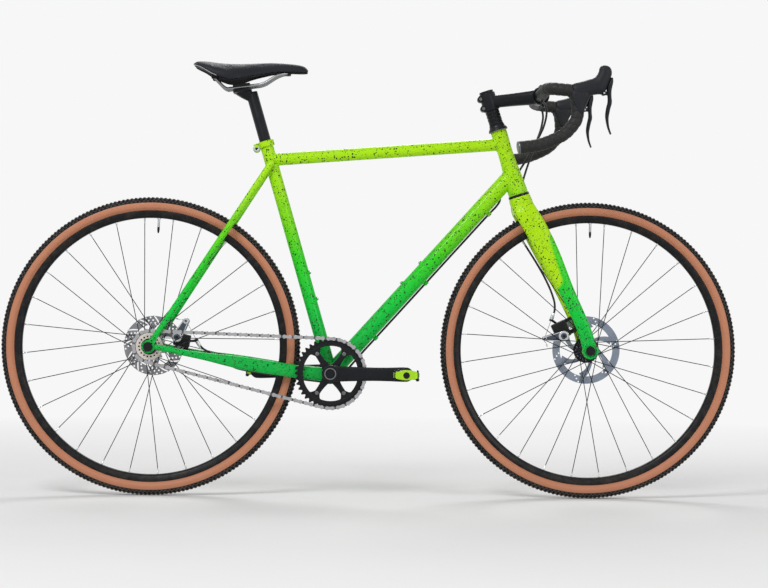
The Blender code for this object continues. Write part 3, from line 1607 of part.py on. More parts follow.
brake(
    "front",
    FRONT_AXLE,
    FRONT_ROTOR_RADIUS,
    FRONT_ROTOR_SIDE,
    FRONT_CALIPER,
    FRONT_CALIPER_TILT,
    (0.0360, 0.0400),
    front_lugs,
    blade_cut,
    FRONT_HINGE,
    FRONT_EYE,
    FRONT_STOP,
    FRONT_CALIPER + front_along * 0.0130,
    steering,
)

# The caliper rests on the left chainstay. Places about the rear axle
REAR_CALIPER = REAR_AXLE + Vector((0.0667, 0, 0.0134))
REAR_CALIPER_TILT = math.radians(10.3)
REAR_HINGE = REAR_AXLE + Vector((0.0552, 0, 0.0205))
REAR_EYE = REAR_AXLE + Vector((0.0760, 0, 0.0586))
REAR_STOP = REAR_AXLE + Vector((0.1015, 0, 0.0120))
rear_lug = as_cutter(
    block(
        "rear_lug",
        (0.0260, 0.0180, 0.0120),
        REAR_CALIPER + Vector((0.0010, REAR_ROTOR_SIDE + 0.0135, -0.0150)),
        REAR_CALIPER_TILT,
    )
)
stay_cut = as_cutter(chainstay("stay_cut", 1, GAP * 1.5))
brake(
    "rear",
    REAR_AXLE,
    REAR_ROTOR_RADIUS,
    REAR_ROTOR_SIDE,
    REAR_CALIPER,
    REAR_CALIPER_TILT,
    (0.0380, 0.0300),
    [rear_lug],
    stay_cut,
    REAR_HINGE,
    REAR_EYE,
    REAR_STOP,
    REAR_CALIPER + Vector((0.0100, 0, -0.0020)),
    None,
)


# Brake cables
def cable(name, route, stop=None, eye=None, side=0.0, parent=None):
    """A housing that ends at its stop, and the bare wire that runs on to the arm."""
    path = list(route)
    radii = [1.0] * len(path)
    if stop is not None:
        wire = (eye - stop).normalized()
        butt = stop - wire * (0.0035 + GAP) + SIDE * side
        thin = WIRE_RADIUS / CABLE_RADIUS
        path += [butt, butt + wire * 2e-5, eye - wire * (0.0034 + GAP) + SIDE * side]
        radii += [1.0, thin, thin]
    collect(meshed(swept(name, path, CABLE_RADIUS, radii, resolution=1)), CABLE, parent)


# Routes about the fork crown
FRONT_UPPER_ROUTE = (
    (0.0465, 0.0594, 0.2207),
    (0.0469, 0.0560, 0.2205),
    (0.0525, 0.0495, 0.2152),
    (0.0580, 0.0470, 0.1977),
    (0.0540, 0.0440, 0.1677),
    (0.0440, 0.0420, 0.1377),
    (0.0320, 0.0405, 0.1047),
    (0.0210, 0.0390, 0.0727),
    (0.0120, 0.0375, 0.0427),
    (0.0085, 0.0365, 0.0207),
    (0.0080, 0.0355, 0.0057),
    (0.0055, 0.0355, -0.0123),
)
FRONT_LOWER_ROUTE = (
    (-0.0105, 0.0400, -0.0553),
    (0.0010, 0.0425, -0.0793),
    (0.0115, 0.0440, -0.1008),
    (0.0320, 0.0450, -0.1323),
    (0.0510, 0.0460, -0.1623),
    (0.0690, 0.0460, -0.1943),
    (0.0830, 0.0450, -0.2253),
    (0.0905, 0.0430, -0.2523),
    (0.0890, 0.0410, -0.2713),
)
cable("front_cable_upper", [CROWN + Vector(p) for p in FRONT_UPPER_ROUTE], parent=steering)
cable(
    "front_cable_lower",
    [CROWN + Vector(p) for p in FRONT_LOWER_ROUTE],
    FRONT_STOP,
    FRONT_EYE,
    FRONT_ROTOR_SIDE,
    steering,
)

REAR_UPPER_ROUTE = (
    (0.0465, -0.0594, 0.2207),
    (0.0469, -0.0560, 0.2205),
    (0.0525, -0.0480, 0.2167),
    (0.0585, -0.0360, 0.2077),
    (0.0600, -0.0200, 0.1877),
    (0.0540, 0.0000, 0.1607),
    (0.0420, 0.0180, 0.1347),
    (0.0270, 0.0310, 0.1047),
    (0.0110, 0.0375, 0.0777),
    (-0.0050, 0.0385, 0.0527),
    (-0.0240, 0.0350, 0.0277),
    (-0.0430, 0.0255, 0.0047),
)
rear_route = [CROWN + Vector(p) for p in REAR_UPPER_ROUTE]
GUIDE_END = GUIDE_LENGTH / 2 + 0.0040
rear_route.append(under_down_tube(0.0700) + SIDE * 0.0090)
for from_top in GUIDES_FROM_TOP:
    rear_route.append(under_down_tube(from_top - GUIDE_END))
    rear_route.append(under_down_tube(from_top + GUIDE_END))
shell_clear = BB_SHELL_RADIUS + CABLE_RADIUS + 0.0018
rear_route.append(BB - DOWN_DIR * 0.0400 + DOWN_UNDER * (CABLE_DEPTH + 0.0008) + SIDE * 0.0060)
for turn, out in ((-42, 0.0150), (-62, 0.0180), (-82, 0.0210), (-101, 0.0235)):
    turn = math.radians(turn)
    rear_route.append(BB + shell_clear * Vector((math.cos(turn), 0, math.sin(turn))) + SIDE * out)


def under_stay(share, inward=0.0):
    """The cable's place below the left chainstay."""
    at = chainstay_centre(share, 1)
    at.z -= interpolate(CHAINSTAY_HALF_HEIGHT, share) + CABLE_RADIUS + 0.0010
    at.y -= inward
    return at


def inside_stay(share, rise=0.0):
    """The cable's place on the wheel side of the left chainstay."""
    at = chainstay_centre(share, 1)
    at.y -= interpolate(CHAINSTAY_HALF_WIDTH, share) + CABLE_RADIUS + 0.0010
    at.z += rise
    return at


rear_route += [under_stay(share) for share in (0.90, 0.80, 0.65, 0.58, 0.50)]
rear_route.append(under_stay(0.44, 0.0060))
rear_route += [inside_stay(0.38, -0.0080), inside_stay(0.33, 0.0), inside_stay(0.28, 0.0080) - SIDE * 0.003]
rear_route.append(REAR_AXLE + Vector((0.1135, 0.0545, -0.0040)))
cable("rear_brake_cable", rear_route, REAR_STOP, REAR_EYE, REAR_ROTOR_SIDE)


# Drive
def pitch_radius(teeth):
    """The radius on which the chain's pins lie."""
    return CHAIN_PITCH / (2 * math.sin(math.pi / teeth))


RING_PITCH = pitch_radius(RING_TEETH)
COG_PITCH = pitch_radius(COG_TEETH)
CHAIN_SIDE = -SIDE * CHAIN_LINE
CHAIN_OUT = CHAIN_HEIGHT / 2 + 0.0003
CHAIN_WEB = 0.0036
CHAIN_IN = -0.0040


def chain_outline(offset):
    """The loop round chainring and cog, about the crank's axis."""
    reach = REAR_AXLE - BB
    distance = math.hypot(reach.x, reach.z)
    line = math.atan2(reach.z, reach.x)
    spread = math.acos((RING_PITCH - COG_PITCH) / distance)
    outline = []
    ring_turn = math.tau - 2 * spread
    for i in range(15):
        a = line + spread + ring_turn * i / 14
        r = RING_PITCH + offset
        outline.append((r * math.cos(a), r * math.sin(a)))
    for i in range(9):
        a = line - spread + 2 * spread * i / 8
        r = COG_PITCH + offset
        outline.append((reach.x + r * math.cos(a), reach.z + r * math.sin(a)))
    return outline


chain = meshed(plate("chain", [chain_outline(CHAIN_OUT), chain_outline(CHAIN_IN)], CHAIN_WIDTH, BB + CHAIN_SIDE))
channel = as_cutter(
    meshed(
        plate(
            "chain_channel",
            [chain_outline(CHAIN_WEB), chain_outline(CHAIN_IN - 0.0030)],
            CHAIN_INNER_WIDTH,
            BB + CHAIN_SIDE,
        )
    )
)
boolean(chain, [channel])
collect(chain, CHAIN_STEEL)


def toothed(teeth, phase=0.0):
    """A sprocket's outline with four points to each tooth."""
    pitch = pitch_radius(teeth)
    outline = []
    for i in range(teeth):
        for share, offset in ((-0.34, -TOOTH_ROOT), (-0.09, TOOTH_HEIGHT), (0.09, TOOTH_HEIGHT), (0.34, -TOOTH_ROOT)):
            a = math.tau * (i + share + phase) / teeth
            outline.append(((pitch + offset) * math.cos(a), (pitch + offset) * math.sin(a)))
    return outline


SPIDER_ANGLES = (55.5, 124.5, 235.5, 304.5)


def ring_inside():
    """The chainring's inner edge with four tabs towards the spider."""
    outline = []
    for middle in SPIDER_ANGLES:
        for turn, radius in (
            (-16.0, RING_BAND_RADIUS),
            (-8.5, RING_BAND_RADIUS - 0.0060),
            (-6.0, RING_BOLT_RADIUS - 0.0075),
            (6.0, RING_BOLT_RADIUS - 0.0075),
            (8.5, RING_BAND_RADIUS - 0.0060),
            (16.0, RING_BAND_RADIUS),
        ):
            a = math.radians(middle + turn)
            outline.append((radius * math.cos(a), radius * math.sin(a)))
        following = SPIDER_ANGLES[(SPIDER_ANGLES.index(middle) + 1) % 4]
        gap = (following - middle) % 360 - 32
        for i in range(1, 4):
            a = math.radians(middle + 16 + gap * i / 4)
            outline.append((RING_BAND_RADIUS * math.cos(a), RING_BAND_RADIUS * math.sin(a)))
    return outline


chainring = plate("chainring", [toothed(RING_TEETH), ring_inside()], SPROCKET_THICKNESS, BB + CHAIN_SIDE)
collect(chainring, BLACK_ALLOY, crank_spin)

cog_axis = pivot("cog_axis", REAR_AXLE, SIDE)
cog_hole = circle((FREEHUB_RADIUS + RUNNING_GAP) / math.cos(math.pi / HUB_STEPS), HUB_STEPS)
cog = meshed(plate("cog", [toothed(COG_TEETH), cog_hole], SPROCKET_THICKNESS, REAR_AXLE + CHAIN_SIDE))
COG_DISC_THICKNESS = 0.0024
disc_at = REAR_AXLE - SIDE * (CHAIN_LINE + SPROCKET_THICKNESS / 2 + COG_DISC_THICKNESS / 2 - 0.0002)
cog_disc = as_cutter(
    meshed(plate("cog_disc", [circle(COG_DISC_RADIUS, 20), cog_hole], COG_DISC_THICKNESS, disc_at))
)
boolean(cog, [cog_disc], "UNION")
collect(cog, STEEL, cog_axis)


def crank_arm(name, side, heading):
    """A crank arm that narrows towards its pedal and stands a little further out there."""
    rings = []
    for share, height in CRANK_ROWS:
        out = CRANK_SIDE + (CRANK_END_SIDE - CRANK_SIDE) * share
        at = BB + Vector((heading * share * CRANK_LENGTH, side * out, 0))
        half_height = height * CRANK_HUB_RADIUS
        rings.append(oval(at, Vector((0, 0, 1)), SIDE, half_height, CRANK_THICKNESS / 2, 8, 3.0))
    return loft(name, rings, BB)


def crank_end(name, side, heading):
    """The eye that takes the pedal, and the pedal's spindle."""
    at = BB + Vector((heading * CRANK_LENGTH, side * CRANK_END_SIDE, 0))
    half = SIDE * CRANK_THICKNESS / 2
    eye = as_cutter(rod(f"{name}_eye", at - half, at + half, CRANK_EYE_RADIUS, sides=16))
    end = SIDE * side * (PEDAL_WIDTH + 0.0080)
    spindle = as_cutter(rod(f"{name}_spindle", at, at + end, PEDAL_SPINDLE_RADIUS, sides=10))
    return [eye, spindle]


HUB_INNER = CHAIN_LINE + SPROCKET_THICKNESS / 2 + GAP
HUB_OUTER = CRANK_SIDE + 0.0090
SPINDLE_END = CRANK_SIDE + 0.0035
SPIDER_REACH = 0.0605
SPIDER_WIDTH = 0.0150
crank_right = crank_arm("crank_right", -1, 1)
hub = as_cutter(rod("crank_hub", BB - SIDE * HUB_OUTER, BB - SIDE * HUB_INNER, CRANK_HUB_RADIUS, sides=20))
spindle = as_cutter(rod("crank_spindle", BB - SIDE * (CRANK_SIDE - 0.0065), BB + SIDE * SPINDLE_END, SPINDLE_RADIUS, sides=16))
spider_at = BB - SIDE * (HUB_INNER + SPIDER_THICKNESS / 2)
spider = [
    as_cutter(
        block(f"spider_{i}", (2 * SPIDER_REACH, SPIDER_THICKNESS, SPIDER_WIDTH), spider_at, math.radians(turn))
    )
    for i, turn in enumerate((SPIDER_ANGLES[0], -SPIDER_ANGLES[0]))
]
boolean(crank_right, [hub, spindle, *spider, *crank_end("right", -1, 1)], "UNION")
collect(crank_right, BLACK_ALLOY, crank_spin)

crank_left = crank_arm("crank_left", 1, -1)
left_hub = as_cutter(rod("left_hub", BB + SIDE * (BB_SHELL_WIDTH / 2 + 0.0140), BB + SIDE * HUB_OUTER, CRANK_HUB_RADIUS - 0.0020, sides=16))
spindle_cut = as_cutter(
    rod("spindle_cut", BB, BB + SIDE * (SPINDLE_END + GAP), (SPINDLE_RADIUS + GAP) / math.cos(math.pi / 16), sides=16)
)
boolean(crank_left, [left_hub, *crank_end("left", 1, -1)], "UNION")
boolean(crank_left, [spindle_cut])
collect(crank_left, BLACK_ALLOY, crank_spin)

# Pedals
PEDAL_SIDE = CRANK_END_SIDE + CRANK_THICKNESS / 2 + 0.0040 + PEDAL_WIDTH / 2
PEDAL_OUTLINE = (
    (-0.50, -0.15),
    (-0.42, -0.42),
    (-0.20, -0.50),
    (0.20, -0.50),
    (0.42, -0.42),
    (0.50, -0.15),
    (0.50, 0.15),
    (0.42, 0.42),
    (0.20, 0.50),
    (-0.20, 0.50),
    (-0.42, 0.42),
    (-0.50, 0.15),
)
for side_name, side, heading in (("right", -1, 1), ("left", 1, -1)):
    at = BB + Vector((heading * CRANK_LENGTH, side * PEDAL_SIDE, 0))
    outline = [(PEDAL_LENGTH * x, PEDAL_HEIGHT * z) for x, z in PEDAL_OUTLINE]
    hole = circle((PEDAL_SPINDLE_RADIUS + RUNNING_GAP) / math.cos(math.pi / 12), 12)
    pedal = plate(f"pedal_{side_name}", [outline, hole], PEDAL_WIDTH, at)
    pedal_axis = pivot(f"pedal_{side_name}_axis", at, SIDE, crank_spin)
    collect(pedal, PEDAL_GREEN, pedal_axis)
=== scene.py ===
"""A cyclocross bike, dressed for its portrait.

Every shown piece is a surface worked out with numpy: a grid of points P(u, v), or a profile carried
along a path. The helpers turn such grids into closed meshes, and each piece below gives its formula.
All lengths are metres, x runs forward, y to the rider's left and z up.
"""

import json
import math

import bmesh
import bpy
import numpy as np
from mathutils import Matrix, Vector

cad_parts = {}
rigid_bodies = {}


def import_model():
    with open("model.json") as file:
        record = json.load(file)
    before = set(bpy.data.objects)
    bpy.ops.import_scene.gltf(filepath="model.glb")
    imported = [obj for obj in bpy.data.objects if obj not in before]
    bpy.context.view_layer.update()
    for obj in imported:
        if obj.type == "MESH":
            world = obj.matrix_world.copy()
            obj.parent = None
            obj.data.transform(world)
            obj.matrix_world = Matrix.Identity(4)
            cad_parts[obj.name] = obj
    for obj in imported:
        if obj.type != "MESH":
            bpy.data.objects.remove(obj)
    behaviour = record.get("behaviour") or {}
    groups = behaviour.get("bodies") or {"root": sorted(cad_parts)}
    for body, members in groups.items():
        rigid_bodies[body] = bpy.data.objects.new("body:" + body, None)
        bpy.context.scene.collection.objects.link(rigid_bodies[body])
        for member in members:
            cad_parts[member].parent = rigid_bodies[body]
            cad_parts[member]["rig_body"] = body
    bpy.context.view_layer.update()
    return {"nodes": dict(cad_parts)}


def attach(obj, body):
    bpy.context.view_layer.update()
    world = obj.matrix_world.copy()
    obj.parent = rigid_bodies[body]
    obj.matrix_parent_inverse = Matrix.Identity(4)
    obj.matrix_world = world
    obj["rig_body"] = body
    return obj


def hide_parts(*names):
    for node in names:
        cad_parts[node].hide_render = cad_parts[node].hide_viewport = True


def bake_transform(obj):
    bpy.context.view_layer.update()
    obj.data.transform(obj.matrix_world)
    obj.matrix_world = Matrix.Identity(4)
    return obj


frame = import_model()

TAU = 2 * math.pi
X, Y, Z = np.eye(3)


# Places and sizes, as in the part's source
def place(*values):
    """A place or a direction, as an array of its numbers."""
    return np.array(values, float)


REAR_AXLE = place(-0.5115, 0, 0.348)
FRONT_AXLE = place(0.5115, 0, 0.348)
BB = place(-0.091959, 0, 0.2895)
SEAT_ANGLE = math.radians(73.6)
HEAD_ANGLE = math.radians(71.8)
SEAT_UP = place(-math.cos(SEAT_ANGLE), 0, math.sin(SEAT_ANGLE))
SEAT_FORE = place(math.sin(SEAT_ANGLE), 0, math.cos(SEAT_ANGLE))
STEER_UP = place(-math.cos(HEAD_ANGLE), 0, math.sin(HEAD_ANGLE))
STEER_FORE = place(math.sin(HEAD_ANGLE), 0, math.cos(HEAD_ANGLE))
CROWN = FRONT_AXLE - 0.045 * STEER_FORE + 0.393 * STEER_UP
HEAD_BOTTOM = CROWN + 0.006 * STEER_UP
HEAD_LENGTH = 0.156
HEAD_TOP = HEAD_BOTTOM + HEAD_LENGTH * STEER_UP
TOP_TUBE_FRONT = HEAD_TOP - 0.0326 * STEER_UP
TOP_TUBE_REAR = BB + 0.518 * SEAT_UP
DOWN_TUBE_TOP = HEAD_TOP - 0.1068 * STEER_UP
SEAT_TUBE_TOP = BB + 0.563 * SEAT_UP


def unit(v):
    """The same direction with length one: v / |v|."""
    return v / np.linalg.norm(v, axis=-1, keepdims=True)


DOWN_DIR = unit(BB - DOWN_TUBE_TOP)
DOWN_UNDER = place(-DOWN_DIR[2], 0, DOWN_DIR[0])
HEAD_RADII = ((0.0, 0.023), (0.1, 0.023), (0.34, 0.0204), (0.62, 0.0178), (0.9, 0.0188), (1.0, 0.0188))
TOP_TUBE_RADIUS, DOWN_TUBE_RADIUS, SEAT_TUBE_RADIUS, SHELL_RADIUS = 0.0143, 0.019, 0.0152, 0.0205


def from_crown(fore, side, up):
    """A place given along the steering axis: fore of it, to the left, and up from the fork crown."""
    return CROWN + fore * STEER_FORE + side * Y + up * STEER_UP


# Surfaces
def grid(points, loop_rows=False, loop_columns=True):
    """A part from a grid of points: each cell joins a point to its neighbours across and along."""
    rows, columns = points.shape[:2]
    r = np.arange(rows if loop_rows else rows - 1)[:, None]
    c = np.arange(columns if loop_columns else columns - 1)[None]
    r2, c2 = (r + 1) % rows, (c + 1) % columns
    faces = np.stack([r * columns + c, r * columns + c2, r2 * columns + c2, r2 * columns + c], -1)
    return points.reshape(-1, 3), faces.reshape(-1, 4)


def poles(rings):
    """The rings with each end drawn together in one point at its middle."""
    low = np.broadcast_to(rings[:1].mean(1, keepdims=True), rings[:1].shape)
    high = np.broadcast_to(rings[-1:].mean(1, keepdims=True), rings[-1:].shape)
    return np.concatenate([low, rings, high])


def together(parts):
    """Several parts as one list of points and faces."""
    points, faces, start = [], [], 0
    for p, f in parts:
        points.append(p)
        faces.append(f + start)
        start += len(p)
    return np.concatenate(points), np.concatenate(faces)


def spline(points, steps=8):
    """A smooth curve through the points (Catmull-Rom): p(t) = half of
    2b + (c - a) t + (2a - 5b + 4c - d) t^2 + (3b - a - 3c + d) t^3 on each span from b to c."""
    p = np.asarray(points, float)
    p = np.concatenate([2 * p[:1] - p[1:2], p, 2 * p[-1:] - p[-2:-1]])
    a, b, c, d = (p[i : len(p) - 3 + i, None] for i in range(4))
    t = (np.arange(steps) / steps)[None, :, None]
    curve = 0.5 * (2 * b + (c - a) * t + (2 * a - 5 * b + 4 * c - d) * t**2 + (3 * b - a - 3 * c + d) * t**3)
    return np.concatenate([curve.reshape(-1, p.shape[1]), p[-2:-1]])


def even_steps(path, step):
    """The same line with its points a step apart, read off along its length."""
    along = np.concatenate([[0], np.cumsum(np.linalg.norm(np.diff(path, axis=0), axis=1))])
    places = np.linspace(0, along[-1], int(round(along[-1] / step)) + 1)
    return np.stack([np.interp(places, along, path[:, i]) for i in range(3)], 1)


def turns(count, phase=0.0):
    """Angles spread evenly round a circle: phase + 2 pi i / count."""
    return phase + np.linspace(0, TAU, count, endpoint=False)


def tube(path, radius, sides=20, toward=Y, groove=None):
    """A round tube: p(s) + r(s) (cos t a(s) + sin t b(s)), with a square to the path and to one direction.
    A groove adds g(s, t) to the radius, with s the length along the path."""
    path = np.asarray(path, float)
    radius = np.broadcast_to(radius, len(path))[:, None]
    along = unit(np.gradient(path, axis=0))
    a = unit(np.cross(toward, along))
    b = np.cross(along, a)
    t = turns(sides)
    if groove is not None:
        steps = np.linalg.norm(np.diff(path, axis=0), axis=1)
        radius = radius + groove(np.concatenate([[0], np.cumsum(steps)])[:, None], t[None])
    ring = np.cos(t)[None, :, None] * a[:, None] + np.sin(t)[None, :, None] * b[:, None]
    return grid(poles(path[:, None] + radius[..., None] * ring))


def straight(start, end, count=24):
    """Points evenly along the line from start to end."""
    return start + np.linspace(0, 1, count)[:, None] * (end - start)


def rod(start, end, radius, sides=16, chamfer=0.0004):
    """A straight round bar whose two edges are broken by a small chamfer."""
    start, end = np.asarray(start, float), np.asarray(end, float)
    length = np.linalg.norm(end - start)
    profile = [
        (radius - chamfer, 0), (radius, chamfer), (radius, length - chamfer), (radius - chamfer, length)
    ]
    return turned(profile, start, unit(end - start), sides)


def turned(profile, at, axis, sides=48, loop=False):
    """A profile of (radius, height) turned round an axis: at + h axis + r (cos t a + sin t b)."""
    profile = np.asarray(profile, float)
    axis = np.asarray(axis, float)
    a = unit(np.cross(axis, Y if abs(axis[1]) < 0.9 else X))
    b = np.cross(axis, a)
    t = turns(sides)
    ring = np.cos(t)[:, None] * a + np.sin(t)[:, None] * b
    points = at + profile[:, 1, None, None] * axis + profile[:, 0, None, None] * ring[None]
    return grid(points if loop else poles(points), loop)


def softened(corners, size, loop=True, steps=3):
    """A profile with each corner c replaced by the curve (1-t)^2 a + 2t(1-t) c + t^2 b between its sides."""
    c = np.asarray(corners, float)
    before, after = np.roll(c, 1, 0) - c, np.roll(c, -1, 0) - c
    cut = np.minimum(
        size, 0.45 * np.minimum(np.linalg.norm(before, axis=1), np.linalg.norm(after, axis=1))
    )[:, None]
    a, b = c + unit(before) * cut, c + unit(after) * cut
    t = np.linspace(0, 1, steps + 1)[None, :, None]
    curve = (1 - t) ** 2 * a[:, None] + 2 * t * (1 - t) * c[:, None] + t**2 * b[:, None]
    if loop:
        return curve.reshape(-1, 2)
    return np.concatenate([c[:1], curve[1:-1].reshape(-1, 2), c[-1:]])


def power_ring(count, power):
    """Points of the curve |x|^n + |y|^n = 1, which is an oval at 2 and nearly a box at 8."""
    t = turns(count)
    x, y = np.cos(t), np.sin(t)
    return np.sign(x) * np.abs(x) ** (2 / power), np.sign(y) * np.abs(y) ** (2 / power)


def loft(centres, across, up, half_across, half_up, power=2.0, count=32):
    """Rings |x|^n + |y|^n = 1, each with its own centre, directions and half sizes, closed at both ends."""
    centres = np.asarray(centres, float)
    across = np.broadcast_to(across, centres.shape)
    up = np.broadcast_to(up, centres.shape)
    x, y = power_ring(count, power)
    w = np.broadcast_to(half_across, len(centres))[:, None, None]
    h = np.broadcast_to(half_up, len(centres))[:, None, None]
    rings = centres[:, None] + w * x[None, :, None] * across[:, None] + h * y[None, :, None] * up[:, None]
    return grid(poles(rings))


def block(at, size, forward=X, side=Y, power=7.0, count=28):
    """A box with rounded edges: the solid |x|^n + |y|^n + |z|^n = 1, stretched to its size."""
    forward, side = np.asarray(forward, float), np.asarray(side, float)
    up = np.cross(forward, side)
    x, y = power_ring(count, power)
    v = np.linspace(-0.5, 0.5, count // 2 + 1) * math.pi
    flat = np.abs(np.cos(v)) ** (2 / power)
    tall = np.sign(np.sin(v)) * np.abs(np.sin(v)) ** (2 / power)
    half = np.asarray(size, float) / 2
    points = (
        at
        + half[0] * (flat[:, None] * x)[..., None] * forward
        + half[1] * (flat[:, None] * y)[..., None] * side
        + half[2] * np.broadcast_to(tall[:, None], (len(v), count))[..., None] * up
    )
    return grid(points)


def slab(outer, inner, thickness, at, edge=0.0004, right=X, up=Z, out=Y):
    """A flat plate between two outlines with as many points each, its edges broken by a chamfer."""
    outer = np.asarray(outer, float)
    hole = np.broadcast_to(outer.mean(0), outer.shape) if inner is None else np.asarray(inner, float)
    inward = unit(hole - outer + 1e-12) * edge
    half = thickness / 2
    rows = [(outer + inward, -half), (outer, edge - half), (outer, half - edge), (outer + inward, half)]
    if inner is None:
        rows = [(hole, -half), *rows, (hole, half)]
    else:
        rows += [(hole - inward, half), (hole, half - edge), (hole, edge - half), (hole - inward, -half)]
    points = np.stack([at + o[:, :1] * right + o[:, 1:] * up + h * np.asarray(out, float) for o, h in rows])
    return grid(points, inner is not None)


def circle(radius, count, phase=0.0):
    """A flat circle: (r cos t, r sin t)."""
    t = turns(count, phase)
    return np.stack([radius * np.cos(t), radius * np.sin(t)], 1)


def faces_again(faces, size, count):
    """The faces of a part and of its copies, each copy's numbers a part's size on from the last."""
    return (faces[None] + size * np.arange(count)[:, None, None]).reshape(-1, 4)


def repeated(blocks, loop_rows=False, loop_columns=True):
    """Many grids of one size as one part."""
    one, faces = grid(blocks[0], loop_rows, loop_columns)
    return blocks.reshape(-1, 3), faces_again(faces, len(one), len(blocks))


def ring_places(at, turn, radius, side):
    """Places on a flat ring, by their turn from X towards Z, radius and distance to the left."""
    return at + (radius * np.cos(turn))[..., None] * X + (radius * np.sin(turn))[..., None] * Z + side * Y


def drilled(radii, cells, hole, thickness, at, phase=0.0, lean=0.0, long=None, chosen=slice(None), fine=4):
    """Flat rings cut into equal cells, each with a round hole or a long slot: lines run from the points of a
    cell's edge to the points of its hole, (hole cos a, long sin a) from its middle. Cells lean by a turn of
    lean times r."""
    across, along = np.linspace(-1, 1, 5)[:-1], np.linspace(-1, 1, fine + 1)[:-1]
    du = np.concatenate([np.ones(fine), -across, -np.ones(fine), across])
    dv = np.concatenate([along, np.ones(4), -along, -np.ones(4)])
    half_turn, half, whole = math.pi / cells, thickness / 2, (radii[0] + radii[-1]) / 2
    turn = turns(cells, phase)[chosen][:, None]
    parts = []
    for inside, outside in zip(radii[:-1], radii[1:]):
        middle, half_height = (inside + outside) / 2, (outside - inside) / 2
        edge_radius = middle + dv * half_height
        edge_angle = turn + du * half_turn + lean * (edge_radius - whole)
        around = np.arctan2(dv * half_height, du * half_turn * middle)
        hole_radius = middle + (long or hole) * np.sin(around)
        bend = lean * ((hole_radius if long else middle) - whole)
        hole_angle = turn + hole * np.cos(around) / middle + bend
        edge_radius, hole_radius = (np.broadcast_to(r, edge_angle.shape) for r in (edge_radius, hole_radius))
        rows = [(edge_angle, edge_radius, half), (hole_angle, hole_radius, half)]
        rows += [(hole_angle, hole_radius, -half), (edge_angle, edge_radius, -half)]
        parts.append(repeated(np.stack([ring_places(at, *row) for row in rows], 1)))
    return together(parts)


def plain_cells(radii, cells, thickness, at, phase, lean, chosen, fine):
    """The cells with no hole: flat patches above and below, with the same edge points as their neighbours."""
    whole = (radii[0] + radii[-1]) / 2
    radius = np.linspace(radii[0], radii[-1], fine + 1)[None, :, None]
    across = np.linspace(-1, 1, 5) * math.pi / cells
    turn = turns(cells, phase)[chosen][:, None, None] + across + lean * (radius - whole)
    radius = np.broadcast_to(radius, turn.shape)
    faces = [ring_places(at, turn, radius, side) for side in (-thickness / 2, thickness / 2)]
    return together([repeated(face, loop_columns=False) for face in faces])


def ring_walls(radii, cells, thickness, at, phase=0.0, lean=0.0):
    """The narrow walls at a drilled ring's inner and outer edge."""
    parts = []
    for radius in (radii[0], radii[-1]):
        turn = turns(cells * 4, phase - math.pi / cells + lean * (radius - (radii[0] + radii[-1]) / 2))
        rows = [ring_places(at, turn, np.full(len(turn), radius), h) for h in (-thickness / 2, thickness / 2)]
        parts.append(grid(np.stack(rows)))
    return together(parts)


def holed_ring(radii, cells, hole, thickness, at):
    """A flat ring with a round hole in each of its cells, and its two edges."""
    return [drilled(radii, cells, hole, thickness, at), ring_walls(radii, cells, thickness, at)]


def copies(part, at, forward, side=Y):
    """The part set down many times: p becomes at + x forward + y side + z (forward x side)."""
    points, faces = part
    at, forward = np.atleast_2d(at), np.atleast_2d(forward)
    at, forward = np.broadcast_arrays(at, forward)
    side = np.broadcast_to(side, at.shape)
    up = np.cross(forward, side)
    made = at[:, None] + points[None, :, :1] * forward[:, None] + points[None, :, 1:2] * side[:, None]
    made = made + points[None, :, 2:] * up[:, None]
    return made.reshape(-1, 3), faces_again(faces, len(points), len(at))


def bars(starts, ends, radius, sides=8):
    """Many straight round bars at once, from each start to its end."""
    starts, ends = np.broadcast_arrays(np.atleast_2d(starts), np.atleast_2d(ends))
    length = np.linalg.norm(ends - starts, axis=1)
    along = (ends - starts) / length[:, None]
    a = unit(np.cross(along, unit(place(0.31, 0.87, 0.23))))
    bar = turned([(radius, 0), (radius, 1)], np.zeros(3), Z, sides)
    stretched = copies(bar, starts, a, np.cross(along, a))
    points = stretched[0].reshape(len(starts), -1, 3)
    t = ((points - starts[:, None]) * along[:, None]).sum(-1)
    return (points + (t * (length[:, None] - 1))[..., None] * along[:, None]).reshape(-1, 3), stretched[1]


def bolt(at, axis, radius, height):
    """A bolt's head: a profile with a domed edge and a round recess half as wide, turned round its axis."""
    recess = radius * 0.5
    profile = [(radius, 0), (radius, height * 0.75), (radius * 0.86, height), (recess, height)]
    return turned([*profile, (recess * 0.96, height * 0.55)], at, axis, 24)


def disc(radius, low, high, edge, at, axis, sides=48):
    """A solid disc: a rectangle from the axis to its radius, its corners softened, turned round the axis."""
    profile = softened([(0, low), (radius, low), (radius, high), (0, high)], edge, False)
    return turned(profile, at, axis, sides)


def washer(bore, radius, low, high, edge, at, axis, sides=48):
    """A ring with a hole: a softened rectangle between two radii and two heights, turned round the axis."""
    profile = softened([(bore, low), (radius, low), (radius, high), (bore, high)], edge)
    return turned(profile, at, axis, sides, loop=True)


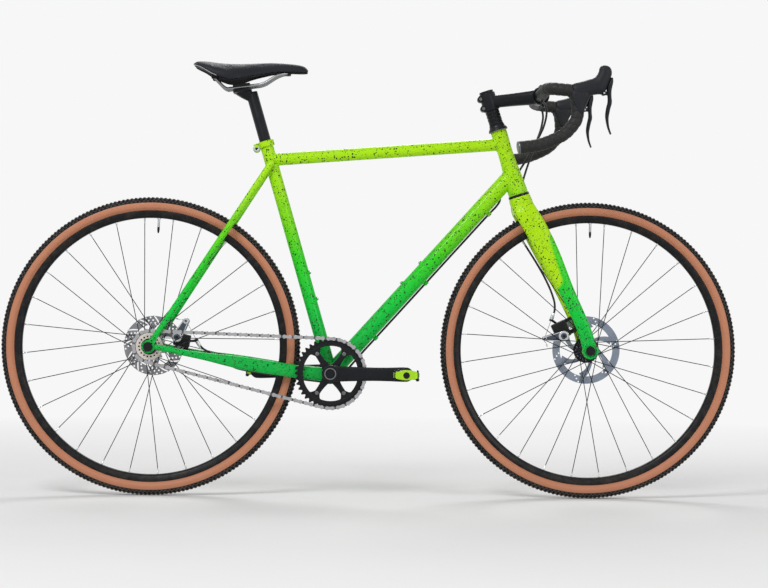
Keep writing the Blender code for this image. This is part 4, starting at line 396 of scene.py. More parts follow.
def joined(start, heading, radius, post_at, post_axis, post_radius, bead=0.0013, count=96):
    """A rippled weld bead: where a tube's lines p + s d meet a round post, |(p + s d - q) - axis part| =
    R."""
    a = unit(np.cross(heading, Y))
    b = np.cross(heading, a)
    t = turns(count)
    p = start + radius * (np.cos(t)[:, None] * a + np.sin(t)[:, None] * b)
    d = heading - (heading @ post_axis) * post_axis
    q = (p - post_at) - ((p - post_at) @ post_axis)[:, None] * post_axis
    half_b, c = q @ d, (q * q).sum(1) - post_radius**2
    s = (-half_b - np.sqrt(np.maximum(half_b**2 - (d @ d) * c, 0))) / (d @ d)
    seam = p + s[:, None] * heading
    out = unit(p - start)
    along = unit(np.roll(seam, -1, 0) - np.roll(seam, 1, 0))
    side = np.cross(along, out)
    size = bead * (1 + 0.16 * np.cos(t * 24))
    v = turns(8)
    ring = np.cos(v)[:, None] * out[:, None] + np.sin(v)[:, None] * side[:, None]
    return grid(seam[:, None] + size[:, None, None] * ring, True)


# Shared pattern groups
def socket(tree, name, way, kind="NodeSocketFloat", value=None):
    """One input or output of a shared group."""
    made = tree.interface.new_socket(name, in_out=way, socket_type=kind)
    if value is not None:
        made.default_value = value
    return made


def add(tree, kind, values=None, **settings):
    """One node, with its settings, and its inputs set or linked."""
    node = tree.nodes.new(kind)
    for key, value in settings.items():
        setattr(node, key, value)
    for key, value in (values or {}).items():
        if isinstance(value, bpy.types.NodeSocket):
            tree.links.new(value, node.inputs[key])
        else:
            node.inputs[key].default_value = value
    return node


def maths(tree, operation, a, b=0.0, clamp=False):
    """One sum in a material, and its result."""
    return add(tree, "ShaderNodeMath", {0: a, 1: b}, operation=operation, use_clamp=clamp).outputs[0]


def group(name, inputs, outputs):
    """An empty shared group, with its inputs and outputs."""
    tree = bpy.data.node_groups.new(name, "ShaderNodeTree")
    for key, value in inputs.items():
        vector = isinstance(value, tuple)
        socket(tree, key, "INPUT", "NodeSocketVector" if vector else "NodeSocketFloat", value)
    for key in outputs:
        socket(tree, key, "OUTPUT")
    return tree, tree.nodes.new("NodeGroupInput").outputs, tree.nodes.new("NodeGroupOutput").inputs


def flecks_group():
    """Splashed flecks: in a cell grid, a point is fleck where its distance to the cell's seed, bent by
    noise, is under a radius that most cells draw small and a few draw large."""
    tree, given, out = group(
        "splashed_flecks", {"Vector": (0, 0, 0), "Scale": 100.0, "Size": 0.3, "Share": 0.5}, ["Mask"]
    )
    noise = add(
        tree, "ShaderNodeTexNoise",
        {"Vector": given["Vector"], "Scale": maths(tree, "MULTIPLY", given["Scale"], 1.7)},
    )
    bent = add(
        tree, "ShaderNodeVectorMath", {0: noise.outputs["Color"], 1: (0.5, 0.5, 0.5)}, operation="SUBTRACT"
    )
    small = add(tree, "ShaderNodeVectorMath", {0: bent.outputs[0], "Scale": 0.004}, operation="SCALE")
    moved = add(tree, "ShaderNodeVectorMath", {0: given["Vector"], 1: small.outputs[0]}, operation="ADD")
    cells = add(tree, "ShaderNodeTexVoronoi", {"Vector": moved.outputs[0], "Scale": given["Scale"]})
    draw = add(tree, "ShaderNodeSeparateColor", {"Color": cells.outputs["Color"]})
    big = maths(tree, "POWER", draw.outputs[0], 1.6)
    radius = maths(tree, "MULTIPLY", maths(tree, "ADD", big, 0.25), given["Size"])
    chosen = maths(tree, "LESS_THAN", draw.outputs[1], given["Share"])
    radius = maths(tree, "MULTIPLY", radius, chosen)
    edge = maths(tree, "SUBTRACT", radius, cells.outputs["Distance"])
    tree.links.new(maths(tree, "MULTIPLY", edge, 25.0, True), out["Mask"])
    return tree


def grain_group():
    """Fine grain and a slow change of tone: two noises, one some thirty times coarser than the other."""
    tree, given, out = group("fine_grain", {"Vector": (0, 0, 0), "Scale": 900.0}, ["Height", "Tone"])
    fine = add(
        tree, "ShaderNodeTexNoise", {"Vector": given["Vector"], "Scale": given["Scale"], "Detail": 4.0}
    )
    slow = add(
        tree, "ShaderNodeTexNoise",
        {
            "Vector": given["Vector"],
            "Scale": maths(tree, "MULTIPLY", given["Scale"], 0.03),
            "Detail": 5.0, "Roughness": 0.6,
        },
    )
    tree.links.new(fine.outputs["Fac"], out["Height"])
    tree.links.new(slow.outputs["Fac"], out["Tone"])
    return tree


def dust_group():
    """Trail dust: thick under a height, thinner above it, and broken up by noise."""
    tree, given, out = group("trail_dust", {"Vector": (0, 0, 0), "Level": 0.25, "Amount": 0.5}, ["Mask"])
    parts = add(tree, "ShaderNodeSeparateXYZ", {0: given["Vector"]})
    low = maths(tree, "MULTIPLY", maths(tree, "SUBTRACT", given["Level"], parts.outputs[2]), 3.0)
    noise = add(
        tree, "ShaderNodeTexNoise",
        {"Vector": given["Vector"], "Scale": 60.0, "Detail": 8.0, "Roughness": 0.7},
    )
    spread = maths(tree, "MULTIPLY", maths(tree, "SUBTRACT", noise.outputs["Fac"], 0.45), 2.6)
    both = maths(tree, "ADD", maths(tree, "MAXIMUM", low, 0.0), spread, True)
    tree.links.new(maths(tree, "MULTIPLY", both, given["Amount"], True), out["Mask"])
    return tree


FLECKS, GRAIN, DUST = flecks_group(), grain_group(), dust_group()


def use(tree, made, **values):
    """A shared group placed in a material, reading the object's own coordinates."""
    node = tree.nodes.new("ShaderNodeGroup")
    node.node_tree = made
    place_at = add(tree, "ShaderNodeTexCoord").outputs["Object"]
    tree.links.new(place_at, node.inputs["Vector"])
    for key, value in values.items():
        node.inputs[key].default_value = value
    return node.outputs


def blend_colours(tree, share, a, b):
    """The colour that goes from a to b with the share."""
    node = add(tree, "ShaderNodeMix", {0: share, 6: a, 7: b}, data_type="RGBA")
    return node.outputs[2]


def rgb(*values):
    """A colour that covers fully."""
    return (*values, 1.0)


def ramp(tree, share, stops):
    """A colour read off between stops of (place, colour)."""
    node = add(tree, "ShaderNodeValToRGB", {0: share})
    elements = node.color_ramp.elements
    while len(elements) < len(stops):
        elements.new(0.5)
    for element, (at, colour) in zip(elements, stops):
        element.position = at
        element.color = rgb(*colour)
    return node.outputs["Color"]


def finish(name, roughness=0.4, metallic=0.0, coat=0.0, coat_roughness=0.08):
    """A new material: its tree, and the shader whose plain values are set here."""
    material = bpy.data.materials.new(name)
    material.use_nodes = True
    tree = material.node_tree
    shader = tree.nodes["Principled BSDF"]
    for key, value in {
        "Roughness": roughness,
        "Metallic": metallic,
        "Coat Weight": coat,
        "Coat Roughness": coat_roughness,
    }.items():
        shader.inputs[key].default_value = value
    return material, tree, shader


def bump(tree, shader, height, strength, distance):
    """A height pressed into the look of a surface."""
    node = add(tree, "ShaderNodeBump", {"Height": height, "Strength": strength, "Distance": distance})
    tree.links.new(node.outputs[0], shader.inputs["Normal"])


def frame_paint(name, lime_inside=False):
    """Lime that turns to green as it comes down, under splashed black flecks and a clear coat. On the fork
    the sides that face the wheel stay lime, where |y| falls under the blade's own middle, and so do the outer
    sides down to a slanted end, down + 0.745 fore < 0.249, short of a green strip along the front."""
    material, tree, shader = finish(name, 0.36, 0.0, 0.14, 0.05)
    shader.inputs["Specular IOR Level"].default_value = 0.12
    parts = add(tree, "ShaderNodeSeparateXYZ", {0: add(tree, "ShaderNodeTexCoord").outputs["Object"]}).outputs
    grain = use(tree, GRAIN, Scale=500.0)
    wander = maths(tree, "MULTIPLY", maths(tree, "SUBTRACT", grain["Tone"], 0.5), 0.08)
    colour = ramp(
        tree,
        maths(tree, "ADD", parts[2], wander),
        [
            (0.33, (0.000, 0.47, 0.06)),
            (0.45, (0.000, 0.6, 0.045)),
            (0.56, (0.03, 0.66, 0.01)),
            (0.64, (0.18, 0.72, 0.004)),
            (0.74, (0.37, 0.79, 0.002)),
            (0.88, (0.46, 0.83, 0.002)),
        ],
    )
    if lime_inside:
        blade = maths(tree, "ADD", maths(tree, "MULTIPLY", parts[2], -0.0658), 0.079)
        inner = maths(tree, "SUBTRACT", blade, maths(tree, "ABSOLUTE", parts[1]))
        x, z = (maths(tree, "SUBTRACT", parts[i], float(CROWN[i])) for i in (0, 2))
        up, fore = (
            maths(
                tree, "ADD",
                maths(tree, "MULTIPLY", x, float(way[0])),
                maths(tree, "MULTIPLY", z, float(way[2])),
            )
            for way in (STEER_UP, STEER_FORE)
        )
        widened = maths(tree, "MAXIMUM", maths(tree, "MULTIPLY", maths(tree, "ADD", up, 0.118), 0.45), 0.0)
        strip = maths(
            tree, "MULTIPLY", maths(tree, "SUBTRACT", maths(tree, "ADD", widened, 0.036), fore), 160.0, True
        )
        tip = maths(tree, "SUBTRACT", maths(tree, "ADD", up, 0.249), maths(tree, "MULTIPLY", fore, 0.745))
        outer = maths(tree, "MULTIPLY", strip, maths(tree, "MULTIPLY", tip, 120.0, True))
        share = maths(tree, "MAXIMUM", outer, maths(tree, "MULTIPLY", inner, 400.0, True))
        colour = blend_colours(tree, share, colour, rgb(0.44, 0.8, 0.002))
    fine = use(tree, FLECKS, Scale=380.0, Size=0.4, Share=0.42)["Mask"]
    coarse = use(tree, FLECKS, Scale=215.0, Size=0.4, Share=0.66)["Mask"]
    mask = maths(tree, "MAXIMUM", fine, coarse)
    dark = blend_colours(tree, mask, colour, rgb(0.006, 0.014, 0.008))
    dust = use(tree, DUST, Level=0.3, Amount=0.1)["Mask"]
    tree.links.new(blend_colours(tree, dust, dark, rgb(0.3, 0.25, 0.19)), shader.inputs["Base Color"])
    bump(
        tree, shader,
        maths(tree, "ADD", maths(tree, "MULTIPLY", mask, 0.5), maths(tree, "MULTIPLY", grain["Tone"], 0.4)),
        0.2, 0.0003,
    )
    return material


def plain(
    name, colour, worn, roughness, metallic=0.0, grain_scale=900.0, depth=0.15, coat=0.0, tone=0.35,
    dust=0.0, level=0.25, shine=0.5,
):
    """A colour that shifts a little to its worn one, with grain in gloss and surface, and dust low down."""
    material, tree, shader = finish(name, roughness, metallic, coat, 0.12)
    shader.inputs["Specular IOR Level"].default_value = shine
    grain = use(tree, GRAIN, Scale=grain_scale)
    shift = maths(tree, "MULTIPLY", maths(tree, "SUBTRACT", grain["Tone"], 0.35), tone * 3, True)
    colour = blend_colours(tree, shift, rgb(*colour), rgb(*worn))
    if dust:
        mask = use(tree, DUST, Level=level, Amount=dust)["Mask"]
        colour = blend_colours(tree, mask, colour, rgb(0.26, 0.21, 0.16))
    tree.links.new(colour, shader.inputs["Base Color"])
    spread = maths(tree, "MULTIPLY", maths(tree, "SUBTRACT", grain["Tone"], 0.5), 0.35)
    tree.links.new(maths(tree, "ADD", spread, roughness, True), shader.inputs["Roughness"])
    bump(tree, shader, grain["Height"], depth, 0.0002)
    return material


def casing_finish(name, axle):
    """Tan casing: two sets of fine threads that cross, whole waves in the angle and radius about the axle."""
    material, tree, shader = finish(name, 0.58, 0.0, 0.05, 0.3)
    parts = add(tree, "ShaderNodeSeparateXYZ", {0: add(tree, "ShaderNodeTexCoord").outputs["Object"]})
    dx = maths(tree, "SUBTRACT", parts.outputs[0], float(axle[0]))
    dz = maths(tree, "SUBTRACT", parts.outputs[2], float(axle[2]))
    angle = maths(tree, "ARCTAN2", dz, dx)
    radius = maths(
        tree, "SQRT", maths(tree, "ADD", maths(tree, "MULTIPLY", dx, dx), maths(tree, "MULTIPLY", dz, dz))
    )
    threads = []
    for sign in (1.0, -1.0):
        across = maths(tree, "MULTIPLY", radius, sign * 3600.0)
        threads.append(
            maths(tree, "SINE", maths(tree, "ADD", maths(tree, "MULTIPLY", angle, 1200.0), across))
        )
    weave = maths(tree, "MAXIMUM", threads[0], threads[1])
    grain = use(tree, GRAIN, Scale=700.0)
    colour = blend_colours(
        tree,
        maths(tree, "MULTIPLY", grain["Tone"], 0.7, True),
        rgb(0.56, 0.218, 0.112), rgb(0.45, 0.162, 0.08),
    )
    outer = maths(tree, "MULTIPLY", maths(tree, "SUBTRACT", radius, 0.331), 160.0, True)
    colour = blend_colours(tree, outer, colour, rgb(0.43, 0.2, 0.12))
    mask = use(tree, DUST, Level=0.08, Amount=0.35)["Mask"]
    colour = blend_colours(tree, mask, colour, rgb(0.34, 0.24, 0.17))
    tree.links.new(colour, shader.inputs["Base Color"])
    bump(tree, shader, maths(tree, "MULTIPLY", weave, 0.5), 0.22, 0.0002)
    return material


def tape_finish():
    """Padded tape: a soft black skin with a broad low shine, creased a little where it stretches."""
    material, tree, shader = finish("padded_tape", 0.52, 0.0, 0.0)
    shader.inputs["Specular IOR Level"].default_value = 0.26
    grain = use(tree, GRAIN, Scale=1100.0)
    tree.links.new(
        blend_colours(tree, grain["Tone"], rgb(0.01, 0.01, 0.01), rgb(0.022, 0.021, 0.02)),
        shader.inputs["Base Color"],
    )
    creases = use(tree, GRAIN, Scale=260.0)
    height = maths(tree, "ADD", maths(tree, "MULTIPLY", grain["Height"], 0.3), creases["Height"])
    bump(tree, shader, height, 0.3, 0.0004)
    return material


def hood_finish():
    """Hood rubber: matt, with pressed cross ribs along its sides."""
    material, tree, shader = finish("hood_skin", 0.52, 0.0, 0.0)
    shader.inputs["Specular IOR Level"].default_value = 0.22
    grain = use(tree, GRAIN, Scale=1400.0)
    colour = blend_colours(tree, grain["Tone"], rgb(0.007, 0.008, 0.01), rgb(0.016, 0.017, 0.021))
    tree.links.new(colour, shader.inputs["Base Color"])
    wave = add(
        tree,
        "ShaderNodeTexWave",
        {"Vector": add(tree, "ShaderNodeTexCoord").outputs["Object"], "Scale": 160.0, "Distortion": 0.6},
        wave_type="BANDS",
        bands_direction="DIAGONAL",
    )
    height = maths(tree, "ADD", maths(tree, "MULTIPLY", wave.outputs["Fac"], 0.5), grain["Height"])
    bump(tree, shader, height, 0.22, 0.0003)
    return material


def saddle_finish():
    """Saddle cover: fine pebbled leather-like grain from small cells."""
    material, tree, shader = finish("pebbled_cover", 0.5, 0.0, 0.0)
    shader.inputs["Specular IOR Level"].default_value = 0.2
    cells = add(
        tree,
        "ShaderNodeTexVoronoi",
        {"Vector": add(tree, "ShaderNodeTexCoord").outputs["Object"], "Scale": 620.0},
        feature="SMOOTH_F1",
    )
    grain = use(tree, GRAIN, Scale=600.0)
    colour = blend_colours(tree, grain["Tone"], rgb(0.005, 0.006, 0.009), rgb(0.011, 0.013, 0.018))
    tree.links.new(colour, shader.inputs["Base Color"])
    bump(tree, shader, cells.outputs["Distance"], 0.3, 0.0004)
    return material


PAINT = frame_paint("faded_paint")
FINISH = {
    "paint": (PAINT, "lime_paint"),
    "green": (PAINT, "green_paint"),
    "fork": (frame_paint("fork_paint", True), "lime_paint"),
    "front_casing": (casing_finish("front_casing", FRONT_AXLE), "tyre_rubber"),
    "rear_casing": (casing_finish("rear_casing", REAR_AXLE), "tyre_rubber"),
    "tape": (tape_finish(), "bar_tape"),
    "hood": (hood_finish(), "hood_rubber"),
    "saddle": (saddle_finish(), "saddle_cover"),
}
# The plain finishes: material, slot, colour, worn colour, roughness, metal, grain's scale and depth, the rest
PLAIN_FINISHES = {
    "alloy": (
        "black_anodised", "black_alloy", (0.007, 0.0075, 0.009), (0.018, 0.019, 0.022),
        0.27, 0.4, 1500.0, 0.06, {"shine": 0.3},
    ),
    "satin": (
        "satin_black", "black_alloy", (0.005, 0.006, 0.008), (0.012, 0.014, 0.018),
        0.34, 0.1, 1500.0, 0.05, {"shine": 0.22},
    ),
    "rim": (
        "rim_black", "black_alloy", (0.005, 0.0055, 0.007), (0.012, 0.013, 0.015),
        0.34, 0.1, 1200.0, 0.05, {"dust": 0.14, "level": 0.1, "shine": 0.2},
    ),
    "spoke": (
        "spoke_black", "black_steel", (0.016, 0.016, 0.018), (0.05, 0.05, 0.054),
        0.3, 0.8, 900.0, 0.05, {"shine": 0.4},
    ),
    "steel": (
        "bright_steel", "steel", (0.56, 0.57, 0.59), (0.4, 0.41, 0.43),
        0.25, 1.0, 1800.0, 0.05, {},
    ),
    "rotor": (
        "brushed_steel", "steel", (0.26, 0.265, 0.28), (0.14, 0.145, 0.155),
        0.28, 1.0, 1600.0, 0.08, {},
    ),
    "blued": (
        "blued_steel", "steel", (0.25, 0.29, 0.35), (0.16, 0.19, 0.24),
        0.26, 1.0, 1600.0, 0.08, {},
    ),
    "arm": (
        "polished_arm", "steel", (0.6, 0.61, 0.63), (0.44, 0.45, 0.47),
        0.22, 1.0, 1600.0, 0.05, {},
    ),
    "dark_panel": (
        "dark_panel", "steel", (0.07, 0.085, 0.115), (0.13, 0.145, 0.18),
        0.34, 0.8, 1500.0, 0.05, {},
    ),
    "chain": (
        "chain_steel", "chain_steel", (0.46, 0.46, 0.48), (0.28, 0.275, 0.27),
        0.26, 1.0, 1200.0, 0.08, {"tone": 0.5},
    ),
    "link": (
        "dark_link", "chain_steel", (0.13, 0.13, 0.135), (0.06, 0.058, 0.055),
        0.34, 0.9, 1200.0, 0.08, {"tone": 0.5},
    ),
    "disc": (
        "pale_disc", "steel", (0.78, 0.71, 0.64), (0.62, 0.55, 0.48),
        0.42, 0.15, 1200.0, 0.05, {},
    ),
    "tread": (
        "tread_rubber", "tyre_rubber", (0.005, 0.005, 0.006), (0.014, 0.014, 0.014),
        0.78, 0.0, 700.0, 0.35, {"dust": 0.2, "level": 0.06, "shine": 0.15},
    ),
    # Knob rubber is painted several times lighter than the tread: a painted highlight on the knob tops. Its
    # dust low down is real dust.
    "knobs": (
        "knob_rubber_painted_highlight", "tyre_rubber", (0.016, 0.016, 0.018), (0.044, 0.043, 0.042),
        0.62, 0.0, 700.0, 0.35, {"dust": 0.3, "level": 0.12, "shine": 0.35},
    ),
    "rail": (
        "satin_rail", "steel", (0.3, 0.31, 0.32), (0.2, 0.205, 0.21),
        0.32, 0.9, 1500.0, 0.05, {},
    ),
    "trim": (
        "pale_trim", "saddle_cover", (0.38, 0.38, 0.39), (0.26, 0.26, 0.27),
        0.5, 0.0, 1200.0, 0.05, {},
    ),
    "plug": (
        "dull_plug", "black_plastic", (0.16, 0.165, 0.17), (0.1, 0.1, 0.105),
        0.35, 0.6, 1200.0, 0.06, {},
    ),
    "plastic": (
        "moulded_black", "black_plastic", (0.006, 0.006, 0.007), (0.015, 0.015, 0.017),
        0.48, 0.0, 1300.0, 0.12, {"shine": 0.2},
    ),
    "housing": (
        "cable_housing", "cable_housing", (0.006, 0.006, 0.007), (0.014, 0.014, 0.015),
        0.3, 0.0, 900.0, 0.04, {"shine": 0.3},
    ),
    "pedal": (
        "lime_anodised", "pedal_green", (0.4, 0.74, 0.006), (0.26, 0.54, 0.006),
        0.36, 0.3, 1200.0, 0.06, {"coat": 0.05},
    ),
}
for key, (name, slot_name, *values, others) in PLAIN_FINISHES.items():
    FINISH[key] = (plain(name, *values, **others), slot_name)


# Pieces
def mesh_of(name, part, sharp):
    """The part as a mesh: equal points made one, and every face turned outwards."""
    points, faces = part
    mesh = bpy.data.meshes.new(name)
    mesh.from_pydata(points.tolist(), [], faces.tolist())
    build = bmesh.new()
    build.from_mesh(mesh)
    bmesh.ops.remove_doubles(build, verts=build.verts, dist=1e-6)
    bmesh.ops.recalc_face_normals(build, faces=build.faces)
    build.to_mesh(mesh)
    build.free()
    mesh.polygons.foreach_set("use_smooth", np.ones(len(mesh.polygons), bool))
    mesh.set_sharp_from_angle(angle=math.radians(sharp))
    return mesh


def show(name, parts, look, body, *nodes, sharp=38):
    """One piece of the bike: its parts as one object at the origin, with its finish, riding on a CAD body."""
    part = together(parts) if isinstance(parts, list) else parts
    made = bpy.data.objects.new(name, mesh_of(name, part, sharp))
    bpy.context.scene.collection.objects.link(made)
    material, slot = FINISH[look]
    made.data.materials.append(material)
    if body:
        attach(made, body)
    if nodes:
        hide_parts(*nodes)
    return made


def body_of(node):
    """The body that a CAD node rides on."""
    return frame["nodes"][node]["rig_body"]


def dressed(node, look, bevel=0.0004, sharp=35):
    """A CAD node's own shape, shaded round, with its flat faces whole again and its edges broken."""
    source = frame["nodes"][node]
    bm = bmesh.new()
    bm.from_mesh(source.data)
    bmesh.ops.remove_doubles(bm, verts=bm.verts, dist=1e-6)
    bmesh.ops.dissolve_limit(bm, angle_limit=math.radians(1), verts=bm.verts, edges=bm.edges)
    mesh = bpy.data.meshes.new(node + "_shape")
    bm.to_mesh(mesh)
    bm.free()
    mesh.materials.clear()
    mesh.polygons.foreach_set("use_smooth", np.ones(len(mesh.polygons), bool))
    mesh.set_sharp_from_angle(angle=math.radians(sharp))
    made = bpy.data.objects.new(node + "_shape", mesh)
    bpy.context.scene.collection.objects.link(made)
    material, slot = FINISH[look]
    mesh.materials.append(material)
    edges = made.modifiers.new("broken_edges", "BEVEL")
    edges.width, edges.segments, edges.limit_method = bevel, 2, "ANGLE"
    edges.angle_limit = math.radians(sharp)
    edges.harden_normals = True
    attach(made, source["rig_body"])
    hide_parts(node)
    return made


# Camera, at the photograph's viewing angle
PHOTO_WIDTH, FOCAL_PIXELS, CENTRE_COLUMN, SENSOR_WIDTH = 768, 2097.74, 435.897, 36.0
CAMERA_AT = place(-0.01334, -4.92329, 0.46401)


def aim_camera():
    """The camera: its axes are the fitted yaw, pitch and roll, and its lens the fitted focal length."""
    yaw, pitch, roll = 0.03367, 0.00261, 0.01098
    ahead = place(math.sin(yaw) * math.cos(pitch), math.cos(yaw) * math.cos(pitch), math.sin(pitch))
    right = place(math.cos(yaw), -math.sin(yaw), 0)
    up = np.cross(right, ahead)
    right, up = math.cos(roll) * right + math.sin(roll) * up, math.cos(roll) * up - math.sin(roll) * right
    data = bpy.data.cameras.new("portrait")
    camera = bpy.data.objects.new("portrait", data)
    bpy.context.scene.collection.objects.link(camera)
    data.sensor_width, data.lens = SENSOR_WIDTH, FOCAL_PIXELS / PHOTO_WIDTH * SENSOR_WIDTH
    data.shift_x = (PHOTO_WIDTH / 2 - CENTRE_COLUMN) / PHOTO_WIDTH
    turned_axes = np.eye(4)
    turned_axes[:3, :4] = np.stack([right, up, -ahead, CAMERA_AT], 1)
    camera.matrix_world = Matrix(turned_axes.tolist())
    bpy.context.scene.camera = camera


aim_camera()


# Brake cables
STEM_DIR = place(0.992778, 0, 0.119965)
STEM_RISE = place(-0.119965, 0, 0.992778)
BAR_AT = place(0.39251, 0, 0.943634)
CABLE_RADIUS, WIRE_RADIUS, CABLE_GAP = 0.0025, 0.0008, 0.001
HINGES = {"front": place(0.4575, 0.0395, 0.3805), "rear": place(-0.4563, 0.0555, 0.3685)}
EYES = {"front": place(0.4123, 0.0395, 0.3741), "rear": place(-0.4355, 0.0555, 0.4066)}
STOPS = {"front": place(0.428, 0.0395, 0.4187), "rear": place(-0.41, 0.0555, 0.36)}


def under_down_tube(from_top, side=0.009):
    """A place below the down tube: top + s along + (R + 0.0036) under + side Y."""
    return DOWN_TUBE_TOP + from_top * DOWN_DIR + (DOWN_TUBE_RADIUS + 0.0036) * DOWN_UNDER + side * Y


CHAINSTAY_DROP = ((0, 0), (0.12, -0.003), (0.28, -0.005), (0.5, -0.008), (0.8, -0.0085), (1, -0.006))
CHAINSTAY_SIDE = (
    (0, 0.0748), (0.12, 0.0735), (0.28, 0.066), (0.4, 0.057), (0.5, 0.048), (0.65, 0.036), (0.8, 0.03),
    (1, 0.025),
)
CHAINSTAY_HALF_HEIGHT = (
    (0, 0.0066), (0.12, 0.0066), (0.28, 0.0085), (0.4, 0.013), (0.5, 0.0155), (0.8, 0.0155), (1, 0.015)
)
CHAINSTAY_HALF_WIDTH = ((0, 0.0062), (0.12, 0.0066), (0.4, 0.0072), (0.65, 0.0078), (1, 0.008))


def read(table, share):
    """The second column of a table, read at a share in its first."""
    table = np.asarray(table)
    return np.interp(share, table[:, 0], table[:, 1])


def chainstay_line(share, left):
    """A chainstay's middle line: start + s (shell - start) + drop(s) Z + left side(s) Y."""
    share = np.atleast_1d(np.asarray(share, float))
    start = REAR_AXLE + place(0.0158, 0, 0)
    line = start + share[:, None] * (BB - start)
    return line + read(CHAINSTAY_DROP, share)[:, None] * Z + left * read(CHAINSTAY_SIDE, share)[:, None] * Y


FRONT_UPPER_ROUTE = [
    (0.3925, 0.0594, 0.928), (0.3929, 0.056, 0.9278), (0.3985, 0.0495, 0.9225), (0.404, 0.047, 0.905),
    (0.4, 0.044, 0.875), (0.39, 0.042, 0.845), (0.378, 0.0405, 0.812), (0.367, 0.039, 0.78),
    (0.358, 0.0375, 0.75), (0.3545, 0.0365, 0.728), (0.354, 0.0355, 0.713), (0.3515, 0.0355, 0.695),
]
FRONT_LOWER_ROUTE = [
    (0.3355, 0.04, 0.652), (0.347, 0.0425, 0.628), (0.3575, 0.044, 0.6065), (0.378, 0.045, 0.575),
    (0.397, 0.046, 0.545), (0.415, 0.046, 0.513), (0.429, 0.045, 0.482), (0.4365, 0.043, 0.455),
    (0.435, 0.041, 0.436),
]


def eased(values, times=6):
    """The values smoothed along their rows, ends held: each becomes (a + 2b + c) / 4, again and again."""
    values = np.array(values, float)
    for _ in range(times):
        values[1:-1] = (values[:-2] + 2 * values[1:-1] + values[2:]) / 4
    return values


def carried(profile, path, a, b):
    """A closed profile carried along a path: p + u a + v b at each of its points, and closed at both ends."""
    profile = np.asarray(profile, float)
    points = path[:, None] + profile[None, :, :1] * a[:, None] + profile[None, :, 1:] * b[:, None]
    return grid(poles(points))


def arc_sleeve(at, axis, first, inside, outside, width, start, end, count=40):
    """Part of a thick sleeve: a softened rectangle carried round an axis from one angle to another."""
    angle = np.radians(np.linspace(start, end, count))[:, None]
    out = np.cos(angle) * first + np.sin(angle) * np.cross(axis, first)
    half = width / 2
    profile = softened([(inside, -half), (outside, -half), (outside, half), (inside, half)], 0.001)
    return carried(profile, np.broadcast_to(at, out.shape), out, np.broadcast_to(axis, out.shape))


def housing(name, route, body, node):
    """A round housing carried along its smooth route."""
    path = spline(even_steps(spline(route, 8), 0.018), 6)
    made = show(name, tube(path, CABLE_RADIUS, 16, toward=unit(place(0.2, 0.9, 0.3))), "housing", body, node)
    return made


def wire(name, start, end):
    """The bright inner wire: a straight thin tube from start to end."""
    made = show(name, tube(straight(start, end, 17), WIRE_RADIUS, 10), "steel", None)
    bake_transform(made)
    return made


def shell_place(degrees, side):
    """A place round the bracket shell: middle + reach (cos a, 0, sin a) + side Y."""
    reach = SHELL_RADIUS + CABLE_RADIUS + 0.0018
    return BB + reach * place(math.cos(math.radians(degrees)), 0, math.sin(math.radians(degrees))) + side * Y


def under_stay(share, inward=0.0):
    """A place just below the left chainstay."""
    off = read(CHAINSTAY_HALF_HEIGHT, share) + CABLE_RADIUS + CABLE_GAP
    return chainstay_line(share, 1)[0] - off * Z - inward * Y


def inside_stay(share, rise=0.0, inward=0.0):
    """A place just inside the left chainstay."""
    off = read(CHAINSTAY_HALF_WIDTH, share) + CABLE_RADIUS + CABLE_GAP + inward
    return chainstay_line(share, 1)[0] - off * Y + rise * Z


GUIDE_PLACES = (0.105, 0.325, 0.5)
REAR_ROUTE = [
    (0.3925, -0.0594, 0.928), (0.3929, -0.056, 0.9278), (0.3985, -0.048, 0.924), (0.4045, -0.036, 0.915),
    (0.406, -0.02, 0.895), (0.4, 0, 0.868), (0.388, 0.018, 0.842), (0.373, 0.031, 0.812),
    (0.357, 0.0375, 0.785), (0.341, 0.0385, 0.76), (0.322, 0.035, 0.735), (0.303, 0.0255, 0.712),
    under_down_tube(0.07),
    *[under_down_tube(at) for at in np.linspace(0.11, 0.55, 12)],
    BB - 0.04 * DOWN_DIR + 0.0234 * DOWN_UNDER + 0.006 * Y,
    *[shell_place(*at) for at in ((-42, 0.015), (-62, 0.018), (-82, 0.021), (-101, 0.0235))],
    *[under_stay(share) for share in (0.9, 0.8, 0.65, 0.58, 0.5)],
    under_stay(0.44, 0.006), inside_stay(0.38, -0.008), inside_stay(0.33), inside_stay(0.28, 0.008, 0.003),
    (-0.398, 0.0545, 0.344),
]
HOUSING_END = {
    which: STOPS[which] + 0.0038 * unit(STOPS[which] - EYES[which]) for which in ("front", "rear")
}
housing("front_cable_upper_housing", FRONT_UPPER_ROUTE, "steering", "front_cable_upper")
housing(
    "front_cable_lower_housing", [*FRONT_LOWER_ROUTE, HOUSING_END["front"]], "steering", "front_cable_lower"
)
rear_housing = housing("rear_brake_housing", [*REAR_ROUTE, HOUSING_END["rear"]], None, "rear_brake_cable")
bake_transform(rear_housing)
wire("front_brake_wire", HOUSING_END["front"], EYES["front"])
wire("rear_brake_wire", HOUSING_END["rear"], EYES["rear"])


# Frame
def head_tube():
    """The hourglass head tube: a smooth curve of radius against height, turned round the steering axis."""
    middle = [(r, HEAD_LENGTH * s) for s, r in HEAD_RADII[1:-1]]
    rows = [(0.0222, 0), (0.023, 0.0008), *middle, (0.0188, HEAD_LENGTH - 0.0008), (0.018, HEAD_LENGTH)]
    return turned(spline(rows, 6), HEAD_BOTTOM, STEER_UP, 72)


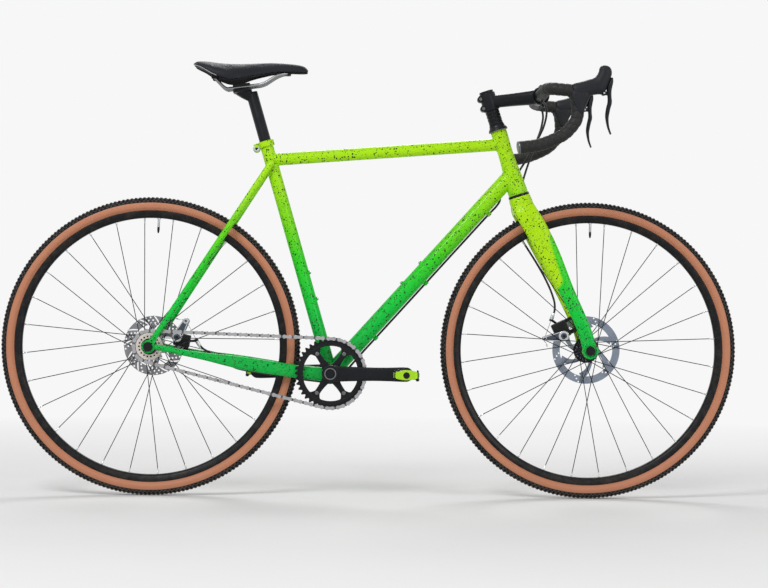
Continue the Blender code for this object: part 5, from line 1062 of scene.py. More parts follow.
TOP_TUBE_WAY = unit(TOP_TUBE_FRONT - TOP_TUBE_REAR)
show("head_tube_skin", head_tube(), "paint", "frame", "head_tube")
show(
    "top_tube_skin",
    [
        tube(straight(TOP_TUBE_REAR, TOP_TUBE_FRONT), TOP_TUBE_RADIUS, 48),
        joined(TOP_TUBE_REAR, TOP_TUBE_WAY, TOP_TUBE_RADIUS, HEAD_BOTTOM, STEER_UP, 0.0183),
        joined(TOP_TUBE_FRONT, -TOP_TUBE_WAY, TOP_TUBE_RADIUS, BB, SEAT_UP, SEAT_TUBE_RADIUS),
    ],
    "paint", "frame", "top_tube",
)
BOSS_BOTTOM = [BB - at * DOWN_DIR - DOWN_TUBE_RADIUS * DOWN_UNDER for at in (0.268, 0.332)]
BOSS_SEAT = [BB + at * SEAT_UP + SEAT_TUBE_RADIUS * SEAT_FORE for at in (0.176, 0.24)]


def boss(at, out):
    """A threaded boss: a low turned ring on the tube's face."""
    return turned(
        [(0.0046, -0.002), (0.0045, 0.0016), (0.0038, 0.0022), (0.0026, 0.0022), (0.0026, 0.001)], at, out, 24
    )


def guide(at):
    """A cable guide: a short open sleeve along the tube, with its edges turned in."""
    return washer(0.0029, 0.0048, -0.005, 0.005, 0.0006, under_down_tube(at), DOWN_DIR, 24)


show(
    "down_tube_skin",
    [
        tube(straight(BB, DOWN_TUBE_TOP), DOWN_TUBE_RADIUS, 56),
        joined(BB, -DOWN_DIR, DOWN_TUBE_RADIUS, HEAD_BOTTOM, STEER_UP, 0.0207),
        joined(DOWN_TUBE_TOP, DOWN_DIR, DOWN_TUBE_RADIUS, BB, Y, SHELL_RADIUS),
        *[boss(at, -DOWN_UNDER) for at in BOSS_BOTTOM],
        *[guide(at) for at in GUIDE_PLACES],
    ],
    "paint", "frame", "down_tube",
)
show(
    "seat_tube_skin",
    [
        tube(straight(BB, SEAT_TUBE_TOP), SEAT_TUBE_RADIUS, 48),
        joined(SEAT_TUBE_TOP, -SEAT_UP, SEAT_TUBE_RADIUS, BB, Y, SHELL_RADIUS),
        *[boss(at, SEAT_FORE) for at in BOSS_SEAT],
    ],
    "paint", "frame", "seat_tube",
)
show(
    "bottle_bolts",
    [bolt(at - 0.0019 * DOWN_UNDER, -DOWN_UNDER, 0.0038, 0.0024) for at in BOSS_BOTTOM]
    + [bolt(at + 0.0019 * SEAT_FORE, SEAT_FORE, 0.0038, 0.0024) for at in BOSS_SEAT],
    "steel", "frame",
)
show(
    "bottom_bracket_shell_skin",
    turned([(0.0197, -0.034), (0.0205, -0.0332), (0.0205, 0.0332), (0.0197, 0.034)], BB, Y, 64),
    "green", "frame", "bottom_bracket_shell",
)


def cup(left):
    """A bearing cup: a turned ring whose rim is notched by |cos 8t| for the spanner."""
    rows = [(0, 0.0343), (0.0192, 0.0343), (0.0205, 0.0362), (0.0205, 0.0428), (0.0192, 0.0443), (0, 0.0443)]
    profile = softened(rows, 0.0005, False)
    t = turns(128)
    notch = 1 - 0.045 * (np.abs(np.cos(8 * t)) > 0.8)
    radius = profile[:, :1] * np.where(profile[:, 1:] > 0.037, notch[None], 1.0)
    points = BB + radius[..., None] * (np.cos(t)[None, :, None] * X + np.sin(t)[None, :, None] * Z)
    return grid(poles(points + left * profile[:, 1][:, None, None] * Y))


show("bearing_cup_left_turned", cup(1), "alloy", "frame", "bearing_cup_left")
show("bearing_cup_right_turned", cup(-1), "alloy", "frame", "bearing_cup_right")


def chainstay(left):
    """A chainstay: ovals whose height, width and place all change smoothly from dropout to shell."""
    share = np.linspace(0, 1, 61)
    centres = eased(chainstay_line(share, left), 12)
    tall = eased(read(CHAINSTAY_HALF_HEIGHT, share), 12)
    wide = eased(read(CHAINSTAY_HALF_WIDTH, share), 12)
    return loft(centres, Y, Z, wide, tall, 2.3, 36)


STAY_TOP = BB + 0.509 * SEAT_UP
STAY_DIR = unit(STAY_TOP - REAR_AXLE)


def seatstay(left):
    """A seatstay: a straight tube that widens upwards and ends in a dome, r cos a at r sin a beyond."""
    low = REAR_AXLE + 0.0262 * STAY_DIR + left * 0.0748 * Y
    high = place(STAY_TOP[0], left * 0.0195, STAY_TOP[2])
    share = np.linspace(0, 1, 24)
    a = np.linspace(0.2, 1.5, 6)
    dome = high + (0.008 * np.sin(a))[:, None] * unit(high - low)
    path = np.concatenate([straight(low, high), dome])
    return tube(path, np.concatenate([0.0066 + 0.0014 * share, 0.008 * np.cos(a)]), 32)


for side, left in (("left", 1), ("right", -1)):
    show(f"chainstay_{side}_skin", chainstay(left), "green", "frame", f"chainstay_{side}")
    show(f"seatstay_{side}_skin", seatstay(left), "green", "frame", f"seatstay_{side}")
    dressed(f"dropout_{side}", "green", 0.0008)
dressed("seat_collar", "paint", 0.0006)
COLLAR_BOLT = SEAT_TUBE_TOP - place(0.0198, 0, 0.018)
show(
    "collar_lugs",
    [
        rod(COLLAR_BOLT + side * 0.0014 * Y, COLLAR_BOLT + side * 0.0074 * Y, 0.0086, 40, 0.001)
        for side in (-1, 1)
    ],
    "paint", "frame",
)
bolt_rings = [
    washer(0.0032, 0.007, side * 0.0068, side * 0.01, 0.0009, COLLAR_BOLT, Y, 36) for side in (-1, 1)
]
show("collar_bolt_rings", bolt_rings, "steel", "frame")
show("collar_bolt", rod(COLLAR_BOLT - 0.0088 * Y, COLLAR_BOLT + 0.0088 * Y, 0.0034, 20), "spoke", "frame")


# Headset, stem and fork
def rings(rows):
    """Turned rings along the steering axis: each row is a softened rectangle (from, to, radius)."""
    return [disc(radius, low, high, 0.0008, CROWN, STEER_UP, 64) for low, high, radius in rows]


show(
    "headset_lower_ring", rings([(0.0003, 0.0057, 0.0252)]), "alloy", body_of("headset_lower"),
    "headset_lower",
)
COVER_ROWS = [
    (0.0218, 0.1623), (0.0225, 0.1632), (0.0225, 0.1655), (0.0215, 0.168), (0.0192, 0.1715), (0.0177, 0.1755),
    (0.0175, 0.1783),
]
cover = turned(spline(COVER_ROWS, 5), CROWN, STEER_UP, 64)
show("headset_cover_cap", cover, "satin", body_of("headset_cover"), "headset_cover")
# A lighter grey ring at the cover's lower edge: partly its metal rim, partly a painted highlight along that
# edge.
show("headset_rim_painted_highlight", rings([(0.1623, 0.164, 0.0229)]), "plug", body_of("headset_cover"))
show(
    "stem_spacer_rings",
    rings([(0.1786 + i * 0.00845, 0.1786 + (i + 1) * 0.00845 - 0.0006, 0.0165) for i in range(4)]),
    "alloy", "steering", "stem_spacers",
)
show("top_cap_disc", rings([(0.2549, 0.2602, 0.0165)]), "alloy", "steering", "top_cap")
STEM_HEIGHT, STEM_BOLT_FORE = 0.2336, -0.018
STEM_ROOT = from_crown(0, 0, STEM_HEIGHT)
STEM_BOLTS = [(STEM_HEIGHT + up, side) for up in (-0.0115, 0.0115) for side in (-1, 1)]


def stem():
    """The stem: a turned clamp, an oval extension that flares into the bar clamp, and its rear half."""
    clamp = disc(0.019, 0.2126, 0.2546, 0.0016, CROWN, STEER_UP, 64)
    share = np.linspace(0, 1, 20)
    path = STEM_ROOT + share[:, None] * (BAR_AT - 0.006 * STEM_DIR - STEM_ROOT)
    flare = 0.015 + 0.0035 * share**3
    wide = 0.0158 + 0.0062 * share**3
    back = arc_sleeve(BAR_AT, Y, STEM_DIR, 0.0159, 0.0207, 0.045, 97, 263)
    ears, webs = [], []
    for up, side in STEM_BOLTS:
        inner, outer = (from_crown(STEM_BOLT_FORE, side * at, up) for at in (0.0012, 0.0125))
        ears.append(rod(inner, outer, 0.0076, 32, 0.001))
        webs.append(block(from_crown(-0.0125, side * 0.0068, up), (0.013, 0.0108, 0.0146), STEER_FORE, Y, 7))
    return [clamp, loft(path, Y, STEM_RISE, wide, flare, 2.6, 40), back, *ears, *webs]


show("stem_body", stem(), "satin", "steering", "stem")
FACE_BOLTS = [BAR_AT + up * STEM_RISE + side * Y for up in (-0.0219, 0.0219) for side in (-0.0125, 0.0125)]
show(
    "stem_face",
    [arc_sleeve(BAR_AT, Y, STEM_DIR, 0.0161, 0.0205, 0.045, -80, 80)]
    + [block(at + 0.0042 * STEM_DIR, (0.0085, 0.0105, 0.0085), STEM_DIR, Y, 5) for at in FACE_BOLTS],
    "satin", "steering", "stem_faceplate",
)
show(
    "face_bolts",
    [bolt(at + 0.0078 * STEM_DIR, STEM_DIR, 0.0031, 0.0026) for at in FACE_BOLTS],
    "steel", "steering",
)
show(
    "stem_bolts",
    [
        bolt(from_crown(STEM_BOLT_FORE, side * 0.0118, up), side * Y, 0.0038, 0.0022)
        for up, side in STEM_BOLTS
    ],
    "plug", "steering",
)
show("top_cap_bolt", bolt(from_crown(0, 0, 0.2588), STEER_UP, 0.0048, 0.0016), "steel", "steering")
dressed("steerer", "alloy")

FORK_ROWS = np.array([
    (0.05, -0.001, 0.0245, 0.0095, 0.0285), (0.1, 0.0015, 0.0268, 0.0125, 0.0352),
    (0.2025, 0.0108, 0.0268, 0.0112, 0.039), (0.3755, 0.0221, 0.0252, 0.0104, 0.043),
    (0.617, 0.0352, 0.0178, 0.0094, 0.0485), (0.851, 0.046, 0.016, 0.0074, 0.055),
    (1.0, 0.045, 0.0165, 0.0056, 0.0565),
])


def fork_blade(left):
    """A fork blade: ovals that narrow downwards while the blade leans out and curves forward."""
    rows = spline(FORK_ROWS, 10)
    centres = CROWN + rows[:, 1:2] * STEER_FORE + left * rows[:, 4:] * Y - 0.393 * rows[:, :1] * STEER_UP
    return loft(centres, Y, STEER_FORE, rows[:, 3], rows[:, 2], 2.4, 40)


def fork_crown():
    """The crown: ovals as (drop, depth, width), which spread from the steerer over both blades."""
    rows = np.array([
        (0.0002, 0.025, 0.025), (0.004, 0.0256, 0.0262), (0.01, 0.0262, 0.0285), (0.022, 0.0266, 0.04),
        (0.036, 0.0268, 0.0475),
    ])
    rows = spline(rows, 8)
    rows = np.concatenate([rows, [(0.0372, 0.0258, 0.0465), (0.0376, 0.024, 0.044)]])
    centres = CROWN - rows[:, :1] * STEER_UP + np.interp(rows[:, :1], [0, 0.036], [0, 0.0006]) * STEER_FORE
    return loft(centres, Y, STEER_FORE, rows[:, 2], rows[:, 1], 2.5, 56)


def fork_end(left):
    """A fork end: a turned disc with a deep round recess for the axle."""
    rows = [(0, 0.0503), (0.019, 0.0503), (0.019, 0.0623), (0.0138, 0.0623), (0.0138, 0.0598), (0, 0.0598)]
    return turned(softened(rows, 0.0012, False) * (1, left), FRONT_AXLE, Y, 56)


show(
    "fork_skin",
    [fork_crown(), *[f(left) for f in (fork_blade, fork_end) for left in (1, -1)]],
    "fork", "steering", "fork",
)
dressed("front_axle", "alloy")
dressed("rear_axle", "alloy")


# Bar, tape, hoods and levers
BAR_BEND = np.array([
    (0, 0.06, 0), (0, 0.15, 0), (0.002, 0.18, 0), (0.012, 0.2, -0.001), (0.03, 0.206, -0.003),
    (0.0507, 0.2065, -0.0054), (0.0615, 0.207, -0.016), (0.0667, 0.2075, -0.0347), (0.0669, 0.208, -0.0664),
    (0.0512, 0.21, -0.0916), (0.0286, 0.212, -0.1101), (-0.0166, 0.215, -0.1289), (-0.0642, 0.22, -0.1367),
])


BAR_ACROSS = unit(place(0.1, 0.35, 0.93))
BAR_RADIUS, BAR_CLAMP_RADIUS = 0.0119, 0.0159
HOOD_SIDE = 0.2065


def lever_pivot(left):
    """The middle of a brake lever's pin."""
    return BAR_AT + place(0.1265, left * HOOD_SIDE, -0.011)


def bar_half(left):
    """One half of the bar: the smooth curve through its bend, set to its side."""
    return BAR_AT + spline(BAR_BEND, 12) * (1, left, 1)


middle = np.linspace(-0.059, 0.059, 60)[:, None] * Y + BAR_AT
bar_path = np.concatenate([bar_half(-1)[::-1], middle, bar_half(1)])
distance = np.abs(bar_path[:, 1])
bar_radius = np.interp(distance, [0.0255, 0.045], [BAR_CLAMP_RADIUS, BAR_RADIUS])
show(
    "handlebar_tube",
    tube(bar_path, eased(bar_radius, 3), 40, toward=BAR_ACROSS),
    "satin", "steering", "handlebar",
)


def tape_wraps(s, t):
    """How far each wrap stands out: it rises from its tucked edge over one turn, and leans as it winds."""
    turn = np.mod(s / 0.015 - t / TAU, 1)
    crown = 1 - (2 * turn - 1) ** 4
    return -0.0015 + 0.0009 * crown + 0.0006 * turn


HOOD_ROWS = np.array([
    (0.058, -0.0062, 8, 0.0156, 0.0158), (0.066, -0.006, 10, 0.0184, 0.0176),
    (0.076, -0.0046, 11, 0.0192, 0.018), (0.087, -0.0015, 13, 0.019, 0.0178),
    (0.098, 0.0028, 15, 0.0183, 0.017), (0.108, 0.005, 18, 0.019, 0.0165),
    (0.118, 0.0085, 25, 0.0212, 0.0164), (0.1252, 0.0222, 52, 0.0162, 0.0152),
    (0.13, 0.036, 79, 0.015, 0.0134), (0.1298, 0.0445, 88, 0.0134, 0.012), (0.129, 0.05, 90, 0.0096, 0.0084),
    (0.1286, 0.0529, 90, 0.003, 0.0028),
])
LEVER_ROWS = np.array([
    (0.1455, 0.025, 0.0024, 0.0052), (0.1438, 0.0165, 0.0046, 0.0076), (0.1404, 0.006, 0.006, 0.008),
    (0.1388, -0.005, 0.0058, 0.008), (0.14, -0.018, 0.0046, 0.0078), (0.1405, -0.031, 0.0051, 0.0076),
    (0.1375, -0.044, 0.0049, 0.0074), (0.135, -0.059, 0.0045, 0.007), (0.135, -0.07, 0.0036, 0.0066),
    (0.1378, -0.087, 0.0026, 0.0058), (0.1435, -0.103, 0.002, 0.0046),
])


def hood(left):
    """A hood: rounded ovals whose plane tips from upright to level as they run forward and up to the horn."""
    rows = spline(HOOD_ROWS, 8)
    slope = np.radians(rows[:, 2:3])
    centres = BAR_AT + rows[:, :1] * X + rows[:, 1:2] * Z + left * HOOD_SIDE * Y
    return loft(centres, Y, np.cos(slope) * Z - np.sin(slope) * X, rows[:, 4], rows[:, 3], 2.3, 44)


def hood_skirt(left):
    """The hood's lower part, which hugs the front of the bar's bend: level ovals that thin out downwards."""
    rows = spline(
        [
            (-0.008, 0.074, 0.023, 0.0168), (-0.013, 0.0735, 0.0232, 0.0174), (-0.019, 0.073, 0.023, 0.0176),
            (-0.03, 0.0718, 0.0184, 0.0174), (-0.04, 0.0722, 0.014, 0.017), (-0.048, 0.0735, 0.0104, 0.0166),
            (-0.055, 0.0755, 0.0068, 0.0158), (-0.06, 0.0775, 0.0032, 0.0124),
        ],
        6,
    )
    centres = BAR_AT + rows[:, 1:2] * X + rows[:, :1] * Z + left * 0.2068 * Y
    return loft(centres, Y, X, rows[:, 3], rows[:, 2], 3.4, 56)


def lever(left):
    """A brake lever: thin rounded ovals along a curve that swings in towards the bar and out at its tip."""
    rows = spline(LEVER_ROWS, 10)
    centres = BAR_AT + rows[:, :1] * X + rows[:, 1:2] * Z + left * HOOD_SIDE * Y
    along = unit(np.gradient(centres, axis=0))
    pivot = lever_pivot(left)
    neck = block(pivot + place(0.0065, 0, 0.0006), (0.017, 0.01, 0.009), X, Y, 5)
    barrel = rod(pivot - 0.006 * Y, pivot + 0.006 * Y, 0.005)
    return [loft(centres, Y, np.cross(along, Y), rows[:, 3], rows[:, 2], 2.4, 28), neck, barrel]


for side, left in (("left", 1), ("right", -1)):
    half = bar_half(left)
    wound = tube(even_steps(spline(half[::2], 5), 0.001), 0.0147, 60, toward=BAR_ACROSS, groove=tape_wraps)
    show(f"bar_tape_{side}_wound", wound, "tape", "steering", f"bar_tape_{side}")
    band = half[:1] + np.linspace(0, 0.019, 6)[:, None] * (0, left, 0)
    show(
        f"tape_band_{side}",
        tube(band, [0.0141, 0.0148, 0.0148, 0.0148, 0.0148, 0.0146], 40, toward=Z),
        "plastic", "steering",
    )
    dome = [(0.015, -0.001), (0.0147, 0.0012), (0.0135, 0.0026), (0.0108, 0.0035), (0.007, 0.0029)]
    show(f"bar_plug_{side}", turned(dome, half[-1], unit(half[-1] - half[-2]), 40), "plug", "steering")
    show(f"hood_{side}_skin", [hood(left), hood_skirt(left)], "hood", "steering", f"hood_{side}")
    show(f"lever_{side}_blade", lever(left), "satin", f"lever_{side}", f"lever_{side}")
    pivot = lever_pivot(left)
    show(f"lever_pin_{side}", rod(pivot - 0.0163 * Y, pivot + 0.0163 * Y, 0.0022), "steel", "steering")


# Wheels
SPOKES, CROSS_TURN, VALVE_TURN = 28, 3 * TAU / 14, {"front": math.radians(0.5), "rear": math.radians(2.8)}
FLANGES = {"front": (-0.031, 0.022), "rear": (-0.019, 0.035)}
HUB_HALF = {"front": 0.05, "rear": 0.071}
ROTOR = {"front": (0.08, 0.0395), "rear": (0.07, 0.0555)}
AXLE = {"front": FRONT_AXLE, "rear": REAR_AXLE}
CASING_RADIUS, CASING_HALF_HEIGHT, CASING_HALF_WIDTH = 0.3285, 0.0175, 0.0172
CAP_ANGLE, KNOBS_ROUND = math.radians(69), 220
TYRE_LIMIT, TYRE_SIDE_LIMIT = 0.3479, 0.01745
HUB_HOLE_RADIUS, NIPPLE_RADIUS = 0.0198, 0.2985
# Rows of knobs: their angle over the tread and half of their width in degrees, then how far the row is moved
# round the wheel and half of their length, as shares of the space from knob to knob
KNOB_ROWS = (
    (6.5, 5.4, 0.0, 0.27), (-6.5, 5.4, 0.0, 0.27), (21, 5.4, 0.0, 0.27), (-21, 5.4, 0.0, 0.27),
    (35, 5.4, 0.5, 0.26), (-35, 5.4, 0.5, 0.26), (48, 5.2, 0.5, 0.26), (-48, 5.2, 0.5, 0.26),
    (60.5, 4.6, 0.0, 0.3), (-60.5, 4.6, 0.0, 0.3),
)
# The height and the size of a knob's corners, from its foot to its top
KNOB_LEVELS = ((0.0001, 1.0), (0.0007, 1.0), (0.0022, 0.88), (0.00245, 0.74))
ROTOR_CELLS, ROTOR_THICKNESS = 36, 0.0018


def round_wheel(which, turn, radius, side):
    """Places on a wheel, by the turn clockwise from its top, the radius and the distance to the left."""
    turn, radius, side = np.broadcast_arrays(turn, radius, side)
    return AXLE[which] + np.stack([radius * np.sin(turn), side, radius * np.cos(turn)], -1)


def casing(which):
    """The casing: an oval section (R + h cos a, w sin a), drawn in by a share of -cos a - 0.3 towards its
    beads and carried round the wheel."""
    a = np.radians(np.linspace(-166, 166, 57))
    radius = CASING_RADIUS + CASING_HALF_HEIGHT * np.cos(a)
    side = CASING_HALF_WIDTH * np.sin(a) * (1 - 0.4 * np.clip(-np.cos(a) - 0.3, 0, 1))
    return grid(round_wheel(which, turns(240)[None], radius[:, None], side[:, None]), True)


def tread(which):
    """The tread: a rubber cap over the casing's crown, its sides feathered down, carried round the wheel."""
    a = np.linspace(-CAP_ANGLE, CAP_ANGLE, 35)
    rise = 0.0003 * np.clip((CAP_ANGLE - np.abs(a)) / 0.1, 0, 1) ** 0.5
    a = np.concatenate([a, a[::-1]])
    reach = np.concatenate([rise, np.full(len(rise), -0.0006)])
    radius = CASING_RADIUS + (CASING_HALF_HEIGHT + reach) * np.cos(a)
    side = np.clip((CASING_HALF_WIDTH + reach) * np.sin(a), -TYRE_SIDE_LIMIT, TYRE_SIDE_LIMIT)
    return grid(round_wheel(which, turns(240)[None], radius[:, None], side[:, None]), True)


def knobs(which):
    """Tread knobs: each is a low block that narrows to its top, its corners given by the turn round the
    wheel, the angle over the tread and the height. Four rows along the crown stand level, the next two on
    each side fall in their gaps, and the shoulder row stands level with the crown again."""
    pitch = TAU / KNOBS_ROUND
    parts = []
    for angle, half_angle, offset, half_turn in KNOB_ROWS:
        turn = (np.arange(KNOBS_ROUND) + offset)[:, None] * pitch
        corner_turn = half_turn * pitch * np.array([-1, 1, 1, -1])
        corner_angle = np.radians(half_angle) * np.array([-1, -1, 1, 1])
        levels = []
        for reach, size in KNOB_LEVELS:
            a = math.radians(angle) + corner_angle * size
            radius = np.minimum(CASING_RADIUS + (CASING_HALF_HEIGHT + reach) * np.cos(a), TYRE_LIMIT)
            side = np.clip((CASING_HALF_WIDTH + reach) * np.sin(a), -TYRE_SIDE_LIMIT, TYRE_SIDE_LIMIT)
            levels.append(round_wheel(which, turn + corner_turn * size, radius, side))
        levels = np.stack(levels, 1)
        low, high = levels[:, :1].mean(2, keepdims=True), levels[:, -1:].mean(2, keepdims=True)
        parts.append(repeated(np.concatenate([np.repeat(low, 4, 2), levels, np.repeat(high, 4, 2)], 1)))
    return together(parts)


def rim(which):
    """The rim: a box section with hooked edges and a rounded belly, turned round the axle."""
    profile = [
        (0.3165, -0.0119), (0.3165, -0.0106), (0.3105, -0.0098), (0.3098, -0.006), (0.3098, 0.006),
        (0.3105, 0.0098), (0.3165, 0.0106), (0.3165, 0.0119), (0.311, 0.012), (0.304, 0.0098),
        (0.2996, 0.0055), (0.299, 0), (0.2996, -0.0055), (0.304, -0.0098), (0.311, -0.012),
    ]
    return turned(softened(profile, 0.0012), AXLE[which], Y, 180, loop=True)


def lacing(which):
    """Both ends of every spoke: even round the rim, and at the hub 3/14 of a turn to either side."""
    i = np.arange(SPOKES)
    flange = np.array(FLANGES[which])[i % 2]
    rim_turn = VALVE_TURN[which] + (i + 0.5) * TAU / SPOKES
    leading = (i // 2) % 2 == 0
    lean = np.where(leading, 0.0014, -0.0014)
    hub_turn = rim_turn + np.where(leading, CROSS_TURN, -CROSS_TURN)
    hub = round_wheel(which, hub_turn, HUB_HOLE_RADIUS, flange + lean)
    return hub, round_wheel(which, rim_turn, NIPPLE_RADIUS, 0.09 * flange + lean), lean


def spokes(which):
    """Spokes: thin round bars from hub to rim, and a domed head on each at its flange."""
    hub, outer, lean = lacing(which)
    head = turned([(0.0019, -0.0004), (0.0019, 0.0004), (0.001, 0.001)], np.zeros(3), Z, 8)
    out = -np.sign(lean)[:, None] * Y
    heads = copies(head, hub + 0.0031 * out, X[None], np.cross(out, X))
    return [bars(hub, outer, 0.00098), heads]


def nipples(which):
    """Spoke nipples: small turned sleeves on the rim's inner face, pointing down each spoke."""
    hub, outer, _ = lacing(which)
    along = unit(hub - outer)
    sleeve = turned(
        [(0.002, -0.001), (0.002, 0.0045), (0.0015, 0.0052), (0.0015, 0.0105), (0.001, 0.0109)],
        np.zeros(3), Z, 10,
    )
    side = unit(np.cross(along, X))
    return copies(sleeve, outer, np.cross(side, along), side)


def hub(which):
    """The hub: one outline of radius against width, turned round the axle, with flanges and rotor seat."""
    (right, left), half = FLANGES[which], HUB_HALF[which]
    seat = ROTOR[which][1]
    rows = [(0, -half), (0.0108, -half), (0.0115, 0.0006 - half)]
    if which == "rear":
        rows += [(0.0115, -0.0655), (0.0172, -0.065), (0.0172, -0.0245), (0.013, -0.0235)]
    else:
        rows += [(0.0115, -0.0395), (0.015, -0.0365)]
    for at in (right, left):
        rows += [
            (0.0128, at - 0.0022), (0.021, at - 0.0017), (0.0225, at - 0.001), (0.0225, at + 0.001),
            (0.021, at + 0.0017), (0.0128, at + 0.0022),
        ]
    rows += [(0.015, seat - 0.006), (0.0205, seat - 0.0045), (0.0205, seat - 0.0011), (0.0115, seat - 0.0009)]
    rows += [(0.0115, half - 0.0006), (0.0108, half), (0, half)]
    return turned(rows, AXLE[which], Y, 64)


def rotor(which):
    """The brake rotor: a braking band of 36 leaning cells, where some have three holes or a long slot, and
    six arms that widen as half-width a + b s^2 and sweep back from the centre ring by a turn in proportion to
    s."""
    radius, seat = ROTOR[which]
    at = AXLE[which] + seat * Y
    number = np.arange(ROTOR_CELLS) % 6
    if which == "front":
        inner, phase, lean, hole = 0.0625, math.radians(12), 14.5, 0.0019
        narrow, spread, sweep = 0.0034, 0.0056, -0.66
        holed = number == 0
    else:
        inner, phase, lean, hole = 0.05, math.radians(22), 13.4, 0.0021
        narrow, spread, sweep = 0.0036, 0.003, -0.45
        holed = (number == 1) | (number == 2) | (number == 4)
    rows = np.linspace(inner, radius, 4)
    ring = (ROTOR_THICKNESS, at, phase, lean)
    parts = [drilled(rows, ROTOR_CELLS, hole, *ring, chosen=holed), ring_walls(rows, ROTOR_CELLS, *ring)]
    if which == "rear":
        slotted = number % 3 == 0
        parts.append(drilled(rows[[0, -1]], ROTOR_CELLS, 0.002, *ring, 0.011, slotted, 12))
        holed = holed | slotted
    parts.append(plain_cells(rows, ROTOR_CELLS, *ring, ~holed, 12))
    share = np.linspace(0, 1, 14)
    for turn in turns(6, phase + math.radians(8) - sweep):
        reach = 0.0225 + (inner - 0.0215) * share
        angle = turn + sweep * share
        path = ring_places(at, angle, reach, 0.0)
        across = unit(np.cross(np.gradient(path, axis=0), Y))
        wide = narrow + spread * share**2 + 0.002 * (1 - share) ** 4
        profile = softened([(-1, -0.0008), (1, -0.0008), (1, 0.0008), (-1, 0.0008)], 0.00025)
        across = wide[:, None, None] * across[:, None]
        points = path[:, None] + profile[None, :, :1] * across + profile[None, :, 1:] * Y
        parts.append(grid(poles(points)))
    return [*parts, washer(0.0165, 0.0262, -0.0009, 0.0009, 0.0003, at, Y, 64)]


def carrier(which):
    """The rotor's lock ring: a flat disc with round holes and a raised bore, on the rotor's outer face."""
    at = AXLE[which] + (ROTOR[which][1] + 0.002) * Y
    return [
        *holed_ring([0.0128, 0.0235], 14, 0.0017, 0.0016, at),
        washer(0.0118, 0.015, -0.001, 0.0022, 0.0004, at, Y),
    ]


def rotor_backing():
    """A black ring with a row of holes, between the front rotor and its hub."""
    at = AXLE["front"] + (ROTOR["front"][1] - 0.0022) * Y
    return holed_ring([0.0165, 0.0305], 20, 0.0019, 0.0016, at)


def valve(which):
    """A valve: a turned stem with its nut, and a slim turned cap."""
    turn = VALVE_TURN[which]
    at = round_wheel(which, turn, 0.2995, 0.0)
    inward = -unit(at - AXLE[which])
    stem = turned(
        [(0.0044, -0.001), (0.0044, 0.0022), (0.003, 0.0026), (0.003, 0.0205), (0.0024, 0.0215)],
        at, inward, 24,
    )
    cap = turned(
        spline([(0.0027, 0.0205), (0.0029, 0.0225), (0.0028, 0.0285), (0.0022, 0.0325), (0.0012, 0.0352)], 4),
        at, inward, 24,
    )
    return stem, cap


def arm_edge(reach, ring, eye, count=64):
    """The edge of a bar that runs from a ring to an eye: for each direction u, the farther reach of both
    circles, as the boundary of their common hull, max(ring, eye + u . reach) read along u and turned back
    into points."""
    t = turns(count)
    u = np.stack([np.cos(t), np.sin(t)], 1)
    far = u @ reach + eye > ring
    return np.where(far[:, None], reach + eye * u, ring * u)


ARM_PLATE_SIDE = 0.014


def brake_arm(which):
    """The caliper's forked arm: two bright frames that run as one outline round the hinge and the eye, a thin
    dark panel inside each, turned rings at both ends, and the rod that holds the wire."""
    hinge, reach = HINGES[which], (EYES[which] - HINGES[which])[[0, 2]]
    big, small, wall = (0.0118, 0.007, 0.003) if which == "rear" else (0.0126, 0.005, 0.0026)
    edge, inner = arm_edge(reach, big, small), arm_edge(reach, big - wall, small - wall)
    plates, dark = [], []
    for way in (-1, 1):
        at = hinge + way * ARM_PLATE_SIDE * Y
        plates.append(slab(edge, inner, 0.0024, at, 0.0004))
        dark.append(
            slab(arm_edge(reach, big - 0.6 * wall, small - 0.6 * wall), circle(0.005, 64), 0.0014, at, 0.0002)
        )
        for place_at, wide, bore in (
            (at, big, 0.0072), (EYES[which] + way * ARM_PLATE_SIDE * Y, small, 0.0026)
        ):
            plates.append(washer(bore, wide, way * -0.0008, way * 0.002, 0.0006, place_at, Y))
        dark.append(disc(0.007, way * 0.0004, way * 0.0017, 0.0005, at, Y, 40))
    eye = EYES[which]
    dark.append(rod(eye - 0.0146 * Y, eye + 0.0146 * Y, 0.0027, 20))
    return plates, dark


def wire_tail(which):
    """The spare end of the wire past the eye: a short thin tube with a crimped cap."""
    eye = EYES[which]
    way = unit(eye - STOPS[which])
    lean, reach = {"front": ((0.35, 0, -0.93), 0.019), "rear": ((-0.97, 0, 0.23), 0.024)}[which]
    lean = unit(place(*lean))
    path = spline(
        [eye + 0.003 * way, eye + 0.006 * unit(way + lean), eye + 0.6 * reach * lean, eye + reach * lean], 6
    )
    cap = rod(path[-1] - 0.0045 * lean, path[-1] + 0.0015 * lean, 0.0015, 10, 0.0003)
    return [tube(path, WIRE_RADIUS, 10), cap]


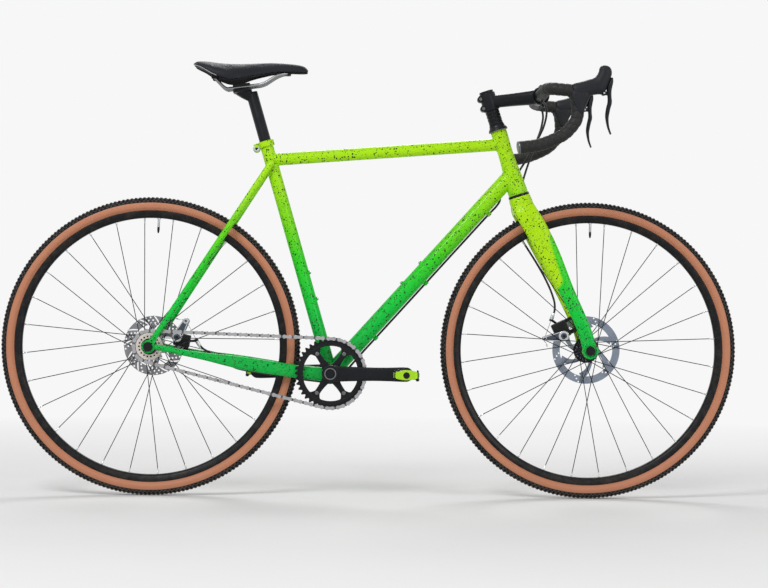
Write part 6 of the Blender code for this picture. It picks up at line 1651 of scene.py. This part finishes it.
show("front_rotor_backing", rotor_backing(), "spoke", "front_wheel")
for which in ("front", "rear"):
    body = f"{which}_wheel"
    show(f"{which}_tyre_casing", casing(which), f"{which}_casing", body, f"{which}_tyre")
    show(f"{which}_tyre_tread", tread(which), "tread", body)
    show(f"{which}_tyre_knobs", knobs(which), "knobs", body)
    show(f"{which}_rim_hoop", rim(which), "rim", body, f"{which}_rim")
    show(f"{which}_hub_shell", hub(which), "alloy", body, f"{which}_hub")
    show(f"{which}_spokes", spokes(which), "spoke", body)
    show(f"{which}_nipples", nipples(which), "steel", body)
    show(f"{which}_rotor_disc", rotor(which), "rotor" if which == "rear" else "blued", body, f"{which}_rotor")
    show(f"{which}_rotor_lock_ring", carrier(which), "disc" if which == "rear" else "alloy", body)
    stem_part, cap_part = valve(which)
    show(f"{which}_valve_stem", stem_part, "steel", body, f"{which}_valve")
    show(f"{which}_valve_cap", cap_part, "plastic", body)
    dressed(f"{which}_caliper", "plastic", 0.0006)
    plates, discs = brake_arm(which)
    show(f"{which}_arm_plates", plates, "arm", f"{which}_arm", f"{which}_brake_arm")
    show(f"{which}_arm_discs", discs, "dark_panel", f"{which}_arm")
    show(f"{which}_wire_end", wire_tail(which), "steel", f"{which}_arm")
    held = "steering" if which == "front" else "frame"
    show(
        f"{which}_caliper_pin",
        rod(HINGES[which] - 0.0168 * Y, HINGES[which] + 0.0168 * Y, 0.0031),
        "spoke", held,
    )
    stop_way = unit(STOPS[which] - EYES[which])
    barrel = softened(
        [
            (0.0012, -0.003), (0.0046, -0.003), (0.0048, 0.002), (0.0042, 0.0085), (0.0032, 0.013),
            (0.0026, 0.0142),
        ],
        0.0005,
    )
    show(f"{which}_cable_adjuster", turned(barrel, HOUSING_END[which], stop_way, 28, loop=True), "arm", held)


# Drive
RING_TEETH, COG_TEETH, PITCH, CHAIN_SIDE = 40, 18, 0.0127, -0.0465
RING_PITCH, COG_PITCH = (PITCH / (2 * math.sin(math.pi / n)) for n in (RING_TEETH, COG_TEETH))
SPIDER_TURNS = np.radians((55.5, 124.5, 235.5, 304.5))
SPIDER_SIDE = -0.0506


def teeth_outline(count, pitch_radius, steps=8):
    """A toothed edge: the radius swings between root and tip as a flattened cosine of the turn."""
    a = turns(count * steps)
    wave = np.cos(a * count)
    radius = pitch_radius - 0.0012 + 0.0034 * np.sign(wave) * np.abs(wave) ** 0.6
    return np.stack([radius * np.cos(a), radius * np.sin(a)], 1)


def chainring():
    """The chainring: a toothed plate, thicker inside its teeth, whose inner edge reaches to the four
    bolts."""
    outer = teeth_outline(RING_TEETH, RING_PITCH)
    a = np.arctan2(outer[:, 1], outer[:, 0])
    reach = np.zeros(len(a))
    for spider in SPIDER_TURNS:
        off = np.abs(np.angle(np.exp(1j * (a - spider))))
        reach = np.maximum(reach, np.exp(-((off / 0.17) ** 4)))
    inner_radius = 0.064 - 0.0145 * reach
    inner = np.stack([inner_radius * np.cos(a), inner_radius * np.sin(a)], 1)
    web = np.stack([0.0745 * np.cos(a), 0.0745 * np.sin(a)], 1)
    at = BB + CHAIN_SIDE * Y
    return [slab(outer, web * 0.98, 0.0021, at), slab(web, inner, 0.004, at, 0.0007)]


def spider():
    """The spider: four arms, each a softened bar that narrows from the hub and widens into its bolt seat."""
    parts = []
    share = np.linspace(0, 1, 16)
    for turn in SPIDER_TURNS:
        out = place(math.cos(turn), 0, math.sin(turn))
        across = place(-math.sin(turn), 0, math.cos(turn))
        path = BB + SPIDER_SIDE * Y + (0.012 + 0.0485 * share)[:, None] * out
        wide = 0.0072 + 0.005 * (1 - share) ** 2 - 0.0014 * np.sin(math.pi * share)
        wide = wide * np.sqrt(np.clip(1 - ((share - 0.8) / 0.21).clip(0, 1) ** 2, 0.02, 1))
        parts.append(loft(path, across, Y, wide, 0.00275, 4.0, 28))
    return parts


CRANK_LENGTH, PEDAL_SIDE = 0.175, 0.1085
CRANK_ROOT_SIDE, CRANK_END_SIDE = 0.0665, 0.0725


def crank_end(left, side):
    """A place on a pedal's axis: the right crank points forward, the left one back."""
    return BB + place(-left * CRANK_LENGTH, left * side, 0)


def crank(left):
    """A crank arm: softened bars whose height swells at hub and pedal eye, and whose face drifts outward."""
    share = np.array([-0.06, 0.0, 0.0457, 0.1714, 0.35, 0.5714, 0.78, 0.9143, 0.9829, 1.02, 1.055])
    tall = 0.02 * np.array([0.6, 0.92, 0.94, 0.88, 0.82, 0.78, 0.8, 0.84, 0.84, 0.72, 0.42])
    rows = spline(np.stack([share, tall], 1), 6)
    share, tall = rows[:, 0], rows[:, 1]
    out = np.interp(share, [0, 1], [CRANK_ROOT_SIDE, CRANK_END_SIDE])
    path = BB - (left * CRANK_LENGTH * share)[:, None] * X + (left * out)[:, None] * Y
    return loft(path, Z, Y, tall, 0.006, 4.2, 40)


def crank_hub(left):
    """The crank's round boss, with a recess turned into its outer face."""
    inner, outer, r = (0.048, 0.0755, 0.018) if left > 0 else (0.04785, 0.0755, 0.02)
    corners = [(0, inner), (r - 0.002, inner), (r, inner + 0.004), (r, outer - 0.0012), (r - 0.0012, outer)]
    corners += [(0.0108, outer), (0.0108, outer - 0.004), (0, outer - 0.004)]
    return turned(softened(corners, 0.0006, False) * (1, left), BB, Y, 56)


def pedal_eye(left):
    """The round eye at the crank's end, where the pedal's spindle screws in."""
    return disc(0.0166, -0.006, 0.006, 0.0012, crank_end(left, CRANK_END_SIDE), Y)


def pedal(left):
    """A platform pedal: a softened rectangular ring and a thick barrel across it round the spindle."""
    at = crank_end(left, PEDAL_SIDE)
    x, y = power_ring(72, 5.0)
    outer = np.stack([0.03 * x, 0.0258 * y], 1)
    x, y = power_ring(72, 4.0)
    inner = np.stack([0.0225 * x, 0.0185 * y], 1)
    points, faces = slab(outer, inner, 0.019, at, 0.0014, right=X, up=Y, out=Z)
    off = points - at
    off[:, 2] *= 1.16 - 0.62 * (off[:, 0] / 0.03) ** 2
    half = [(0.0082, 0.008), (0.01, 0.02), (0.0085, 0.025)]
    barrel = turned(spline([(0.0085, -0.025), (0.01, -0.02), (0.0086, -0.008), *half], 5), at, Y, 36)
    pins = [
        rod(at + place(x, y, -0.0108), at + place(x, y, 0.0108), 0.0017, 10)
        for x in (-0.0262, 0.0262) for y in (-0.0215, 0, 0.0215)
    ]
    jaws = [
        rod(at + place(x, -0.015, z), at + place(x, 0.015, z), radius, 20)
        for x, z, radius in ((-left * 0.0255, -0.0098, 0.0042), (left * 0.018, 0.0092, 0.0032))
    ]
    jaws += [
        block(at + place(x, 0, z), (0.016, 0.026, 0.004), power=5)
        for x, z in ((-left * 0.0185, -0.0082), (left * 0.012, 0.0082))
    ]
    return [(at + off, faces), barrel], pins + jaws


def chain_line(along):
    """Places and headings on the loop that wraps both pitch circles: arc, straight, arc, straight."""
    reach = REAR_AXLE - BB
    distance, line = math.hypot(reach[0], reach[2]), math.atan2(reach[2], reach[0])
    spread = math.acos((RING_PITCH - COG_PITCH) / distance)
    ring_turn, cog_turn = TAU - 2 * spread, 2 * spread
    run = math.sqrt(distance**2 - (RING_PITCH - COG_PITCH) ** 2)
    lengths = np.array([RING_PITCH * ring_turn, run, COG_PITCH * cog_turn, run])
    marks = np.concatenate([[0], np.cumsum(lengths)])
    along = np.mod(along, marks[-1])

    def on_circle(centre, radius, angle):
        return centre + radius * np.stack([np.cos(angle), 0 * angle, np.sin(angle)], -1)

    a0 = line + spread
    first = on_circle(BB, RING_PITCH, a0 + along / RING_PITCH)
    low_start, low_end = (
        on_circle(c, r, np.array(line - spread)) for c, r in ((BB, RING_PITCH), (REAR_AXLE, COG_PITCH))
    )
    second = low_start + ((along - marks[1]) / run)[:, None] * (low_end - low_start)
    third = on_circle(REAR_AXLE, COG_PITCH, line - spread + (along - marks[2]) / COG_PITCH)
    high_start, high_end = (
        on_circle(c, r, np.array(a0)) for c, r in ((REAR_AXLE, COG_PITCH), (BB, RING_PITCH))
    )
    fourth = high_start + ((along - marks[3]) / run)[:, None] * (high_end - high_start)
    part = np.searchsorted(marks, along, side="right") - 1
    places = np.select([part[:, None] == i for i in range(4)], [first, second, third, fourth])
    return places + CHAIN_SIDE * Y, marks[-1]


def link_outline(half_height, waist):
    """A link plate's edge: two round ends about its pins, joined by a flat and lower waist."""
    a = np.radians(np.linspace(-90, 90, 7))
    right = np.stack([PITCH / 2 + half_height * np.cos(a), half_height * np.sin(a)], 1)
    left = -right
    x = np.array([0.0032, 0.0, -0.0032])
    top = np.stack([x, np.full(3, half_height * waist)], 1)
    return np.concatenate([right, top, left, -top])


def chain():
    """The chain: inner and outer plate pairs in turn, each laid from pin to pin, with a roller and pin at
    each. The outer plates and pins are one part, the inner plates and rollers another."""
    total = chain_line(np.zeros(1))[1]
    count = 2 * round(total / PITCH / 2)
    pins, _ = chain_line(np.arange(count) * total / count)
    after = np.roll(pins, -1, 0)
    centres, heading = (pins + after) / 2, unit(after - pins)
    pairs = []
    for start, side, height in ((0, 0.00175, 0.0043), (1, 0.00285, 0.0048)):
        plates = [slab(link_outline(height, 0.72), None, 0.0009, sign * side * Y, 0.0002) for sign in (-1, 1)]
        pairs.append([copies(plate, centres[start::2], heading[start::2]) for plate in plates])
    inner, outer = pairs
    inner.append(bars(pins - 0.0013 * Y, pins + 0.0013 * Y, 0.0037, 10))
    outer.append(bars(pins - 0.0034 * Y, pins + 0.0034 * Y, 0.0017, 8))
    return inner, outer


inner_links, outer_links = chain()
show("chain_outer_links", outer_links, "chain", body_of("chain"), "chain")
show("chain_inner_links", inner_links, "link", body_of("chain"))
show("chainring_plate", chainring(), "alloy", "crank", "chainring")
bevel = washer(0.0655, 0.0672, -0.0021, 0.0021, 0.0004, BB + CHAIN_SIDE * Y, Y, 120)
show("chainring_bevel", bevel, "spoke", "crank")
RING_BOLTS = [BB + place(0.055 * math.cos(a), SPIDER_SIDE - 0.002, 0.055 * math.sin(a)) for a in SPIDER_TURNS]
show("chainring_bolts", [bolt(at, -Y, 0.0044, 0.0018) for at in RING_BOLTS], "plug", "crank")
show("crank_right_arm", [crank(-1), crank_hub(-1), pedal_eye(-1), *spider()], "satin", "crank", "crank_right")
show(
    "crank_left_arm",
    [crank(1), crank_hub(1), pedal_eye(1), rod(BB - 0.06 * Y, BB + 0.069 * Y, 0.012, 32)],
    "satin", "crank", "crank_left",
)
crank_rings = [washer(0.0112, 0.0138, left * 0.0748, left * 0.076, 0.0005, BB, Y) for left in (1, -1)]
show("crank_bright_rings", crank_rings, "plug", "crank")
cog_plate = slab(
    teeth_outline(COG_TEETH, COG_PITCH, 10), circle(0.018, 180), 0.0021, REAR_AXLE + CHAIN_SIDE * Y
)
cog_face = REAR_AXLE + (CHAIN_SIDE - 0.0022) * Y
cog_carrier = holed_ring([0.0188, 0.0284], 18, 0.0021, 0.0022, cog_face)
cog_carrier.append(washer(0.0282, 0.0312, -0.0008, 0.0008, 0.0004, cog_face, Y, 72))
cog_back = washer(0.0182, 0.03, 0.0004, 0.001, 0.0002, cog_face, Y, 72)
show("cog_back_plate", cog_back, "plastic", "cog")
show("cog_plate", cog_plate, "rotor", "cog", "cog")
show("cog_carrier", cog_carrier, "disc", "cog")
for side, left in (("left", 1), ("right", -1)):
    body_parts, pin_parts = pedal(left)
    at = crank_end(left, PEDAL_SIDE)
    show(f"pedal_{side}_platform", body_parts, "pedal", f"pedal_{side}", f"pedal_{side}")
    show(f"pedal_{side}_jaws", pin_parts, "spoke", f"pedal_{side}")
    cap = disc(0.0078, left * 0.0235, left * 0.0262, 0.001, at, Y, 32)
    stub = rod(at - left * 0.024 * Y, at - left * 0.0295 * Y, 0.0046, 20)
    show(f"pedal_{side}_caps", [cap, stub], "alloy", f"pedal_{side}")


# Saddle and post
RAIL_CENTRE = place(-0.306587, 0, 0.954507)
RAIL_UP = place(-0.1374, 0, 0.9905)
RAIL_FORE = place(0.9905, 0, 0.1374)
SADDLE_LENGTH, SADDLE_TAIL = 0.268, -0.113
PAD_STEPS, PAD_PRESSURE, PAD_CELL, PAD_GIVE, PAD_REACH = 20, 4.0, 0.0023, 0.0012, 0.0022
SADDLE_ROWS = np.array([
    (0, 0.057, 0.0485, 0.03), (0.04, 0.0592, 0.044, 0.052), (0.09, 0.059, 0.0382, 0.0605),
    (0.145, 0.0578, 0.0294, 0.0668), (0.2, 0.056, 0.022, 0.07), (0.3, 0.054, 0.013, 0.071),
    (0.4, 0.054, 0.014, 0.065), (0.5, 0.0552, 0.0215, 0.048), (0.6, 0.0568, 0.0275, 0.035),
    (0.72, 0.058, 0.0335, 0.0265), (0.83, 0.058, 0.035, 0.0225), (0.92, 0.0562, 0.0345, 0.02),
    (0.97, 0.0525, 0.0345, 0.0165), (1.0, 0.0445, 0.035, 0.009),
])
RAIL_ROWS = np.array([
    (-0.0635, 0.025, 0.0215), (-0.0535, 0.024, 0.0115), (-0.043, 0.0226, 0.0008), (-0.035, 0.022, -0.004),
    (-0.0294, 0.022, -0.0041), (0.0356, 0.022, 0.0049), (0.046, 0.022, 0.0072), (0.0565, 0.0215, 0.0115),
    (0.0765, 0.019, 0.0245), (0.0908, 0.016, 0.031), (0.1035, 0.0105, 0.0338), (0.107, 0.005, 0.034),
])


def arch(rows, inset, lowered, angles):
    """Half ovals across the saddle: y = (w - inset) sin a and z = edge + height cos(a)^0.75, row by row."""
    share, top, edge, wide = (rows[:, i, None] for i in range(4))
    height = np.maximum(0.3 * (top - edge), top - edge - lowered)
    x = SADDLE_TAIL + SADDLE_LENGTH * share + 0 * angles
    y = (wide - inset) * np.sin(angles)
    z = edge + height * np.clip(np.cos(angles), 0, 1) ** 0.75
    return RAIL_CENTRE + np.stack([x, y, z], -1)


def seatpost():
    """The post: a turned tube with an open bore, and behind its top a bowl of ovals under the cradle."""
    profile = [
        (0, 0.1196), (0.0118, 0.1196), (0.013, 0.119), (0.0136, 0.1174), (0.0136, -0.14), (0.0114, -0.14),
        (0.0114, 0.078), (0, 0.078),
    ]
    low = SEAT_TUBE_TOP + 0.1 * SEAT_UP - 0.008 * SEAT_FORE
    rows = spline([(0.0, 0.008, 0.004), (0.15, 0.011, 0.012), (0.5, 0.016, 0.018), (1.0, 0.02, 0.0218)], 6)
    share = np.linspace(0, 1, len(rows))[:, None]
    path = low + share * (RAIL_CENTRE - 0.0085 * RAIL_UP - low)
    bowl = loft(path, Y, RAIL_FORE, rows[:, 1], rows[:, 2], 2.6, 40)
    cradle = block(RAIL_CENTRE - 0.0063 * RAIL_UP, (0.044, 0.053, 0.0114), RAIL_FORE, Y, 6)
    return [turned(profile, SEAT_TUBE_TOP, SEAT_UP, 64), bowl, cradle]


def saddle_rows():
    """The saddle's rows made smooth."""
    return spline(SADDLE_ROWS, 6)


def pad():
    """The pad: an outer arch and, drawn in and lowered, an inner one, joined round their edges."""
    angles = np.linspace(-0.5, 0.5, 41) * math.pi
    rows = saddle_rows()
    points = np.concatenate([arch(rows, 0, 0, angles), arch(rows, 0.005, 0.015, angles[::-1])], 1)
    return grid(poles(points))


def saddle_shell():
    """The base below the pad: two thin arches joined round their edges, and blocks that hold the rails."""
    angles = np.linspace(-0.5, 0.5, 31) * math.pi
    rows = saddle_rows()[2:-2]
    points = np.concatenate([arch(rows, 0.0078, 0.0176, angles), arch(rows, 0.01, 0.02, angles[::-1])], 1)
    nose = RAIL_CENTRE + place(0.106, 0, 0.034)
    parts = [grid(poles(points)), block(nose, (0.016, 0.024, 0.01), power=5)]
    return parts + [
        block(RAIL_CENTRE + place(-0.0635, side * 0.025, 0.026), (0.014, 0.014, 0.017), power=5)
        for side in (-1, 1)
    ]


def points_and_normals(mesh):
    """A mesh's points and the directions they face, as rows."""
    points, facing = np.empty((2, len(mesh.vertices) * 3), np.float32)
    mesh.vertices.foreach_get("co", points)
    mesh.vertex_normals.foreach_get("vector", facing)
    return points.reshape(-1, 3), facing.reshape(-1, 3)


def swollen(piece):
    """Padding: the pad starts a little smaller, is blown up as cloth, and its top is held within a reach."""
    points, facing = points_and_normals(piece.data)
    piece.data.vertices.foreach_set("co", (points - PAD_GIVE * facing).ravel())
    piece.data.update()
    remesh = piece.modifiers.new("even_cells", "REMESH")
    remesh.mode, remesh.voxel_size = "VOXEL", PAD_CELL
    apply_all(piece)
    before, facing = points_and_normals(piece.data)
    cloth = piece.modifiers.new("padding", "CLOTH")
    cloth.settings.use_pressure, cloth.settings.uniform_pressure_force = True, PAD_PRESSURE
    cloth.settings.effector_weights.gravity = 0.0
    cloth.point_cache.frame_start, cloth.point_cache.frame_end = 1, PAD_STEPS
    for step in range(1, PAD_STEPS + 1):
        bpy.context.scene.frame_set(step)
    apply_all(piece)
    bpy.context.scene.frame_set(1)
    move = points_and_normals(piece.data)[0] - before
    far = np.linalg.norm(move, axis=1, keepdims=True)
    move = move * np.minimum(1, PAD_REACH / np.maximum(far, 1e-9)) * np.clip(facing[:, 2:], 0, 1)
    piece.data.vertices.foreach_set("co", (before + move).astype(np.float32).ravel())
    piece.data.polygons.foreach_set("use_smooth", np.ones(len(piece.data.polygons), bool))
    soft = piece.modifiers.new("softened", "SUBSURF")
    soft.levels = soft.render_levels = 1


def apply_all(piece):
    """The piece's mesh becomes what its modifiers make of it."""
    bpy.context.view_layer.update()
    made = bpy.data.meshes.new_from_object(piece.evaluated_get(bpy.context.evaluated_depsgraph_get()))
    made.materials.clear()
    for material in piece.data.materials:
        made.materials.append(material)
    piece.modifiers.clear()
    piece.data = made


cushion = show("saddle_pad_cushion", pad(), "saddle", "seat", "saddle_pad", sharp=60)
swollen(cushion)
show("saddle_base", saddle_shell(), "plastic", "seat", "saddle_shell")
rail_path = np.concatenate([RAIL_ROWS * (1, -1, 1), RAIL_ROWS[::-1]])
show(
    "saddle_rails_wire",
    tube(RAIL_CENTRE + spline(rail_path, 6), 0.0035, 20, toward=unit(place(0.1, 0.3, 0.95))),
    "rail", "seat", "saddle_rails",
)
edge_rows = saddle_rows()[2:26]
trim = arch(edge_rows, -0.0004, 0, np.array([-0.5, 0.5]) * math.pi)
trim_lines = [trim[:, i] + place(0, 0, 0.0012) for i in (0, 1)]
show("saddle_trim", [tube(line, 0.0009, 10, toward=Z) for line in trim_lines], "trim", "seat")
show("seatpost_and_head", seatpost(), "satin", "seat", "seatpost")
dressed("saddle_clamp", "satin", 0.0006)
show("clamp_bolt_head", bolt(RAIL_CENTRE + 0.007 * RAIL_UP, RAIL_UP, 0.0042, 0.0032), "steel", "seat")


# Room and light
def floor_sheet():
    """The floor: rings of points at growing radii about the bike, flat at the height of the ground."""
    radius = np.array([0.00001, 0.3, 0.6, 1.2, 2.0, 3.2, 5.0, 8.0, 14.0, 30.0, 60.0])
    t = turns(96)
    points = radius[:, None, None] * (np.cos(t)[None, :, None] * X + np.sin(t)[None, :, None] * Y)
    return grid(points)


FADE_START, FADE_RATE, SEEN_WHITE = 1.0, 0.42, 0.93
WORLD_LIGHT, WORLD_SEEN = 0.4, 0.53
LAMPS = (
    ("key_lamp", (-1.8, -3.0, 3.6), 1.8, 95.0),
    ("fill_lamp", (3.0, -3.2, 1.6), 2.2, 34.0),
    ("rim_lamp", (0.4, 3.0, 3.0), 2.0, 60.0),
)


def seen_directly(tree):
    """One for what a camera, a mirror or a clear part sees, and nothing for light that spreads."""
    rays = add(tree, "ShaderNodeLightPath").outputs
    through = maths(tree, "MAXIMUM", rays["Is Glossy Ray"], rays["Is Transmission Ray"])
    return maths(tree, "MAXIMUM", rays["Is Camera Ray"], through)


def floor_finish():
    """Pale floor: it takes the bike's shadow close by, and fades with distance into the white that a camera,
    a reflection or a clear part sees beyond."""
    material, tree, shader = finish("pale_floor", 0.9)
    shader.inputs["Specular IOR Level"].default_value = 0.1
    grain = use(tree, GRAIN, Scale=40.0)
    colour = blend_colours(tree, grain["Tone"], rgb(0.8, 0.8, 0.8), rgb(0.85, 0.85, 0.85))
    tree.links.new(colour, shader.inputs["Base Color"])
    place_at = add(tree, "ShaderNodeTexCoord").outputs["Object"]
    far = add(tree, "ShaderNodeVectorMath", {0: place_at}, operation="LENGTH").outputs["Value"]
    share = maths(tree, "MULTIPLY", maths(tree, "SUBTRACT", far, FADE_START), FADE_RATE, True)
    share = maths(tree, "MULTIPLY", share, seen_directly(tree))
    white = add(tree, "ShaderNodeEmission", {"Color": rgb(1.0, 1.0, 1.0), "Strength": SEEN_WHITE})
    mixed = add(tree, "ShaderNodeMixShader", {0: share, 1: shader.outputs[0], 2: white.outputs[0]})
    tree.links.new(mixed.outputs[0], tree.nodes["Material Output"].inputs["Surface"])
    return material


def room():
    """A pale floor, soft wide lamps, and a world that is nearly white where seen and dimmer as light."""
    made = bpy.data.objects.new("floor", bpy.data.meshes.new("floor"))
    points, faces = floor_sheet()
    made.data.from_pydata(points.tolist(), [], faces.tolist())
    bpy.context.scene.collection.objects.link(made)
    made.data.materials.append(floor_finish())
    world = bpy.data.worlds.new("studio")
    bpy.context.scene.world = world
    world.use_nodes = True
    tree = world.node_tree
    seen = seen_directly(tree)
    back = tree.nodes["Background"]
    back.inputs["Color"].default_value = rgb(1.0, 1.0, 1.0)
    tree.links.new(
        maths(tree, "ADD", maths(tree, "MULTIPLY", seen, WORLD_SEEN), WORLD_LIGHT), back.inputs["Strength"]
    )
    for name, at, size, power in LAMPS:
        data = bpy.data.lights.new(name, "AREA")
        data.shape, data.size, data.energy = "DISK", size, power
        lamp = bpy.data.objects.new(name, data)
        lamp.location = at
        lamp.rotation_euler = (Vector((0, 0, 0.5)) - lamp.location).to_track_quat("-Z", "Y").to_euler()
        bpy.context.scene.collection.objects.link(lamp)


room()
bpy.context.scene.view_settings.view_transform = "Standard"
